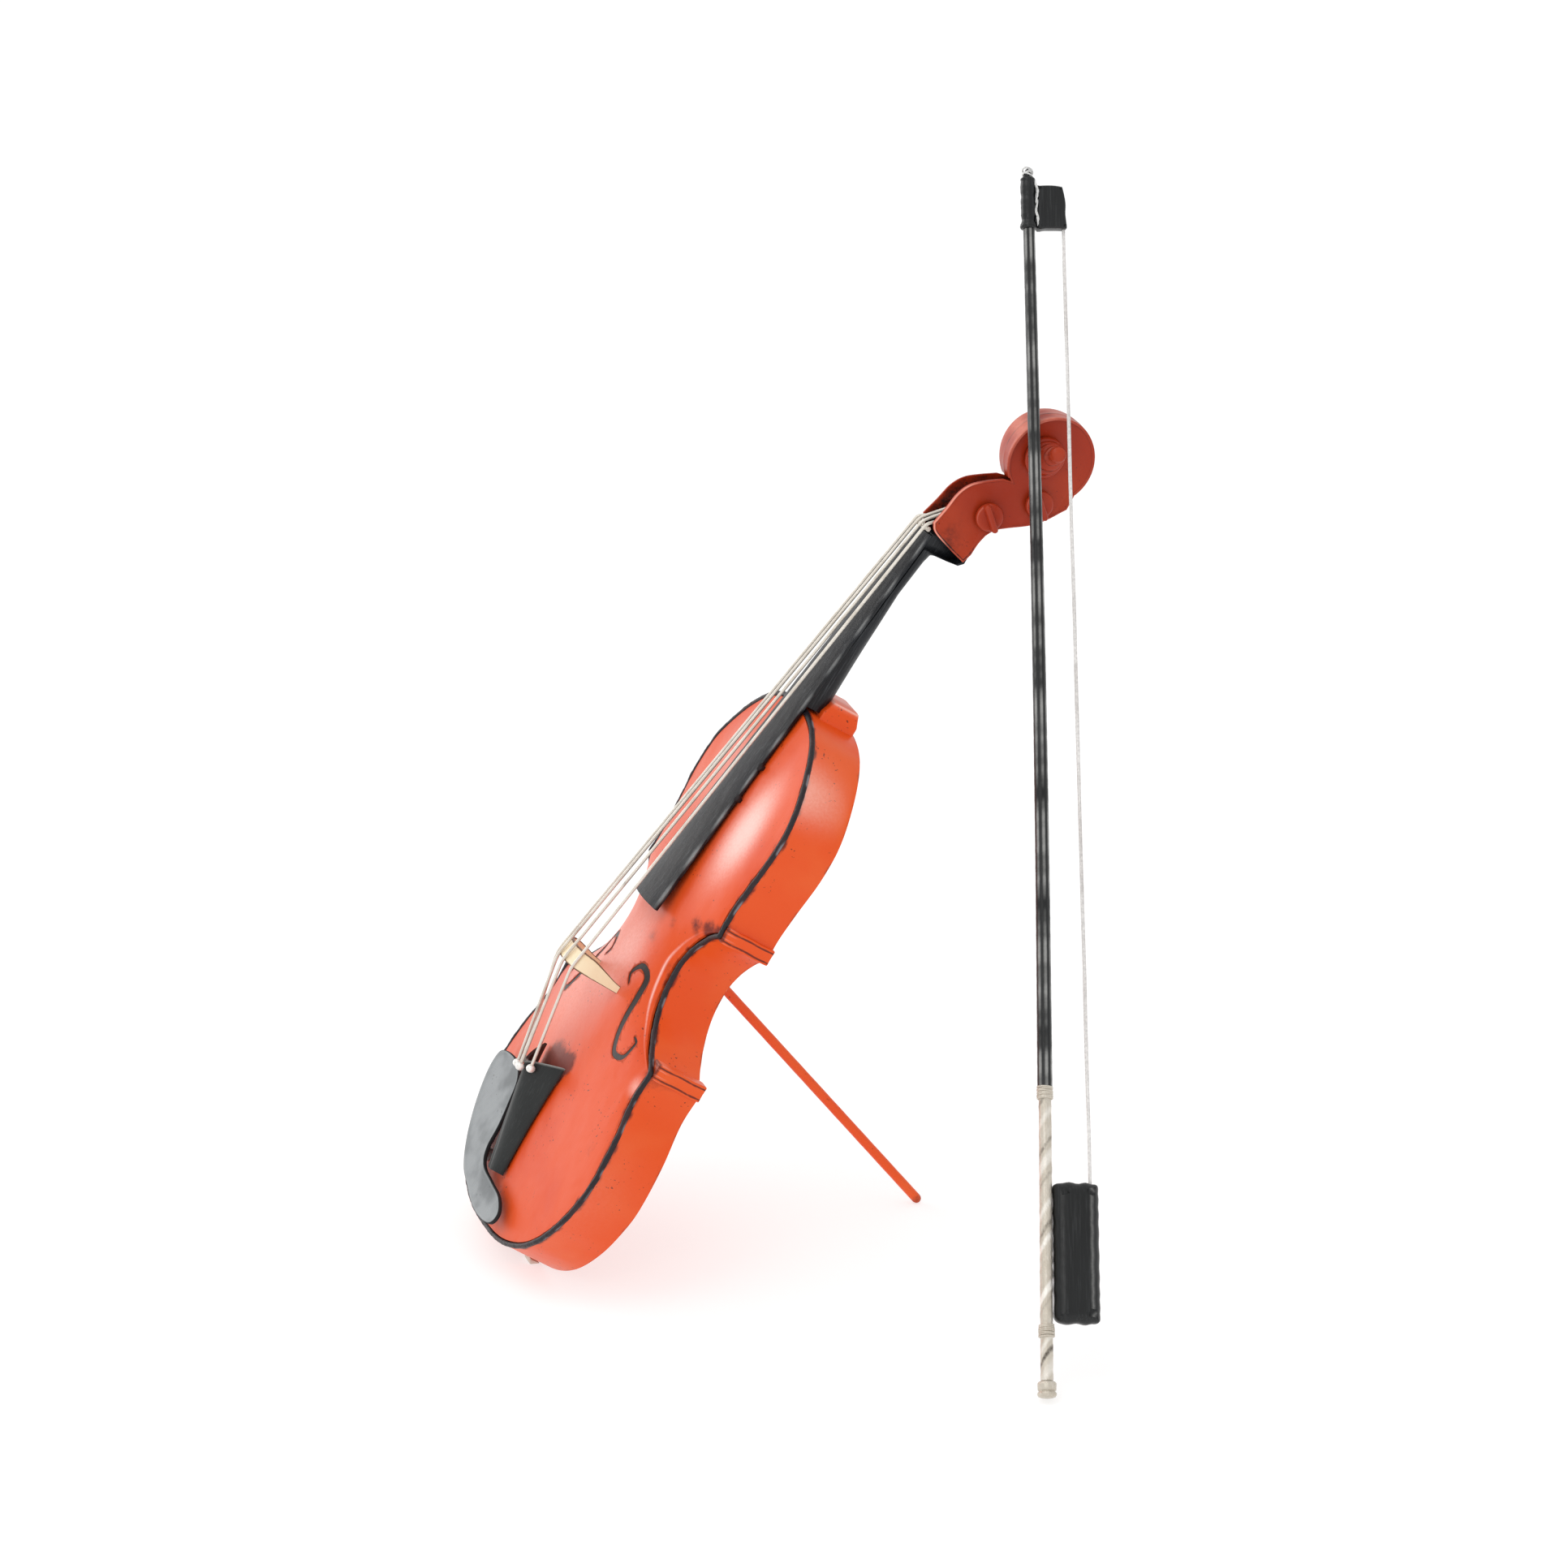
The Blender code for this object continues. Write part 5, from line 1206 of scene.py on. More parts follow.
@dataclass
class Head:
    """Pegbox, scroll and pegs."""

    axes: Axes
    nut: float = 337.0
    nut_half: float = 8.0
    throat_half: float = 5.0
    cheek: float = 1.2
    scroll_radius: float = 18.6
    scroll_front_half: float = 7.7
    scroll_centre: tuple[float, float] = (47.8, -36.2)
    eye_centre: tuple[float, float] = (47.7, -32.6)
    peg_radius: float = 1.5
    peg_head: float = 5.8
    peg_thickness: float = 2.6
    grip_turn: float = -40.0

    def pegs(self) -> dict[Rider, tuple[str, int, float, float]]:
        """Each peg's name, side and place from the nut."""
        return {
            Rider.TREBLE_NEAR: ("peg_treble_near", 1, 16.3, -24.4),
            Rider.TREBLE_FAR: ("peg_treble_far", 1, 30.2, -40.9),
            Rider.BASS_NEAR: ("peg_bass_near", -1, 9.0, -18.0),
            Rider.BASS_FAR: ("peg_bass_far", -1, 23.0, -33.6),
        }

    def half(self, along: Any) -> Any:
        """Outside of a cheek, at a distance from the nut."""
        return self.nut_half + (self.throat_half - self.nut_half) * np.clip(np.asarray(along) / 31.0, 0, 1)

    def cheek_outline(self) -> np.ndarray:
        """Side plate of the pegbox and scroll as a loop, measured from the nut."""
        front = smooth(
            [(3.4, -5.3), (11.0, -7.0), (18.5, -8.4), (24.0, -11.4), (28.3, -16.8), (32.0, -22.6)], 8
        )
        disc = arc(self.scroll_centre, self.scroll_radius - 0.5, 146, -112, 90)
        rear = smooth(
            [(33.5, -53.4), (26.2, -48.2), (21.0, -43.0), (15.5, -34.6), (12.4, -30.4), (8.8, -28.0)], 8
        )
        foot = smooth([(8.8, -28.0), (4.5, -26.9), (-0.8, -26.5)], 8)[1:]
        low = smooth([(-5.0, -25.2), (-2.9, -17.4), (0.2, -8.2), (3.4, -5.3)], 8)[:-1]
        loop = np.vstack([front, disc, rear, foot, low])
        return loop[::-1] if loop_area(loop) < 0 else loop

    def build_cheeks(self) -> None:
        """The two side plates, with painted highlights on their rims and their faces smudged round the pegs.
        """
        outline = self.cheek_outline()
        for side, word in ((1, "treble"), (-1, "bass")):
            rows, worn, grime = [], [], []
            profile = [
                (-self.cheek, 0.8), (-self.cheek, 0.0), (-0.35, 0.0), (-0.1, 0.1), (0.0, 0.35), (-0.02, 0.9),
                (-0.12, 1.6),
            ]
            for level, back in profile:
                ring = inset(outline, min(back, 0.9), closed=True)
                if back > 0.9:
                    ring = inset(ring, (back - 0.9) * 0.35, closed=True)
                rows.append(np.column_stack([np.full(len(ring), level), ring[:, 0], ring[:, 1]]))
                # A painted highlight on the rims, strongest at the front.
                front_rim = np.clip((outline[:, 1] + 16.0) / 6.0, 0, 1) * (outline[:, 0] < 30)
                worn.append((0.75 * front_rim + 0.22) * math.exp(-((level + 0.05) / 0.3) ** 2) * (back < 0.6))
                foot = np.exp(-np.abs(outline[:, 0] + 2) / 3.0) * 0.5
                grime.append(foot + 0.45 * (0.7 < back < 1.3))
            form = Form(self.axes)

            def bend(flat: np.ndarray, side: int = side) -> np.ndarray:
                """Flat points of the plate, set off to its side of the head."""
                out = side * (self.half(flat[:, 1]) + flat[:, 0])
                return np.column_stack([out, flat[:, 1] + self.nut, flat[:, 2]])

            cuts = (0.0, 10.0, 20.0, 31.0)
            form.bent(np.array(rows), cuts, bend, worn=np.array(worn), grime=np.array(grime))
            name = f"pegbox_cheek_{word}"
            form.piece(name + "_plate", Rider.VIOLIN, RUSSET, name, crease=35.0)

    def across_head(self, line: np.ndarray, half: np.ndarray) -> np.ndarray:
        """Rows of nine points across the head, one row for each point of a line in its side view."""
        across = np.linspace(1, -1, 9)
        return np.array([
            np.column_stack([h * across, np.full(9, p[0] + self.nut), np.full(9, p[1])])
            for h, p in zip(half, line)
        ])

    def build_band(self) -> None:
        """The pegbox floor, and the band that goes on round the scroll to the throat."""
        floor_line = smooth(
            [
                (-4.6, -25.6), (-0.7, -26.2), (4.4, -26.5), (8.6, -27.5), (12.1, -29.8), (15.2, -34.0),
                (20.7, -42.4), (25.6, -47.2),
            ], 8,
        )
        inner = inset(floor_line, self.cheek)
        half = self.half(floor_line[:, 0]) - self.cheek - 0.1
        form = Form(self.axes)
        form.shell(self.across_head(floor_line, half), self.across_head(inner, half), grime=0.9)
        form.piece("pegbox_floor", Rider.VIOLIN, RUSSET, "pegbox_back", crease=45.0)

        degrees = np.linspace(-114.0, 140.0, 150)
        rows, worn, grime = [], [], []
        profile = [
            (-1.0, -1.2), (-1.0, -0.3), (-0.97, 0.0), (-0.85, 0.12), (-0.4, 0.06), (0.0, 0.16), (0.1, 0.3),
            (0.2, 0.12), (0.6, 0.06), (0.85, 0.12), (0.97, 0.0), (1.0, -0.3), (1.0, -1.2),
        ]
        for angle in degrees:
            towards = np.array((math.cos(math.radians(angle)), math.sin(math.radians(angle))))
            widen = max(0.0, math.sin(math.radians(min(180.0, max(0.0, angle + 30.0))))) ** 1.5
            half_here = self.throat_half + (self.scroll_front_half - self.throat_half) * widen
            ring = []
            for across_share, proud in profile:
                p = np.array(self.scroll_centre) + towards * (self.scroll_radius + proud * 0.8 - 0.1)
                ring.append((across_share * half_here, p[0] + self.nut, p[1]))
            rows.append(ring)
            # Painted highlights on the band's two rims and across its front face.
            rim_highlight = np.array([math.exp(-((abs(a) - 0.92) / 0.1) ** 2) for a, _ in profile])
            flat = np.array([0.6 if abs(a) < 0.9 else 0.0 for a, _ in profile]) * widen
            worn.append(np.maximum(rim_highlight * (0.25 + 0.5 * widen), flat * (0.6 + 0.4 * math.sin(angle / 9))))
            grime.append(np.array([0.7 * math.exp(-((a - 0.1) / 0.09) ** 2) for a, _ in profile]) * widen)
        form = Form(self.axes)
        form.grid(np.array(rows), rings=True, ends=True, worn=np.array(worn), grime=np.array(grime))
        form.piece("scroll_rim_band", Rider.VIOLIN, RUSSET, "scroll_band", crease=50.0)

    def build_eyes(self) -> None:
        """The stepped eye on each side, whose steps wander as a spiral does."""
        steps = smooth(
            [
                (0.0, 8.4, 0.0), (0.7, 8.5, 0.0), (1.9, 8.3, 0.0), (2.4, 7.7, 0.3), (2.9, 7.2, 0.5),
                (4.2, 7.0, 0.9), (4.8, 6.4, 1.2), (5.2, 5.7, 1.6), (6.4, 5.5, 2.1), (7.0, 4.8, 2.6),
                (7.4, 4.1, 3.0), (8.2, 3.8, 3.4), (8.6, 3.0, 3.8), (9.2, 2.9, 4.0), (9.9, 3.4, 4.3),
                (11.0, 3.5, 4.6), (12.0, 2.9, 4.8), (12.6, 1.9, 4.8), (12.8, 0.6, 4.8),
            ], 4,
        )
        angles = np.linspace(0, 2 * math.pi, 56, endpoint=False)
        for side, word in ((1, "treble"), (-1, "bass")):
            rows, worn, grime = [], [], []
            for height, radius, wander in steps:
                uneven = radius * (1 + 0.025 * np.sin(2 * angles + height))
                rows.append(np.column_stack([
                    np.full(56, side * (self.throat_half + 0.05 + height)),
                    self.nut + self.eye_centre[0] + wander + uneven * np.cos(angles),
                    self.eye_centre[1] + uneven * np.sin(angles),
                ]))
                # Painted shade in the crevice under each step, and a painted highlight on one side of each
                # step's rim.
                crevice_shade = max(math.exp(-((height - level) / 0.35) ** 2) for level in (2.9, 5.2, 7.6, 9.2, 0.0))
                rim = max(math.exp(-((height - level) / 0.4) ** 2) for level in (1.9, 4.2, 6.3, 8.2))
                grime.append(np.full(56, 0.5 * crevice_shade + (1.2 if height < 0.3 else 0.0)))
                worn.append(np.full(56, 0.3 * rim) * np.clip(np.sin(angles), 0, 1))
            form = Form(self.axes)
            form.grid(np.array(rows), rings=True, ends=True, worn=np.array(worn), grime=np.array(grime))
            form.piece(f"scroll_eye_{word}_spiral", Rider.VIOLIN, RUSSET, f"scroll_eye_{word}", crease=70.0)

    def build_pegs(self) -> None:
        """Each peg: a shaft through both cheeks, a soft disc and a rounded grip bar."""
        angles = np.linspace(0, 2 * math.pi, 48, endpoint=False)
        for rider, (name, side, along, out) in self.pegs().items():
            near = float(self.half(along))
            stand, thick, wide = 0.9, self.peg_thickness, self.peg_head
            profile = [
                (-(2 * near - 0.9), self.peg_radius * 0.9), (stand - 0.1, self.peg_radius),
                (stand, self.peg_radius + 0.4), (stand, wide - 0.9), (stand + 0.25, wide - 0.3),
                (stand + 0.8, wide), (stand + thick - 0.8, wide), (stand + thick - 0.25, wide - 0.35),
                (stand + thick, wide - 1.1), (stand + thick + 0.05, wide - 2.0),
            ]
            rows, grime, worn = [], [], []
            for level, radius in profile:
                rows.append(np.column_stack([
                    np.full(48, side * (near + level)), self.nut + along + radius * np.cos(angles),
                    out + radius * np.sin(angles),
                ]))
                grime.append(np.full(48, 0.9 if level < stand + 0.4 else 0.0))
                # A painted highlight on one side of the disc's outer rim.
                rim = 0.35 if abs(level - stand - thick + 0.3) < 0.2 else 0.0
                worn.append(np.full(48, rim) * np.clip(np.sin(angles), 0, 1))
            form = Form(self.axes)
            form.grid(np.array(rows), rings=True, ends=True, grime=np.array(grime), worn=np.array(worn))
            turn = math.radians(self.grip_turn)
            length, breadth = 2 * wide + 1.0, 2.9
            bar_rows = []
            bar = ((-0.3, 0.94), (0.6, 1.0), (1.5, 0.96), (2.2, 0.8), (2.55, 0.55), (2.65, 0.25))
            for level, share in bar:
                ring = rounded_box(length - 2.4 * (1 - share), breadth * share, breadth * share / 2 - 0.01, 6)
                waist = 1 - 0.25 * np.exp(-((ring[:, 0] / 2.2) ** 2))
                ring[:, 1] *= waist
                a = ring[:, 1] * math.cos(turn) - ring[:, 0] * math.sin(turn)
                b = ring[:, 1] * math.sin(turn) + ring[:, 0] * math.cos(turn)
                across = np.full(len(ring), side * (near + stand + thick + level))
                bar_rows.append(np.column_stack([across, self.nut + along + a, out + b]))
            form.grid(np.array(bar_rows), rings=True, ends=True, worn=0.12)
            form.piece(name + "_turned", rider, RUSSET, name, crease=45.0)

    def build(self) -> None:
        """Builds the whole head."""
        self.build_cheeks()
        self.build_band()
        self.build_eyes()
        self.build_pegs()


# ---------------------------------------------------------------------------------------------
# Bridge, strings, tailpiece and chin rest
# ---------------------------------------------------------------------------------------------


@dataclass
class Fittings:
    """What stands on the front: bridge, strings, tailpiece and chin rest."""

    axes: Axes
    body: Body
    neck: Neck
    head: Head
    string_radius: float = 0.7
    string_offset: float = -2.0
    bridge_spacing: float = 7.0
    nut_spacing: float = 4.0
    foot_width: float = 3.1
    bridge_sheet: float = 1.1
    tail_upper: float = 67.5
    tail_lower: float = 21.0
    tail_sheet: float = 1.2

    def bridge_top(self, x: Any) -> Any:
        """Top of the bridge."""
        return 30.7 - (x - self.string_offset) ** 2 * 0.021

    def build_bridge(self) -> None:
        """A strip bent into an arch, cream on its face and brown along its edges."""
        place = self.body.bridge_place
        feet = [(x, float(self.body.front(np.array(x), np.array(place))) + 0.1, 1.0) for x in (14.6, -18.2)]
        treble = [feet[0], (13.9, 12.5, 1.25), (12.9, 17.0, 1.7), (11.2, 23.4, 2.3)]
        bass = [feet[1], (-17.8, 12.5, 1.25), (-17.2, 17.0, 1.7), (-15.6, 23.8, 2.3)]
        crown = [(x, float(self.bridge_top(x)), 2.48) for x in np.linspace(-13.0, 8.8, 9)]
        line = smooth(bass + crown + treble[::-1], 8)
        flat, widths = line[:, :2], line[:, 2] * self.foot_width
        inner = inset(flat, -self.bridge_sheet)
        across = np.linspace(0, 1, 13)
        low = place + 0.3
        fall = 0.34 * (widths - self.foot_width)
        top, under, grime = [], [], []
        for p, q, wide, drop in zip(flat, inner, widths, fall):
            top.append(np.column_stack([np.full(13, p[0]), low + wide * across, p[1] - drop * across]))
            under.append(np.column_stack([np.full(13, q[0]), low + wide * across, q[1] - drop * across]))
            grime.append(np.clip(1.3 * (np.abs(across - 0.5) * 2) ** 9, 0, 1.2))
        form = Form(self.axes)
        form.shell(np.array(top), np.array(under), grime=np.array(grime))
        form.piece("bridge_strip", Rider.VIOLIN, BONE, "bridge", crease=50.0)

    def tail_crest(self, share: float) -> np.ndarray:
        """The ridge of the tailpiece."""
        along = self.tail_lower + (self.tail_upper - self.tail_lower) * share
        return np.array((-3.0, along, 9.6 + 11.4 * share))

    def tail_edge(self, share: float, side: int) -> np.ndarray:
        """Lower edge of the tailpiece's slope on one side."""
        x = -3.0 + side * (7.0 + 8.0 * share)
        y = self.tail_lower + 1.2 + (self.tail_upper - self.tail_lower + 6.0) * share
        z = float(self.body.front(np.array(x), np.array(min(y, 249.0)))) + 0.3 + self.tail_sheet + 0.6
        return np.array((x, y, z))

    def build_tail(self) -> None:
        """The folded tailpiece, with a soft ridge, and painted highlights along its ridge and its upper edge.
        """
        top, under, worn = [], [], []
        spread = np.linspace(-1, 1, 33)
        for share in np.linspace(0, 1, 40):
            crest = self.tail_crest(share)
            ring = []
            for s in spread:
                edge = self.tail_edge(share, 1 if s >= 0 else -1)
                point = crest + (edge - crest) * abs(s)
                point[2] += 1.0 * math.sin(abs(s) * math.pi) * 0.9 - 0.5 * math.exp(-((s / 0.1) ** 2))
                point[2] += 0.05 * math.sin(share * 21 + s * 5)
                ring.append(point)
            top.append(ring)
            under.append([p - (0, 0, self.tail_sheet) for p in ring])
            # Painted highlights along the upper edge and the ridge.
            rim = 1.0 if share > 0.985 else 0.0
            worn.append(rim * (spread > -0.1) * 0.9 + 0.3 * np.exp(-((spread - 0.03) / 0.07) ** 2))
        form = Form(self.axes)
        form.shell(np.array(top), np.array(under), worn=np.array(worn))
        form.piece("tailpiece_folded", Rider.VIOLIN, TAIL_BLACK, "tailpiece", crease=55.0)

    def build_strings(self) -> None:
        """Four wires from the tailpiece over the bridge and the nut to their pegs, with their ball ends."""
        pegs = {"g": Rider.BASS_NEAR, "d": Rider.BASS_FAR, "a": Rider.TREBLE_FAR, "e": Rider.TREBLE_NEAR}
        nut = self.neck.nut_place()
        for index, letter in enumerate("gdae"):
            x = self.string_offset + (index - 1.5) * self.bridge_spacing
            over = float(self.bridge_top(x)) + self.string_radius + 0.2
            bridge = np.array((x, self.body.bridge_place, over))
            nut_x = (index - 1.5) * self.nut_spacing
            sag = 0.6 * self.neck.sagitta(nut) * (nut_x / 6.8) ** 2
            above = self.neck.nut_crown + 0.7 - sag + 1.1 + self.string_radius + 0.2
            over_nut = np.array((nut_x, nut, above))
            tail_x = -3.0 + (index - 1.5) * 4.2
            crest, edge = self.tail_crest(0.955), self.tail_edge(0.955, 1 if tail_x > -3.0 else -1)
            slope = abs(tail_x - crest[0]) / abs(edge[0] - crest[0])
            tail = crest + (edge - crest) * slope + (0, 0, 3.2)
            tail[0] = tail_x
            _, side, along, out = self.head.pegs()[pegs[letter]]
            wrap = side * float(self.head.half(along)) * 0.25 + (index - 1.5) * 0.6
            peg_top = np.array((wrap, nut + along - 0.8, out + 1.6 + self.string_radius + 0.2))
            path = [tail, bridge, over_nut, over_nut + (0, 1.8, -0.5)]
            if along > 18:
                path.append(np.array((nut_x * 0.6 + wrap * 0.4, nut + 18.0, -18.5)))
            path.append(peg_top)
            fine = [path[0]]
            for a, b in zip(path, path[1:]):
                count = max(2, int(np.linalg.norm(b - a) / 2.5))
                fine += [a + (b - a) * k / count for k in range(1, count + 1)]
            line = np.array(fine)
            softened = line.copy()
            softened[1:-1] = 0.25 * line[:-2] + 0.5 * line[1:-1] + 0.25 * line[2:]
            places = np.arange(len(line)) * 2.5
            around = np.linspace(0, 2 * math.pi, 12, endpoint=False)
            dull = np.clip(0.3 * ripple(places, 40.0, index + 3), 0, 1)
            grime = np.broadcast_to(dull[:, None], (len(line), 12))
            # Painted shade along one side of each wire.
            under = np.clip(np.cos(around - 2.2 + index * 0.1), 0, 1)[None, :] * 0.3
            form = Form(self.axes)
            form.tube(softened, self.string_radius, 12, grime=grime + under)
            # Two turns of wire lie round the peg's shaft.
            turns = np.linspace(0, 4 * math.pi, 50)
            coil = np.column_stack([
                wrap + side * turns * 0.11, nut + along + 2.3 * np.sin(turns - 0.4),
                out + 2.3 * np.cos(turns - 0.4),
            ])
            form.tube(coil, self.string_radius * 0.9, 10)
            form.piece(f"string_{letter}_wire", Rider.VIOLIN, WIRE, f"string_{letter}", crease=60.0)
            away = (tail - bridge) / np.linalg.norm(tail - bridge)
            profile = np.array([
                (0.1, 0.6), (0.35, 1.15), (0.9, 1.7), (1.7, 1.95), (2.5, 1.75), (3.1, 1.2), (3.4, 0.55),
                (3.45, 0.1),
            ])
            ball = Form(self.axes)
            ball.tube(tail + away[None, :] * profile[:, :1], profile[:, 1], 24, worn=0.6)
            ball.piece(f"string_ball_{letter}_bead", Rider.VIOLIN, WIRE, f"string_ball_{letter}", crease=80.0)

    def build_rest(self) -> None:
        """The chin rest: a thick kidney-shaped plate, dark along its edge, on two posts."""
        outline = smooth(
            [
                (-49.5, 57.5), (-41.0, 59.8), (-30.0, 59.2), (-22.5, 54.5), (-19.0, 46.0), (-16.0, 36.0),
                (-14.5, 25.5), (-8.5, 20.0), (4.0, 18.2), (17.0, 16.6), (24.5, 12.0),
                (22.5, 6.2), (12.0, 4.2), (0.0, 5.0),
                (-12.0, 8.4), (-24.0, 12.4), (-34.5, 20.5), (-43.5, 31.5), (-49.5, 43.0), (-51.5, 51.5),
            ], 9, closed=True,
        )
        if loop_area(outline) < 0:
            outline = outline[::-1]
        rows, worn, grime = [], [], []
        profile = [
            (0.0, 1.6), (0.0, 0.5), (0.15, 0.1), (0.5, 0.0), (1.3, 0.0), (1.65, 0.12), (1.8, 0.45),
            (1.78, 0.9), (1.62, 1.5),
            (1.45, 2.4), (1.36, 3.6),
        ]
        for level, back in profile:
            ring = inset(outline, back, closed=True)
            base = 7.4 - 0.06 * ring[:, 0]
            rows.append(np.column_stack([ring, base + level]))
            # A painted highlight along the rounded top rim.
            worn.append(np.full(len(ring), 0.3 * math.exp(-((back - 0.9) / 0.35) ** 2) * (level > 1)))
            grime.append(np.full(len(ring), 1.2 if level < 1.7 and back < 1.2 else 0.0))
        form = Form(self.axes)
        form.grid(np.array(rows), rings=True, ends=True, worn=np.array(worn), grime=np.array(grime))
        form.piece("chin_rest_plate", Rider.VIOLIN, IRON, "chin_rest", crease=50.0)
        for index, (x, y) in enumerate(((-38.0, 42.0), (-22.0, 22.0))):
            low = float(self.body.front(np.array(x), np.array(y)))
            high = 7.4 - 0.06 * x + 0.1
            levels = np.linspace(low, high, 8)
            radii = 2.5 + 0.25 * np.abs(np.linspace(-1, 1, 8)) ** 3
            post = Form(self.axes)
            post.tube(np.column_stack([np.full(8, x), np.full(8, y), levels]), radii, 24)
            name = f"chin_rest_post_{index + 1}"
            post.piece(name + "_turned", Rider.VIOLIN, IRON, name)

    def build(self) -> None:
        """Builds the fittings."""
        self.build_bridge()
        self.build_tail()
        self.build_strings()
        self.build_rest()


# ---------------------------------------------------------------------------------------------
# Stand
# ---------------------------------------------------------------------------------------------


@dataclass
class Stand:
    """The prop leg in its bush, and the two pads under the lower end."""

    axes: Axes
    body: Body
    radius: float = 2.0
    place: float = 135.0
    tilt: float = 0.335

    def build_leg(self) -> None:
        """The round leg, painted like the body, with a painted highlight down one side, darker at its foot
        and dark where it leaves the bush.
        """
        axis = np.array((0.0, -self.tilt, -1.0))
        axis /= np.linalg.norm(axis)
        seat = np.array((0.0, self.place, -self.body.depth - 4.0 * 0.98))
        low = self.axes.world(seat)
        fall = (self.axes.turn @ axis)[2]
        run = (low[2] / MM - self.radius) / -fall
        tip = run + np.array([0.7, 1.3, 1.75, 1.97])
        along = np.concatenate([np.linspace(-6.7, 8.0, 20), np.linspace(9.0, run, 110), tip])
        radii = np.concatenate([np.full(130, self.radius), self.radius * np.array([0.93, 0.76, 0.5, 0.2])])
        radii = radii * (1 + 0.012 * ripple(along, 15.0, 6))
        ring = np.exp(-((along - 7.2) / 1.3) ** 2)
        foot = 0.5 * np.exp(-((along - run) / 3.0) ** 2)
        around = np.linspace(0, 2 * math.pi, 28, endpoint=False)
        # A painted highlight line down one side of the leg.
        streak = 0.3 * np.clip(np.cos(around - 2.0), 0, 1)[None, :] ** 6 * np.ones((len(along), 1))
        form = Form(self.axes)
        form.tube(
            seat + axis[None, :] * along[:, None], radii, 28,
            grime=np.broadcast_to((ring + foot)[:, None], (len(along), 28)), worn=streak,
        )
        form.piece("prop_leg_rod", Rider.LEG, ORANGE, "prop_leg", crease=60.0)
        turned = [
            (-9.0, 2.35), (-9.0, 3.2), (1.2, 3.2), (1.9, 3.3), (2.0, 3.9), (2.3, 4.2), (4.6, 4.25),
            (4.9, 4.0), (5.0, 3.4), (5.0, 2.35),
        ]
        bush = Form(self.axes)
        centre = np.array([seat + axis * level for level, _ in turned])
        across = np.array((1.0, 0.0, 0.0))
        up = np.cross(axis, across)
        angles = np.linspace(0, 2 * math.pi, 40, endpoint=False)
        rows = [
            c + r * (np.outer(np.cos(angles), across) + np.outer(np.sin(angles), up))
            for c, (_, r) in zip(centre, turned)
        ]
        bush.grid(np.array(rows), rings=True, loop=True)
        bush.piece("leg_bush", Rider.VIOLIN, BLACK, "leg_socket", crease=40.0)

    def dress_pads(self) -> None:
        """The clear pads, slightly crowned, one at each side of the lower end."""
        for side, word in ((1, "treble"), (-1, "bass")):
            low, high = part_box(f"rest_pad_{word}")
            wide, deep = (high.x - low.x) / MM, (high.y - low.y) / MM
            outline = rounded_box(wide, deep, 0.6, 4)
            place = Matrix.Translation(((low.x + high.x) / 2, (low.y + high.y) / 2, low.z))
            form = Form(Axes(place))
            rows = []
            for share, draw in ((0.0, 0.3), (0.1, 0.0), (0.5, 0.0), (0.85, 0.0), (1.0, 0.25)):
                ring = inset(outline, draw, closed=True)
                slope = 0.1 + (high.z - low.z) / MM * (0.5 - ring[:, 1] / deep) * 0.97
                rows.append(np.column_stack([ring, np.maximum(slope, 0.12) * share]))
            form.grid(np.array(rows), rings=True, ends=True)
            form.piece(f"rest_pad_{word}_cast", Rider.VIOLIN, RUBBER, f"rest_pad_{word}", crease=50.0)

    def build(self) -> None:
        """Builds the leg, its bush and the pads."""
        self.build_leg()
        self.dress_pads()


# ---------------------------------------------------------------------------------------------
# Geometry Nodes
# ---------------------------------------------------------------------------------------------


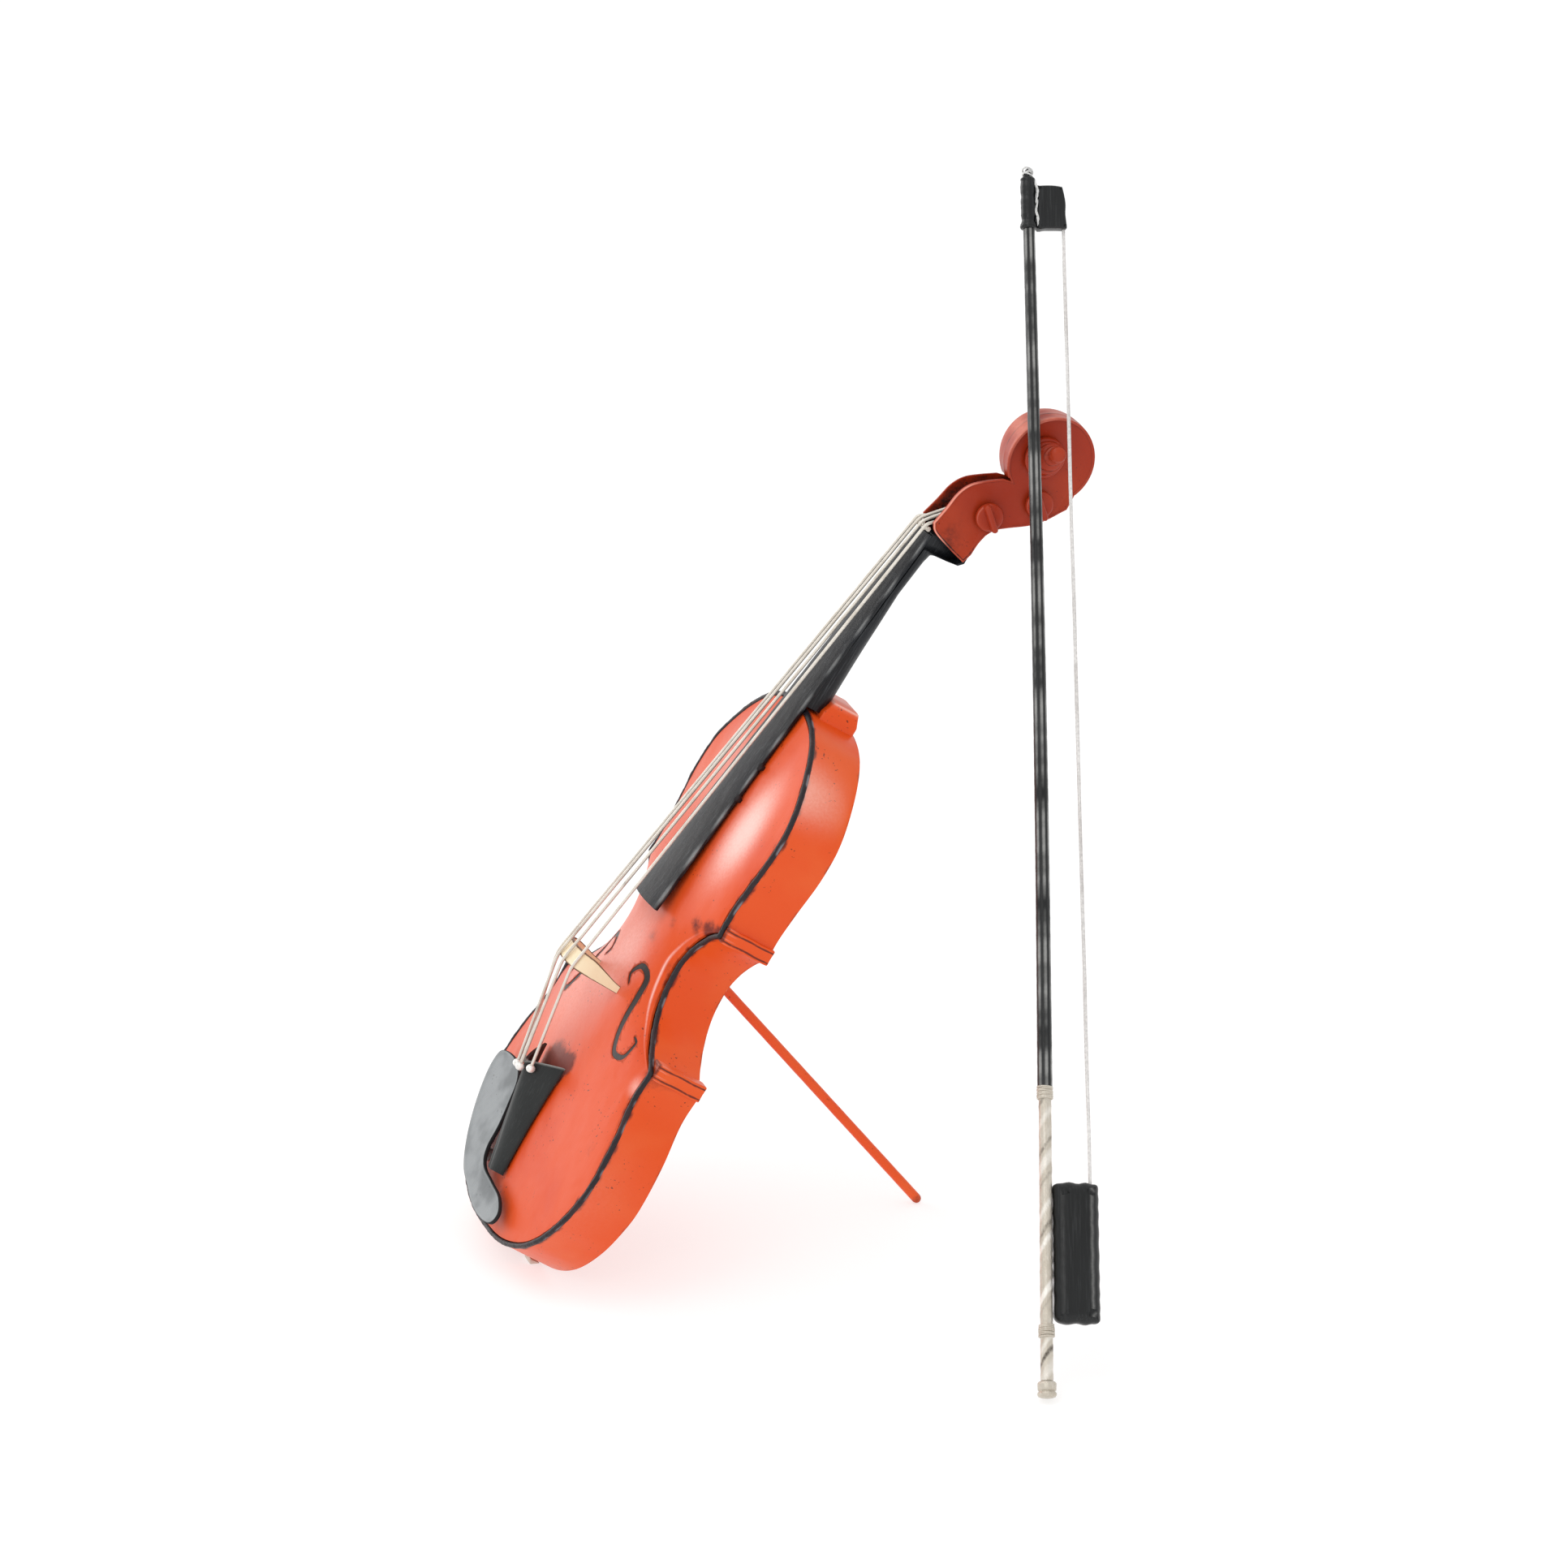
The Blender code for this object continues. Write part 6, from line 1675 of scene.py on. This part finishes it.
class Rule:
    """A Geometry Nodes tree with named inputs, built node by node."""

    def __init__(self, name: str, inputs: dict[str, tuple[str, Any]]) -> None:
        """Starts a tree.

        Args:
            name: The tree's name.
            inputs: Socket type and first value of each named input.
        """
        self.tree = bpy.data.node_groups.new(name, "GeometryNodeTree")
        self.tree.interface.new_socket("Geometry", in_out="INPUT", socket_type="NodeSocketGeometry")
        for label, (kind, value) in inputs.items():
            socket = self.tree.interface.new_socket(label, in_out="INPUT", socket_type=kind)
            if value is not None:
                socket.default_value = value
        self.tree.interface.new_socket("Geometry", in_out="OUTPUT", socket_type="NodeSocketGeometry")
        self.entry = self.tree.nodes.new("NodeGroupInput")

    def input(self, label: str) -> Any:
        """The output of a named input."""
        return self.entry.outputs[label]

    def node(self, kind: str, settings: dict[str, Any], sockets: dict[Any, Any]) -> Any:
        """Adds a node with its settings and its inputs."""
        made = self.tree.nodes.new(kind)
        for name, value in settings.items():
            setattr(made, name, value)
        for key, value in sockets.items():
            if isinstance(value, bpy.types.NodeSocket):
                self.tree.links.new(value, made.inputs[key])
            else:
                made.inputs[key].default_value = value
        return made

    def sum(self, operation: str, first: Any, second: Any) -> Any:
        """The result of a sum with two numbers."""
        return self.node("ShaderNodeMath", {"operation": operation}, {0: first, 1: second}).outputs[0]

    def vector_sum(self, operation: str, first: Any, second: Any, socket: Any = 1) -> Any:
        """The result of a sum with a vector and what goes into a second socket."""
        sockets = {0: first, socket: second}
        return self.node("ShaderNodeVectorMath", {"operation": operation}, sockets).outputs[0]

    def scatter(self, label: str) -> Any:
        """A random vector whose X and Y lie within the named input each way."""
        reach = self.input(label)
        down = self.sum("MULTIPLY", reach, -1.0)
        least = self.node("ShaderNodeCombineXYZ", {}, {"X": down, "Y": down})
        most = self.node("ShaderNodeCombineXYZ", {}, {"X": reach, "Y": reach})
        return self.node(
            "FunctionNodeRandomValue", {"data_type": "FLOAT_VECTOR"},
            {0: least.outputs[0], 1: most.outputs[0], "Seed": self.input("Seed")},
        ).outputs[0]

    def close(self, geometry: Any) -> None:
        """Ends the tree in real geometry that carries the material."""
        real = self.node("GeometryNodeRealizeInstances", {}, {0: geometry})
        sockets = {0: real.outputs[0], "Material": self.input("Material")}
        dressed = self.node("GeometryNodeSetMaterial", {}, sockets)
        self.node("NodeGroupOutput", {}, {0: dressed.outputs[0]})

    def run(
        self, name: str, values: dict[str, Any], axes: Axes, rider: Rider, finish: Finish, *nodes: str
    ) -> bpy.types.Object:
        """Evaluates the tree and makes a plain piece of the result.

        Args:
            name: The piece's name.
            values: A value for each named input.
            axes: The frame that the result is drawn in, in millimetres.
            rider: The body that the piece rides on.
            finish: Its finish.
            *nodes: Nodes that it replaces.

        Returns:
            The new object.
        """
        holder = bpy.data.objects.new(name + "_rule", bpy.data.meshes.new(name + "_rule"))
        bpy.context.scene.collection.objects.link(holder)
        modifier = holder.modifiers.new("rule", "NODES")
        modifier.node_group = self.tree
        wanted = dict(values, Material=finish.material())
        for item in self.tree.interface.items_tree:
            if item.in_out == "INPUT" and item.name in wanted:
                modifier[item.identifier] = wanted[item.name]
        bpy.context.view_layer.update()
        evaluated = holder.evaluated_get(bpy.context.evaluated_depsgraph_get())
        mesh = bpy.data.meshes.new_from_object(evaluated)
        holder.modifiers.clear()
        bpy.data.objects.remove(holder, do_unlink=True)
        local = np.empty(len(mesh.vertices) * 3, np.float32)
        mesh.vertices.foreach_get("co", local)
        lie = mesh.attributes.new("lie", "FLOAT_VECTOR", "POINT")
        lie.data.foreach_set("vector", local)
        world = axes.world(local.reshape(-1, 3)).astype(np.float32)
        mesh.vertices.foreach_set("co", world.ravel())
        mesh.update()
        return settle(mesh, name, rider, finish, *nodes, crease=60.0)


def winding_rule() -> Rule:
    """Turns of wire laid side by side round a rod, each a little uneven."""
    rule = Rule("winding", {
        "Turns": ("NodeSocketInt", 8), "Pitch": ("NodeSocketFloat", 0.7), "Radius": ("NodeSocketFloat", 3.0),
        "Wire": ("NodeSocketFloat", 0.4), "Tilt": ("NodeSocketFloat", 0.08),
        "Play": ("NodeSocketFloat", 0.05),
        "Start": ("NodeSocketVector", (0.0, 0.0, 0.0)), "Seed": ("NodeSocketInt", 1),
        "Material": ("NodeSocketMaterial", None),
    })
    step = rule.node("ShaderNodeCombineXYZ", {}, {"Z": rule.input("Pitch")})
    line = rule.node(
        "GeometryNodeMeshLine", {"mode": "OFFSET"},
        {"Count": rule.input("Turns"), "Start Location": rule.input("Start"), "Offset": step.outputs[0]},
    )
    circle = "GeometryNodeCurvePrimitiveCircle"
    ring = rule.node(circle, {}, {"Resolution": 36, "Radius": rule.input("Radius")})
    wire = rule.node(circle, {}, {"Resolution": 8, "Radius": rule.input("Wire")})
    turn = rule.node("GeometryNodeCurveToMesh", {}, {0: ring.outputs[0], 1: wire.outputs[0]})
    low, high = (rule.sum(way, 1.0, rule.input("Play")) for way in ("SUBTRACT", "ADD"))
    size = rule.node(
        "FunctionNodeRandomValue", {"data_type": "FLOAT"}, {2: low, 3: high, "Seed": rule.input("Seed")}
    )
    placed = rule.node("GeometryNodeInstanceOnPoints", {}, {
        "Points": line.outputs[0], "Instance": turn.outputs[0], "Rotation": rule.scatter("Tilt"),
        "Scale": size.outputs[1],
    })
    rule.close(placed.outputs[0])
    return rule


def strand_rule() -> Rule:
    """Fine strands side by side between two points, each wandering a little."""
    rule = Rule("strands", {
        "Count": ("NodeSocketInt", 14), "Spread": ("NodeSocketFloat", 0.6),
        "Strand": ("NodeSocketFloat", 0.16),
        "Wander": ("NodeSocketFloat", 0.3), "Start": ("NodeSocketVector", (0.0, 0.0, 0.0)),
        "End": ("NodeSocketVector", (0.0, 0.0, 100.0)), "Seed": ("NodeSocketInt", 1),
        "Material": ("NodeSocketMaterial", None),
    })
    start, end = rule.input("Start"), rule.input("End")
    moving, placing = "GeometryNodeSetPosition", "GeometryNodeInstanceOnPoints"
    points = rule.node("GeometryNodePoints", {}, {"Count": rule.input("Count"), "Position": start})
    moved = rule.node(moving, {}, {"Geometry": points.outputs[0], "Offset": rule.scatter("Spread")})
    reach = rule.vector_sum("SUBTRACT", end, start)
    line = rule.node("GeometryNodeCurvePrimitiveLine", {}, {"Start": (0.0, 0.0, 0.0), "End": reach})
    fine = rule.node("GeometryNodeResampleCurve", {}, {"Curve": line.outputs[0], "Count": 90})
    placed = rule.node(placing, {}, {"Points": moved.outputs[0], "Instance": fine.outputs[0]})
    real = rule.node("GeometryNodeRealizeInstances", {}, {0: placed.outputs[0]})
    place = rule.node("GeometryNodeInputPosition", {}, {})
    squeezed = rule.vector_sum("MULTIPLY", place.outputs[0], (0.9, 0.9, 0.02))
    cloud = rule.node("ShaderNodeTexNoise", {}, {"Vector": squeezed, "Scale": 1.0, "Detail": 1.0})
    centred = rule.vector_sum("SUBTRACT", cloud.outputs["Color"], (0.5, 0.5, 0.5))
    wander = rule.vector_sum("SCALE", centred, rule.input("Wander"), "Scale")
    waved = rule.node(moving, {}, {"Geometry": real.outputs[0], "Offset": wander})
    radius = rule.input("Strand")
    section = rule.node("GeometryNodeCurvePrimitiveCircle", {}, {"Resolution": 5, "Radius": radius})
    body = rule.node("GeometryNodeCurveToMesh", {}, {0: waved.outputs[0], 1: section.outputs[0]})
    rule.close(body.outputs[0])
    return rule


# ---------------------------------------------------------------------------------------------
# Bow
# ---------------------------------------------------------------------------------------------


@dataclass
class Bow:
    """The bow: stick, grip, frog, head block and hair."""

    axes: Axes
    length: float = 500.0
    camber: float = 1.6
    stick_low: float = 3.0
    stick_high: float = 2.35
    grip_length: float = 124.0
    grip_radius: float = 2.5
    ring_length: float = 5.4
    button_radius: float = 3.8
    button_length: float = 6.6
    sleeve_radius: float = 3.4
    sleeve_length: float = 21.5
    winding_length: float = 4.0
    frog_length: float = 56.0
    frog_depth: float = 18.4
    frog_thickness: float = 9.0
    frog_place: float = 29.5
    head_length: float = 17.8
    head_depth: float = 12.1
    head_thickness: float = 6.0

    def centre(self, z: Any) -> np.ndarray:
        """Points on the stick's line, which bends a little towards the hair."""
        heights = np.atleast_1d(np.asarray(z, dtype=float))
        return np.column_stack([self.camber * np.sin(math.pi * heights / self.length), 0 * heights, heights])

    def rod(
        self, name: str, profile: np.ndarray, finish: Finish, *nodes: str, seed: int = 1,
        lumps: float = 0.02, **marks: Any,
    ) -> None:
        """A turned length on the stick's line.

        Args:
            name: The piece's name.
            profile: Rows of height and radius.
            finish: Its finish.
            *nodes: Nodes that it replaces.
            seed: Chooses its lumps.
            lumps: Their size, as a share of the radius.
            **marks: Values of heights by 28 sides, or one for all.
        """
        form = Form(self.axes)
        radii = profile[:, 1] * (1 + lumps * ripple(profile[:, 0], 6.0, seed))
        form.tube(self.centre(profile[:, 0]), radii, 28, **marks)
        form.piece(name, Rider.BOW, finish, *nodes, crease=55.0)

    def build_grip(self, winding: Rule) -> None:
        """The bare metal grip with its two wound rings and the end button."""
        button = np.array([
            (0.0, 0.4), (0.05, 2.6), (0.4, 3.4), (1.2, 3.75), (1.9, 3.7), (2.2, 3.35), (2.7, 3.3),
            (3.0, 3.7), (4.4, 3.8), (5.6, 3.75), (6.2, 3.4), (6.5, 2.7), (6.6, 1.0),
        ])
        self.rod("bow_end_button_cast", button, CHAMPAGNE, "bow_end_button", lumps=0.03)
        low_ring = self.frog_place - self.ring_length - 0.3
        high_ring = self.grip_length - self.ring_length
        for name, start, end, node in (
            ("bow_grip_low_tube", self.button_length + 0.1, low_ring + 0.5, "bow_grip_lower"),
            ("bow_grip_tube", low_ring + self.ring_length - 0.4, high_ring + 0.4, "bow_grip"),
        ):
            heights = np.linspace(start, end, int((end - start) / 0.8))
            lumps = 0.05 * np.maximum(0, ripple(heights, 13.0, 12, 4)) ** 2
            around = np.linspace(0, 2 * math.pi, 28, endpoint=False)[None, :]
            patch = ripple(heights[:, None] + 4.0 * np.cos(around), 19.0, 5)
            worn, grime = np.clip(patch, 0, 1) * 0.8, np.clip(-0.2 - patch, 0, 1) * 0.6
            profile = np.column_stack([heights, self.grip_radius * (1 + lumps)])
            self.rod(name, profile, CHAMPAGNE, node, worn=worn, grime=grime)
        for name, start, node, seed in (
            ("bow_ring_lower_wound", low_ring, "bow_ring_lower", 3),
            ("bow_ring_upper_wound", high_ring, "bow_ring_upper", 5),
        ):
            heights = np.linspace(start + 0.2, start + self.ring_length - 0.2, 14)
            share = np.linspace(-1, 1, 14)
            core = np.column_stack([heights, 2.6 + 0.35 * (1 - share**4)])
            self.rod(name + "_core", core, CHAMPAGNE, node, seed=seed)
            base = self.centre(start + 0.5)[0]
            winding.run(
                name, {
                    "Turns": 7, "Pitch": 0.73, "Radius": 2.85, "Wire": 0.4, "Tilt": 0.06, "Play": 0.04,
                    "Start": tuple(base), "Seed": seed,
                }, self.axes, Rider.BOW, CHAMPAGNE,
            )

    def build_stick(self) -> None:
        """The long black stick."""
        low = self.grip_length - 0.2
        high = self.length - self.winding_length - self.sleeve_length + 0.4
        heights = np.linspace(low, high, 260)
        share = (heights - low) / (high - low)
        radii = self.stick_low + (self.stick_high - self.stick_low) * share
        around = np.linspace(0, 2 * math.pi, 28, endpoint=False)
        # Painted highlights: thin lighter lines running along the stick.
        lines = sum(np.clip(np.cos(around - turn), 0, 1) ** 40 for turn in np.arange(0.35, 6.2, 0.9))
        worn = lines[None, :] * np.clip(0.62 + 0.5 * ripple(heights, 47.0, 61, 4), 0, 1)[:, None]
        profile = np.column_stack([heights, radii])
        self.rod("bow_stick_rod", profile, STICK_BLACK, "bow_stick", lumps=0.012, seed=44, worn=worn)

    def build_tip(self, winding: Rule) -> None:
        """The sleeve at the tip with its lumpy collar, the thread on top, and the head block."""
        low = self.length - self.winding_length - self.sleeve_length
        high = low + self.sleeve_length
        sleeve = np.array([
            (low, 2.4), (low + 0.1, 3.1), (low + 0.5, 3.45), (low + 1.3, 3.5), (low + 2.1, 3.3),
            (low + 2.7, 3.0), (low + 5.0, 2.95), (low + 9.0, 3.1), (low + 13.0, 2.95), (low + 17.0, 3.05),
            (high - 1.5, 2.95), (high - 0.5, 2.8), (high, 2.3),
        ])
        fine = smooth(sleeve, 5)
        self.rod("bow_tip_sleeve_rubber", fine, STICK_BLACK, "bow_tip_sleeve", lumps=0.05, seed=9)
        base = self.centre(high - 0.3)[0]
        core = np.array([
            (high - 0.5, 1.2), (high + 0.5, 1.7), (high + 2.0, 1.4), (high + 3.2, 0.9), (high + 3.8, 0.3),
        ])
        self.rod("bow_tip_thread_core", core, STICK_BLACK, "bow_tip_winding", lumps=0.1)
        winding.run(
            "bow_tip_thread_loops", {
                "Turns": 7, "Pitch": 0.5, "Radius": 1.65, "Wire": 0.28, "Tilt": 0.55, "Play": 0.3,
                "Start": tuple(base), "Seed": 8,
            }, self.axes, Rider.BOW, THREAD,
        )
        head_x = self.centre(low)[0, 0] + self.sleeve_radius - 0.25
        head_low = low + 0.4
        deep, tall = self.head_depth, self.head_length
        outline = smooth(
            [
                (0.0, 0.0), (4.0, -0.15), (8.5, 0.1), (deep - 0.6, 0.2), (deep, 0.9), (deep - 0.5, 6.0),
                (deep - 0.4, 11.0), (deep - 1.5, tall - 1.0), (deep - 2.3, tall - 0.2), (6.0, tall + 0.1),
                (1.0, tall - 0.3), (0.0, tall - 1.0), (0.1, tall * 0.5),
            ], 4, closed=True,
        )
        form = Form(self.axes)
        half = self.head_thickness / 2
        form.pillow(
            outline + (head_x, head_low), -half, half, 1.1,
            lambda flat, level: np.column_stack([flat[:, 0], np.full(len(flat), level), flat[:, 1]]),
        )
        form.piece("bow_head_block", Rider.BOW, STICK_BLACK, "bow_head", crease=50.0)
        # Beads of glue run down between the sleeve and the block.
        glue = Form(self.axes)
        for index in range(9):
            z = low + 3.0 + index * 1.9
            centre = np.array((head_x - 0.3 + 0.3 * math.sin(index * 2.1), -2.6 - 0.3 * math.cos(index), z))
            path = np.array([centre + (0.25 * math.sin(k + index), 0.1 * k, 1.1 * (k - 2)) for k in range(5)])
            glue.tube(path, np.array([0.12, 0.36, 0.42, 0.34, 0.1]), 10)
        glue.piece("bow_head_glue_beads", Rider.BOW, THREAD, crease=80.0)

    def build_frog(self) -> None:
        """The frog: a plump black box with uneven edges."""
        start = self.centre(self.frog_place + self.frog_length)[0, 0] + self.grip_radius + 0.1
        outline = rounded_box(self.frog_depth, self.frog_length, 2.6, 6)
        loop = divided(outline, 1.4)
        along = np.concatenate([[0.0], np.cumsum(np.linalg.norm(np.diff(loop, axis=0), axis=1))])
        total = along[-1] + np.linalg.norm(loop[0] - loop[-1])
        wave = 0.22 * np.sin(along / total * 2 * math.pi * 21 + 2 * np.sin(along / total * 2 * math.pi * 3))
        middle = (start + self.frog_depth / 2, self.frog_place + self.frog_length / 2)
        loop = loop * (1 + (wave / 20.0)[:, None]) + middle
        half = self.frog_thickness / 2
        rings = [
            (-half, 5.0), (-half + 0.2, 3.6), (-half + 0.9, 1.9), (-half + 1.9, 0.7), (-half + 3.0, 0.1),
            (0.0, 0.0),
        ]
        rings += [(-level, back) for level, back in rings[-2::-1]]
        rows, worn = [], []
        for level, back in rings:
            flat = inset(loop, back, closed=True)
            rows.append(np.column_stack([flat[:, 0], np.full(len(flat), level), flat[:, 1]]))
            # A painted highlight along one bevel on the side away from the stick.
            right = np.clip((loop[:, 0] - start - self.frog_depth + 3.0) / 3.0, 0, 1)
            worn.append(0.45 * right * (abs(back - 3.6) < 0.2))
        form = Form(self.axes)
        form.grid(np.array(rows), rings=True, ends=True, worn=np.array(worn))
        form.piece("bow_frog_pillow", Rider.BOW, STICK_BLACK, "bow_frog", crease=60.0)

    def build_hair(self, strands: Rule) -> None:
        """The hair: a narrow band of clear strands from the frog to the head block."""
        low = self.frog_place + self.frog_length - 0.8
        high = self.length - self.winding_length - self.sleeve_length + 0.8
        strands.run(
            "bow_hair_strands", {
                "Count": 26, "Spread": 0.5, "Strand": 0.18, "Wander": 0.6, "Start": (19.0, 0.0, low),
                "End": (14.6, 0.0, high), "Seed": 4,
            }, self.axes, Rider.BOW, HAIR, "bow_hair",
        )

    def build(self) -> None:
        """Builds the whole bow."""
        winding, strands = winding_rule(), strand_rule()
        self.build_grip(winding)
        self.build_stick()
        self.build_tip(winding)
        self.build_frog()
        self.build_hair(strands)


# ---------------------------------------------------------------------------------------------
# Studio
# ---------------------------------------------------------------------------------------------


@dataclass
class Studio:
    """Pale floor, soft lights and the camera."""

    origin: Vector
    eye: Vector = field(default_factory=lambda: Vector((3.43213, -0.83507, 1.4550)))
    aim: Vector = field(default_factory=lambda: Vector((0.13363, 0.09083, 0.2378)))
    roll: float = -0.51
    view: float = 9.55
    world_light: float = 0.86

    def lay_floor(self) -> None:
        """A wide pale floor under the object."""
        mesh = bpy.data.meshes.new("studio_floor")
        reach, count = 9.0, 12
        ticks = np.linspace(-reach, reach, count + 1)
        points = [(x, y, 0.0) for y in ticks for x in ticks]
        faces = []
        for r in range(count):
            for c in range(count):
                a = r * (count + 1) + c
                faces.append((a, a + 1, a + count + 2, a + count + 1))
        mesh.from_pydata(points, [], faces)
        floor = bpy.data.objects.new("studio_floor", mesh)
        bpy.context.scene.collection.objects.link(floor)
        graph = Graph("studio_floor_white")
        shader = graph.node(
            "ShaderNodeBsdfPrincipled", {}, {
                "Base Color": (0.45, 0.45, 0.45), "Roughness": 0.9, "Specular IOR Level": 0.1,
                "Emission Color": (1.0, 1.0, 1.0), "Emission Strength": 0.62,
            }
        )
        graph.node("ShaderNodeOutputMaterial", {}, {0: shader.outputs[0]})
        mesh.materials.append(graph.material)

    def light(
        self, name: str, towards: Sequence[float], distance: float, size: float, power: float, tint: Colour
    ) -> None:
        """A square soft light that faces the object.

        Args:
            name: Its name.
            towards: Direction from the object to the light.
            distance: How far away it is, in metres.
            size: Its side, in metres.
            power: Its power, in watts.
            tint: Its colour.
        """
        data = bpy.data.lights.new(name, "AREA")
        data.shape, data.size, data.energy, data.color = "SQUARE", size, power, tint
        lamp = bpy.data.objects.new(name, data)
        bpy.context.scene.collection.objects.link(lamp)
        way = Vector(towards).normalized()
        lamp.location = self.origin + Vector((0.0, 0.1, 0.15)) + way * distance
        lamp.rotation_euler = way.to_track_quat("Z", "Y").to_euler()

    def light_room(self) -> None:
        """White surroundings, one broad light from the left and one from above."""
        world = bpy.data.worlds.new("studio_white")
        world.use_nodes = True
        world.node_tree.nodes["Background"].inputs[0].default_value = (1.0, 1.0, 1.0, 1.0)
        world.node_tree.nodes["Background"].inputs[1].default_value = self.world_light
        bpy.context.scene.world = world
        self.light("left_softbox", (-0.75, -0.62, 0.28), 2.2, 1.3, 12.0, (1.0, 0.97, 0.96))
        self.light("top_softbox", (0.1, -0.35, 1.0), 2.4, 1.5, 9.0, (1.0, 0.98, 0.97))
        self.light("front_fill", (0.9, -0.5, 0.6), 3.0, 1.2, 8.0, (1.0, 0.98, 0.96))

    def set_camera(self) -> None:
        """The camera, looking from the treble side and a little above."""
        eye, aim = self.origin + self.eye, self.origin + self.aim
        eye.z, aim.z = self.eye.z, self.aim.z
        back = (eye - aim).normalized()
        right = Vector((-back.y, back.x, 0.0)).normalized()
        up = back.cross(right)
        turn = math.radians(self.roll)
        right, up = right * math.cos(turn) + up * math.sin(turn), up * math.cos(turn) - right * math.sin(turn)
        data = bpy.data.cameras.new("studio_camera")
        data.sensor_fit, data.sensor_width = "HORIZONTAL", 36.0
        data.angle = math.radians(self.view)
        data.clip_start, data.clip_end = 0.1, 50.0
        camera = bpy.data.objects.new("studio_camera", data)
        bpy.context.scene.collection.objects.link(camera)
        matrix = Matrix((right, up, back)).transposed().to_4x4()
        matrix.translation = eye
        camera.matrix_world = matrix
        bpy.context.scene.camera = camera

    def build(self) -> None:
        """Sets the studio up."""
        bpy.context.scene.view_settings.view_transform = "Standard"
        self.lay_floor()
        self.light_room()
        self.set_camera()


# ---------------------------------------------------------------------------------------------
# Frames
# ---------------------------------------------------------------------------------------------


def violin_axes(lean: float = 32.9, depth: float = 23.2) -> Axes:
    """The violin's frame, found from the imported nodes.

    Args:
        lean: How far the body leans back, in degrees.
        depth: Depth of the side walls.

    Returns:
        The frame.
    """
    sine, cosine = math.sin(math.radians(lean)), math.cos(math.radians(lean))
    bead_low, bead_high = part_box("edge_bead")
    pad_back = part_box("rest_pad_treble")[1].y
    y = pad_back - ((depth - 0.8) * cosine - 0.3 * sine) * MM
    matrix = Matrix(((1, 0, 0), (0, sine, -cosine), (0, cosine, sine))).to_4x4()
    matrix.translation = Vector(((bead_low.x + bead_high.x) / 2, y, depth * sine * MM))
    return Axes(matrix)


def bow_axes(
    violin: Axes, head: Head, foot: tuple[float, float] = (213.6, 172.8), lean_angle: float = 66.0
) -> Axes:
    """The bow's frame: it stands on its button and leans on the scroll's treble rim.

    Args:
        violin: The violin's frame.
        head: The head, for its scroll.
        foot: Where the bow stands on the floor, from the violin's lower end.
        lean_angle: Where on the scroll's rim it leans, in degrees.

    Returns:
        The frame.
    """
    angle = math.radians(lean_angle)
    centre = head.scroll_centre
    along, out = head.scroll_radius * math.cos(angle), head.scroll_radius * math.sin(angle)
    rim = (head.nut + centre[0] + along, centre[1] + out)
    clear = head.scroll_front_half + Bow.stick_high * 1.25 + 0.6
    contact = Vector(violin.world(np.array((clear, rim[0], rim[1]))))
    base = Vector((violin.origin[0] + foot[0] * MM, violin.origin[1] + foot[1] * MM, 0.0))
    for _ in range(4):
        up = (contact - base).normalized()
        base.z = Bow.button_radius * MM * math.sqrt(1 - up.z * up.z)
    away = Vector((up.z, 0.0, -up.x)).normalized()
    matrix = Matrix((up.cross(away), -away, up)).transposed().to_4x4()
    matrix.translation = base
    return Axes(matrix)


def main() -> None:
    """Builds every sub-assembly in order."""
    logging.basicConfig(level=logging.INFO, format="%(name)s %(message)s")
    axes = violin_axes()
    body = Body(axes)
    neck = Neck(axes, body)
    head = Head(axes, nut=neck.nut_place())
    fittings = Fittings(axes, body, neck, head)
    for part in (body, neck, head, fittings, Stand(axes, body), Bow(bow_axes(axes, head))):
        part.build()
    Studio(Vector(axes.origin)).build()


if __name__ == "__main__":
    main()
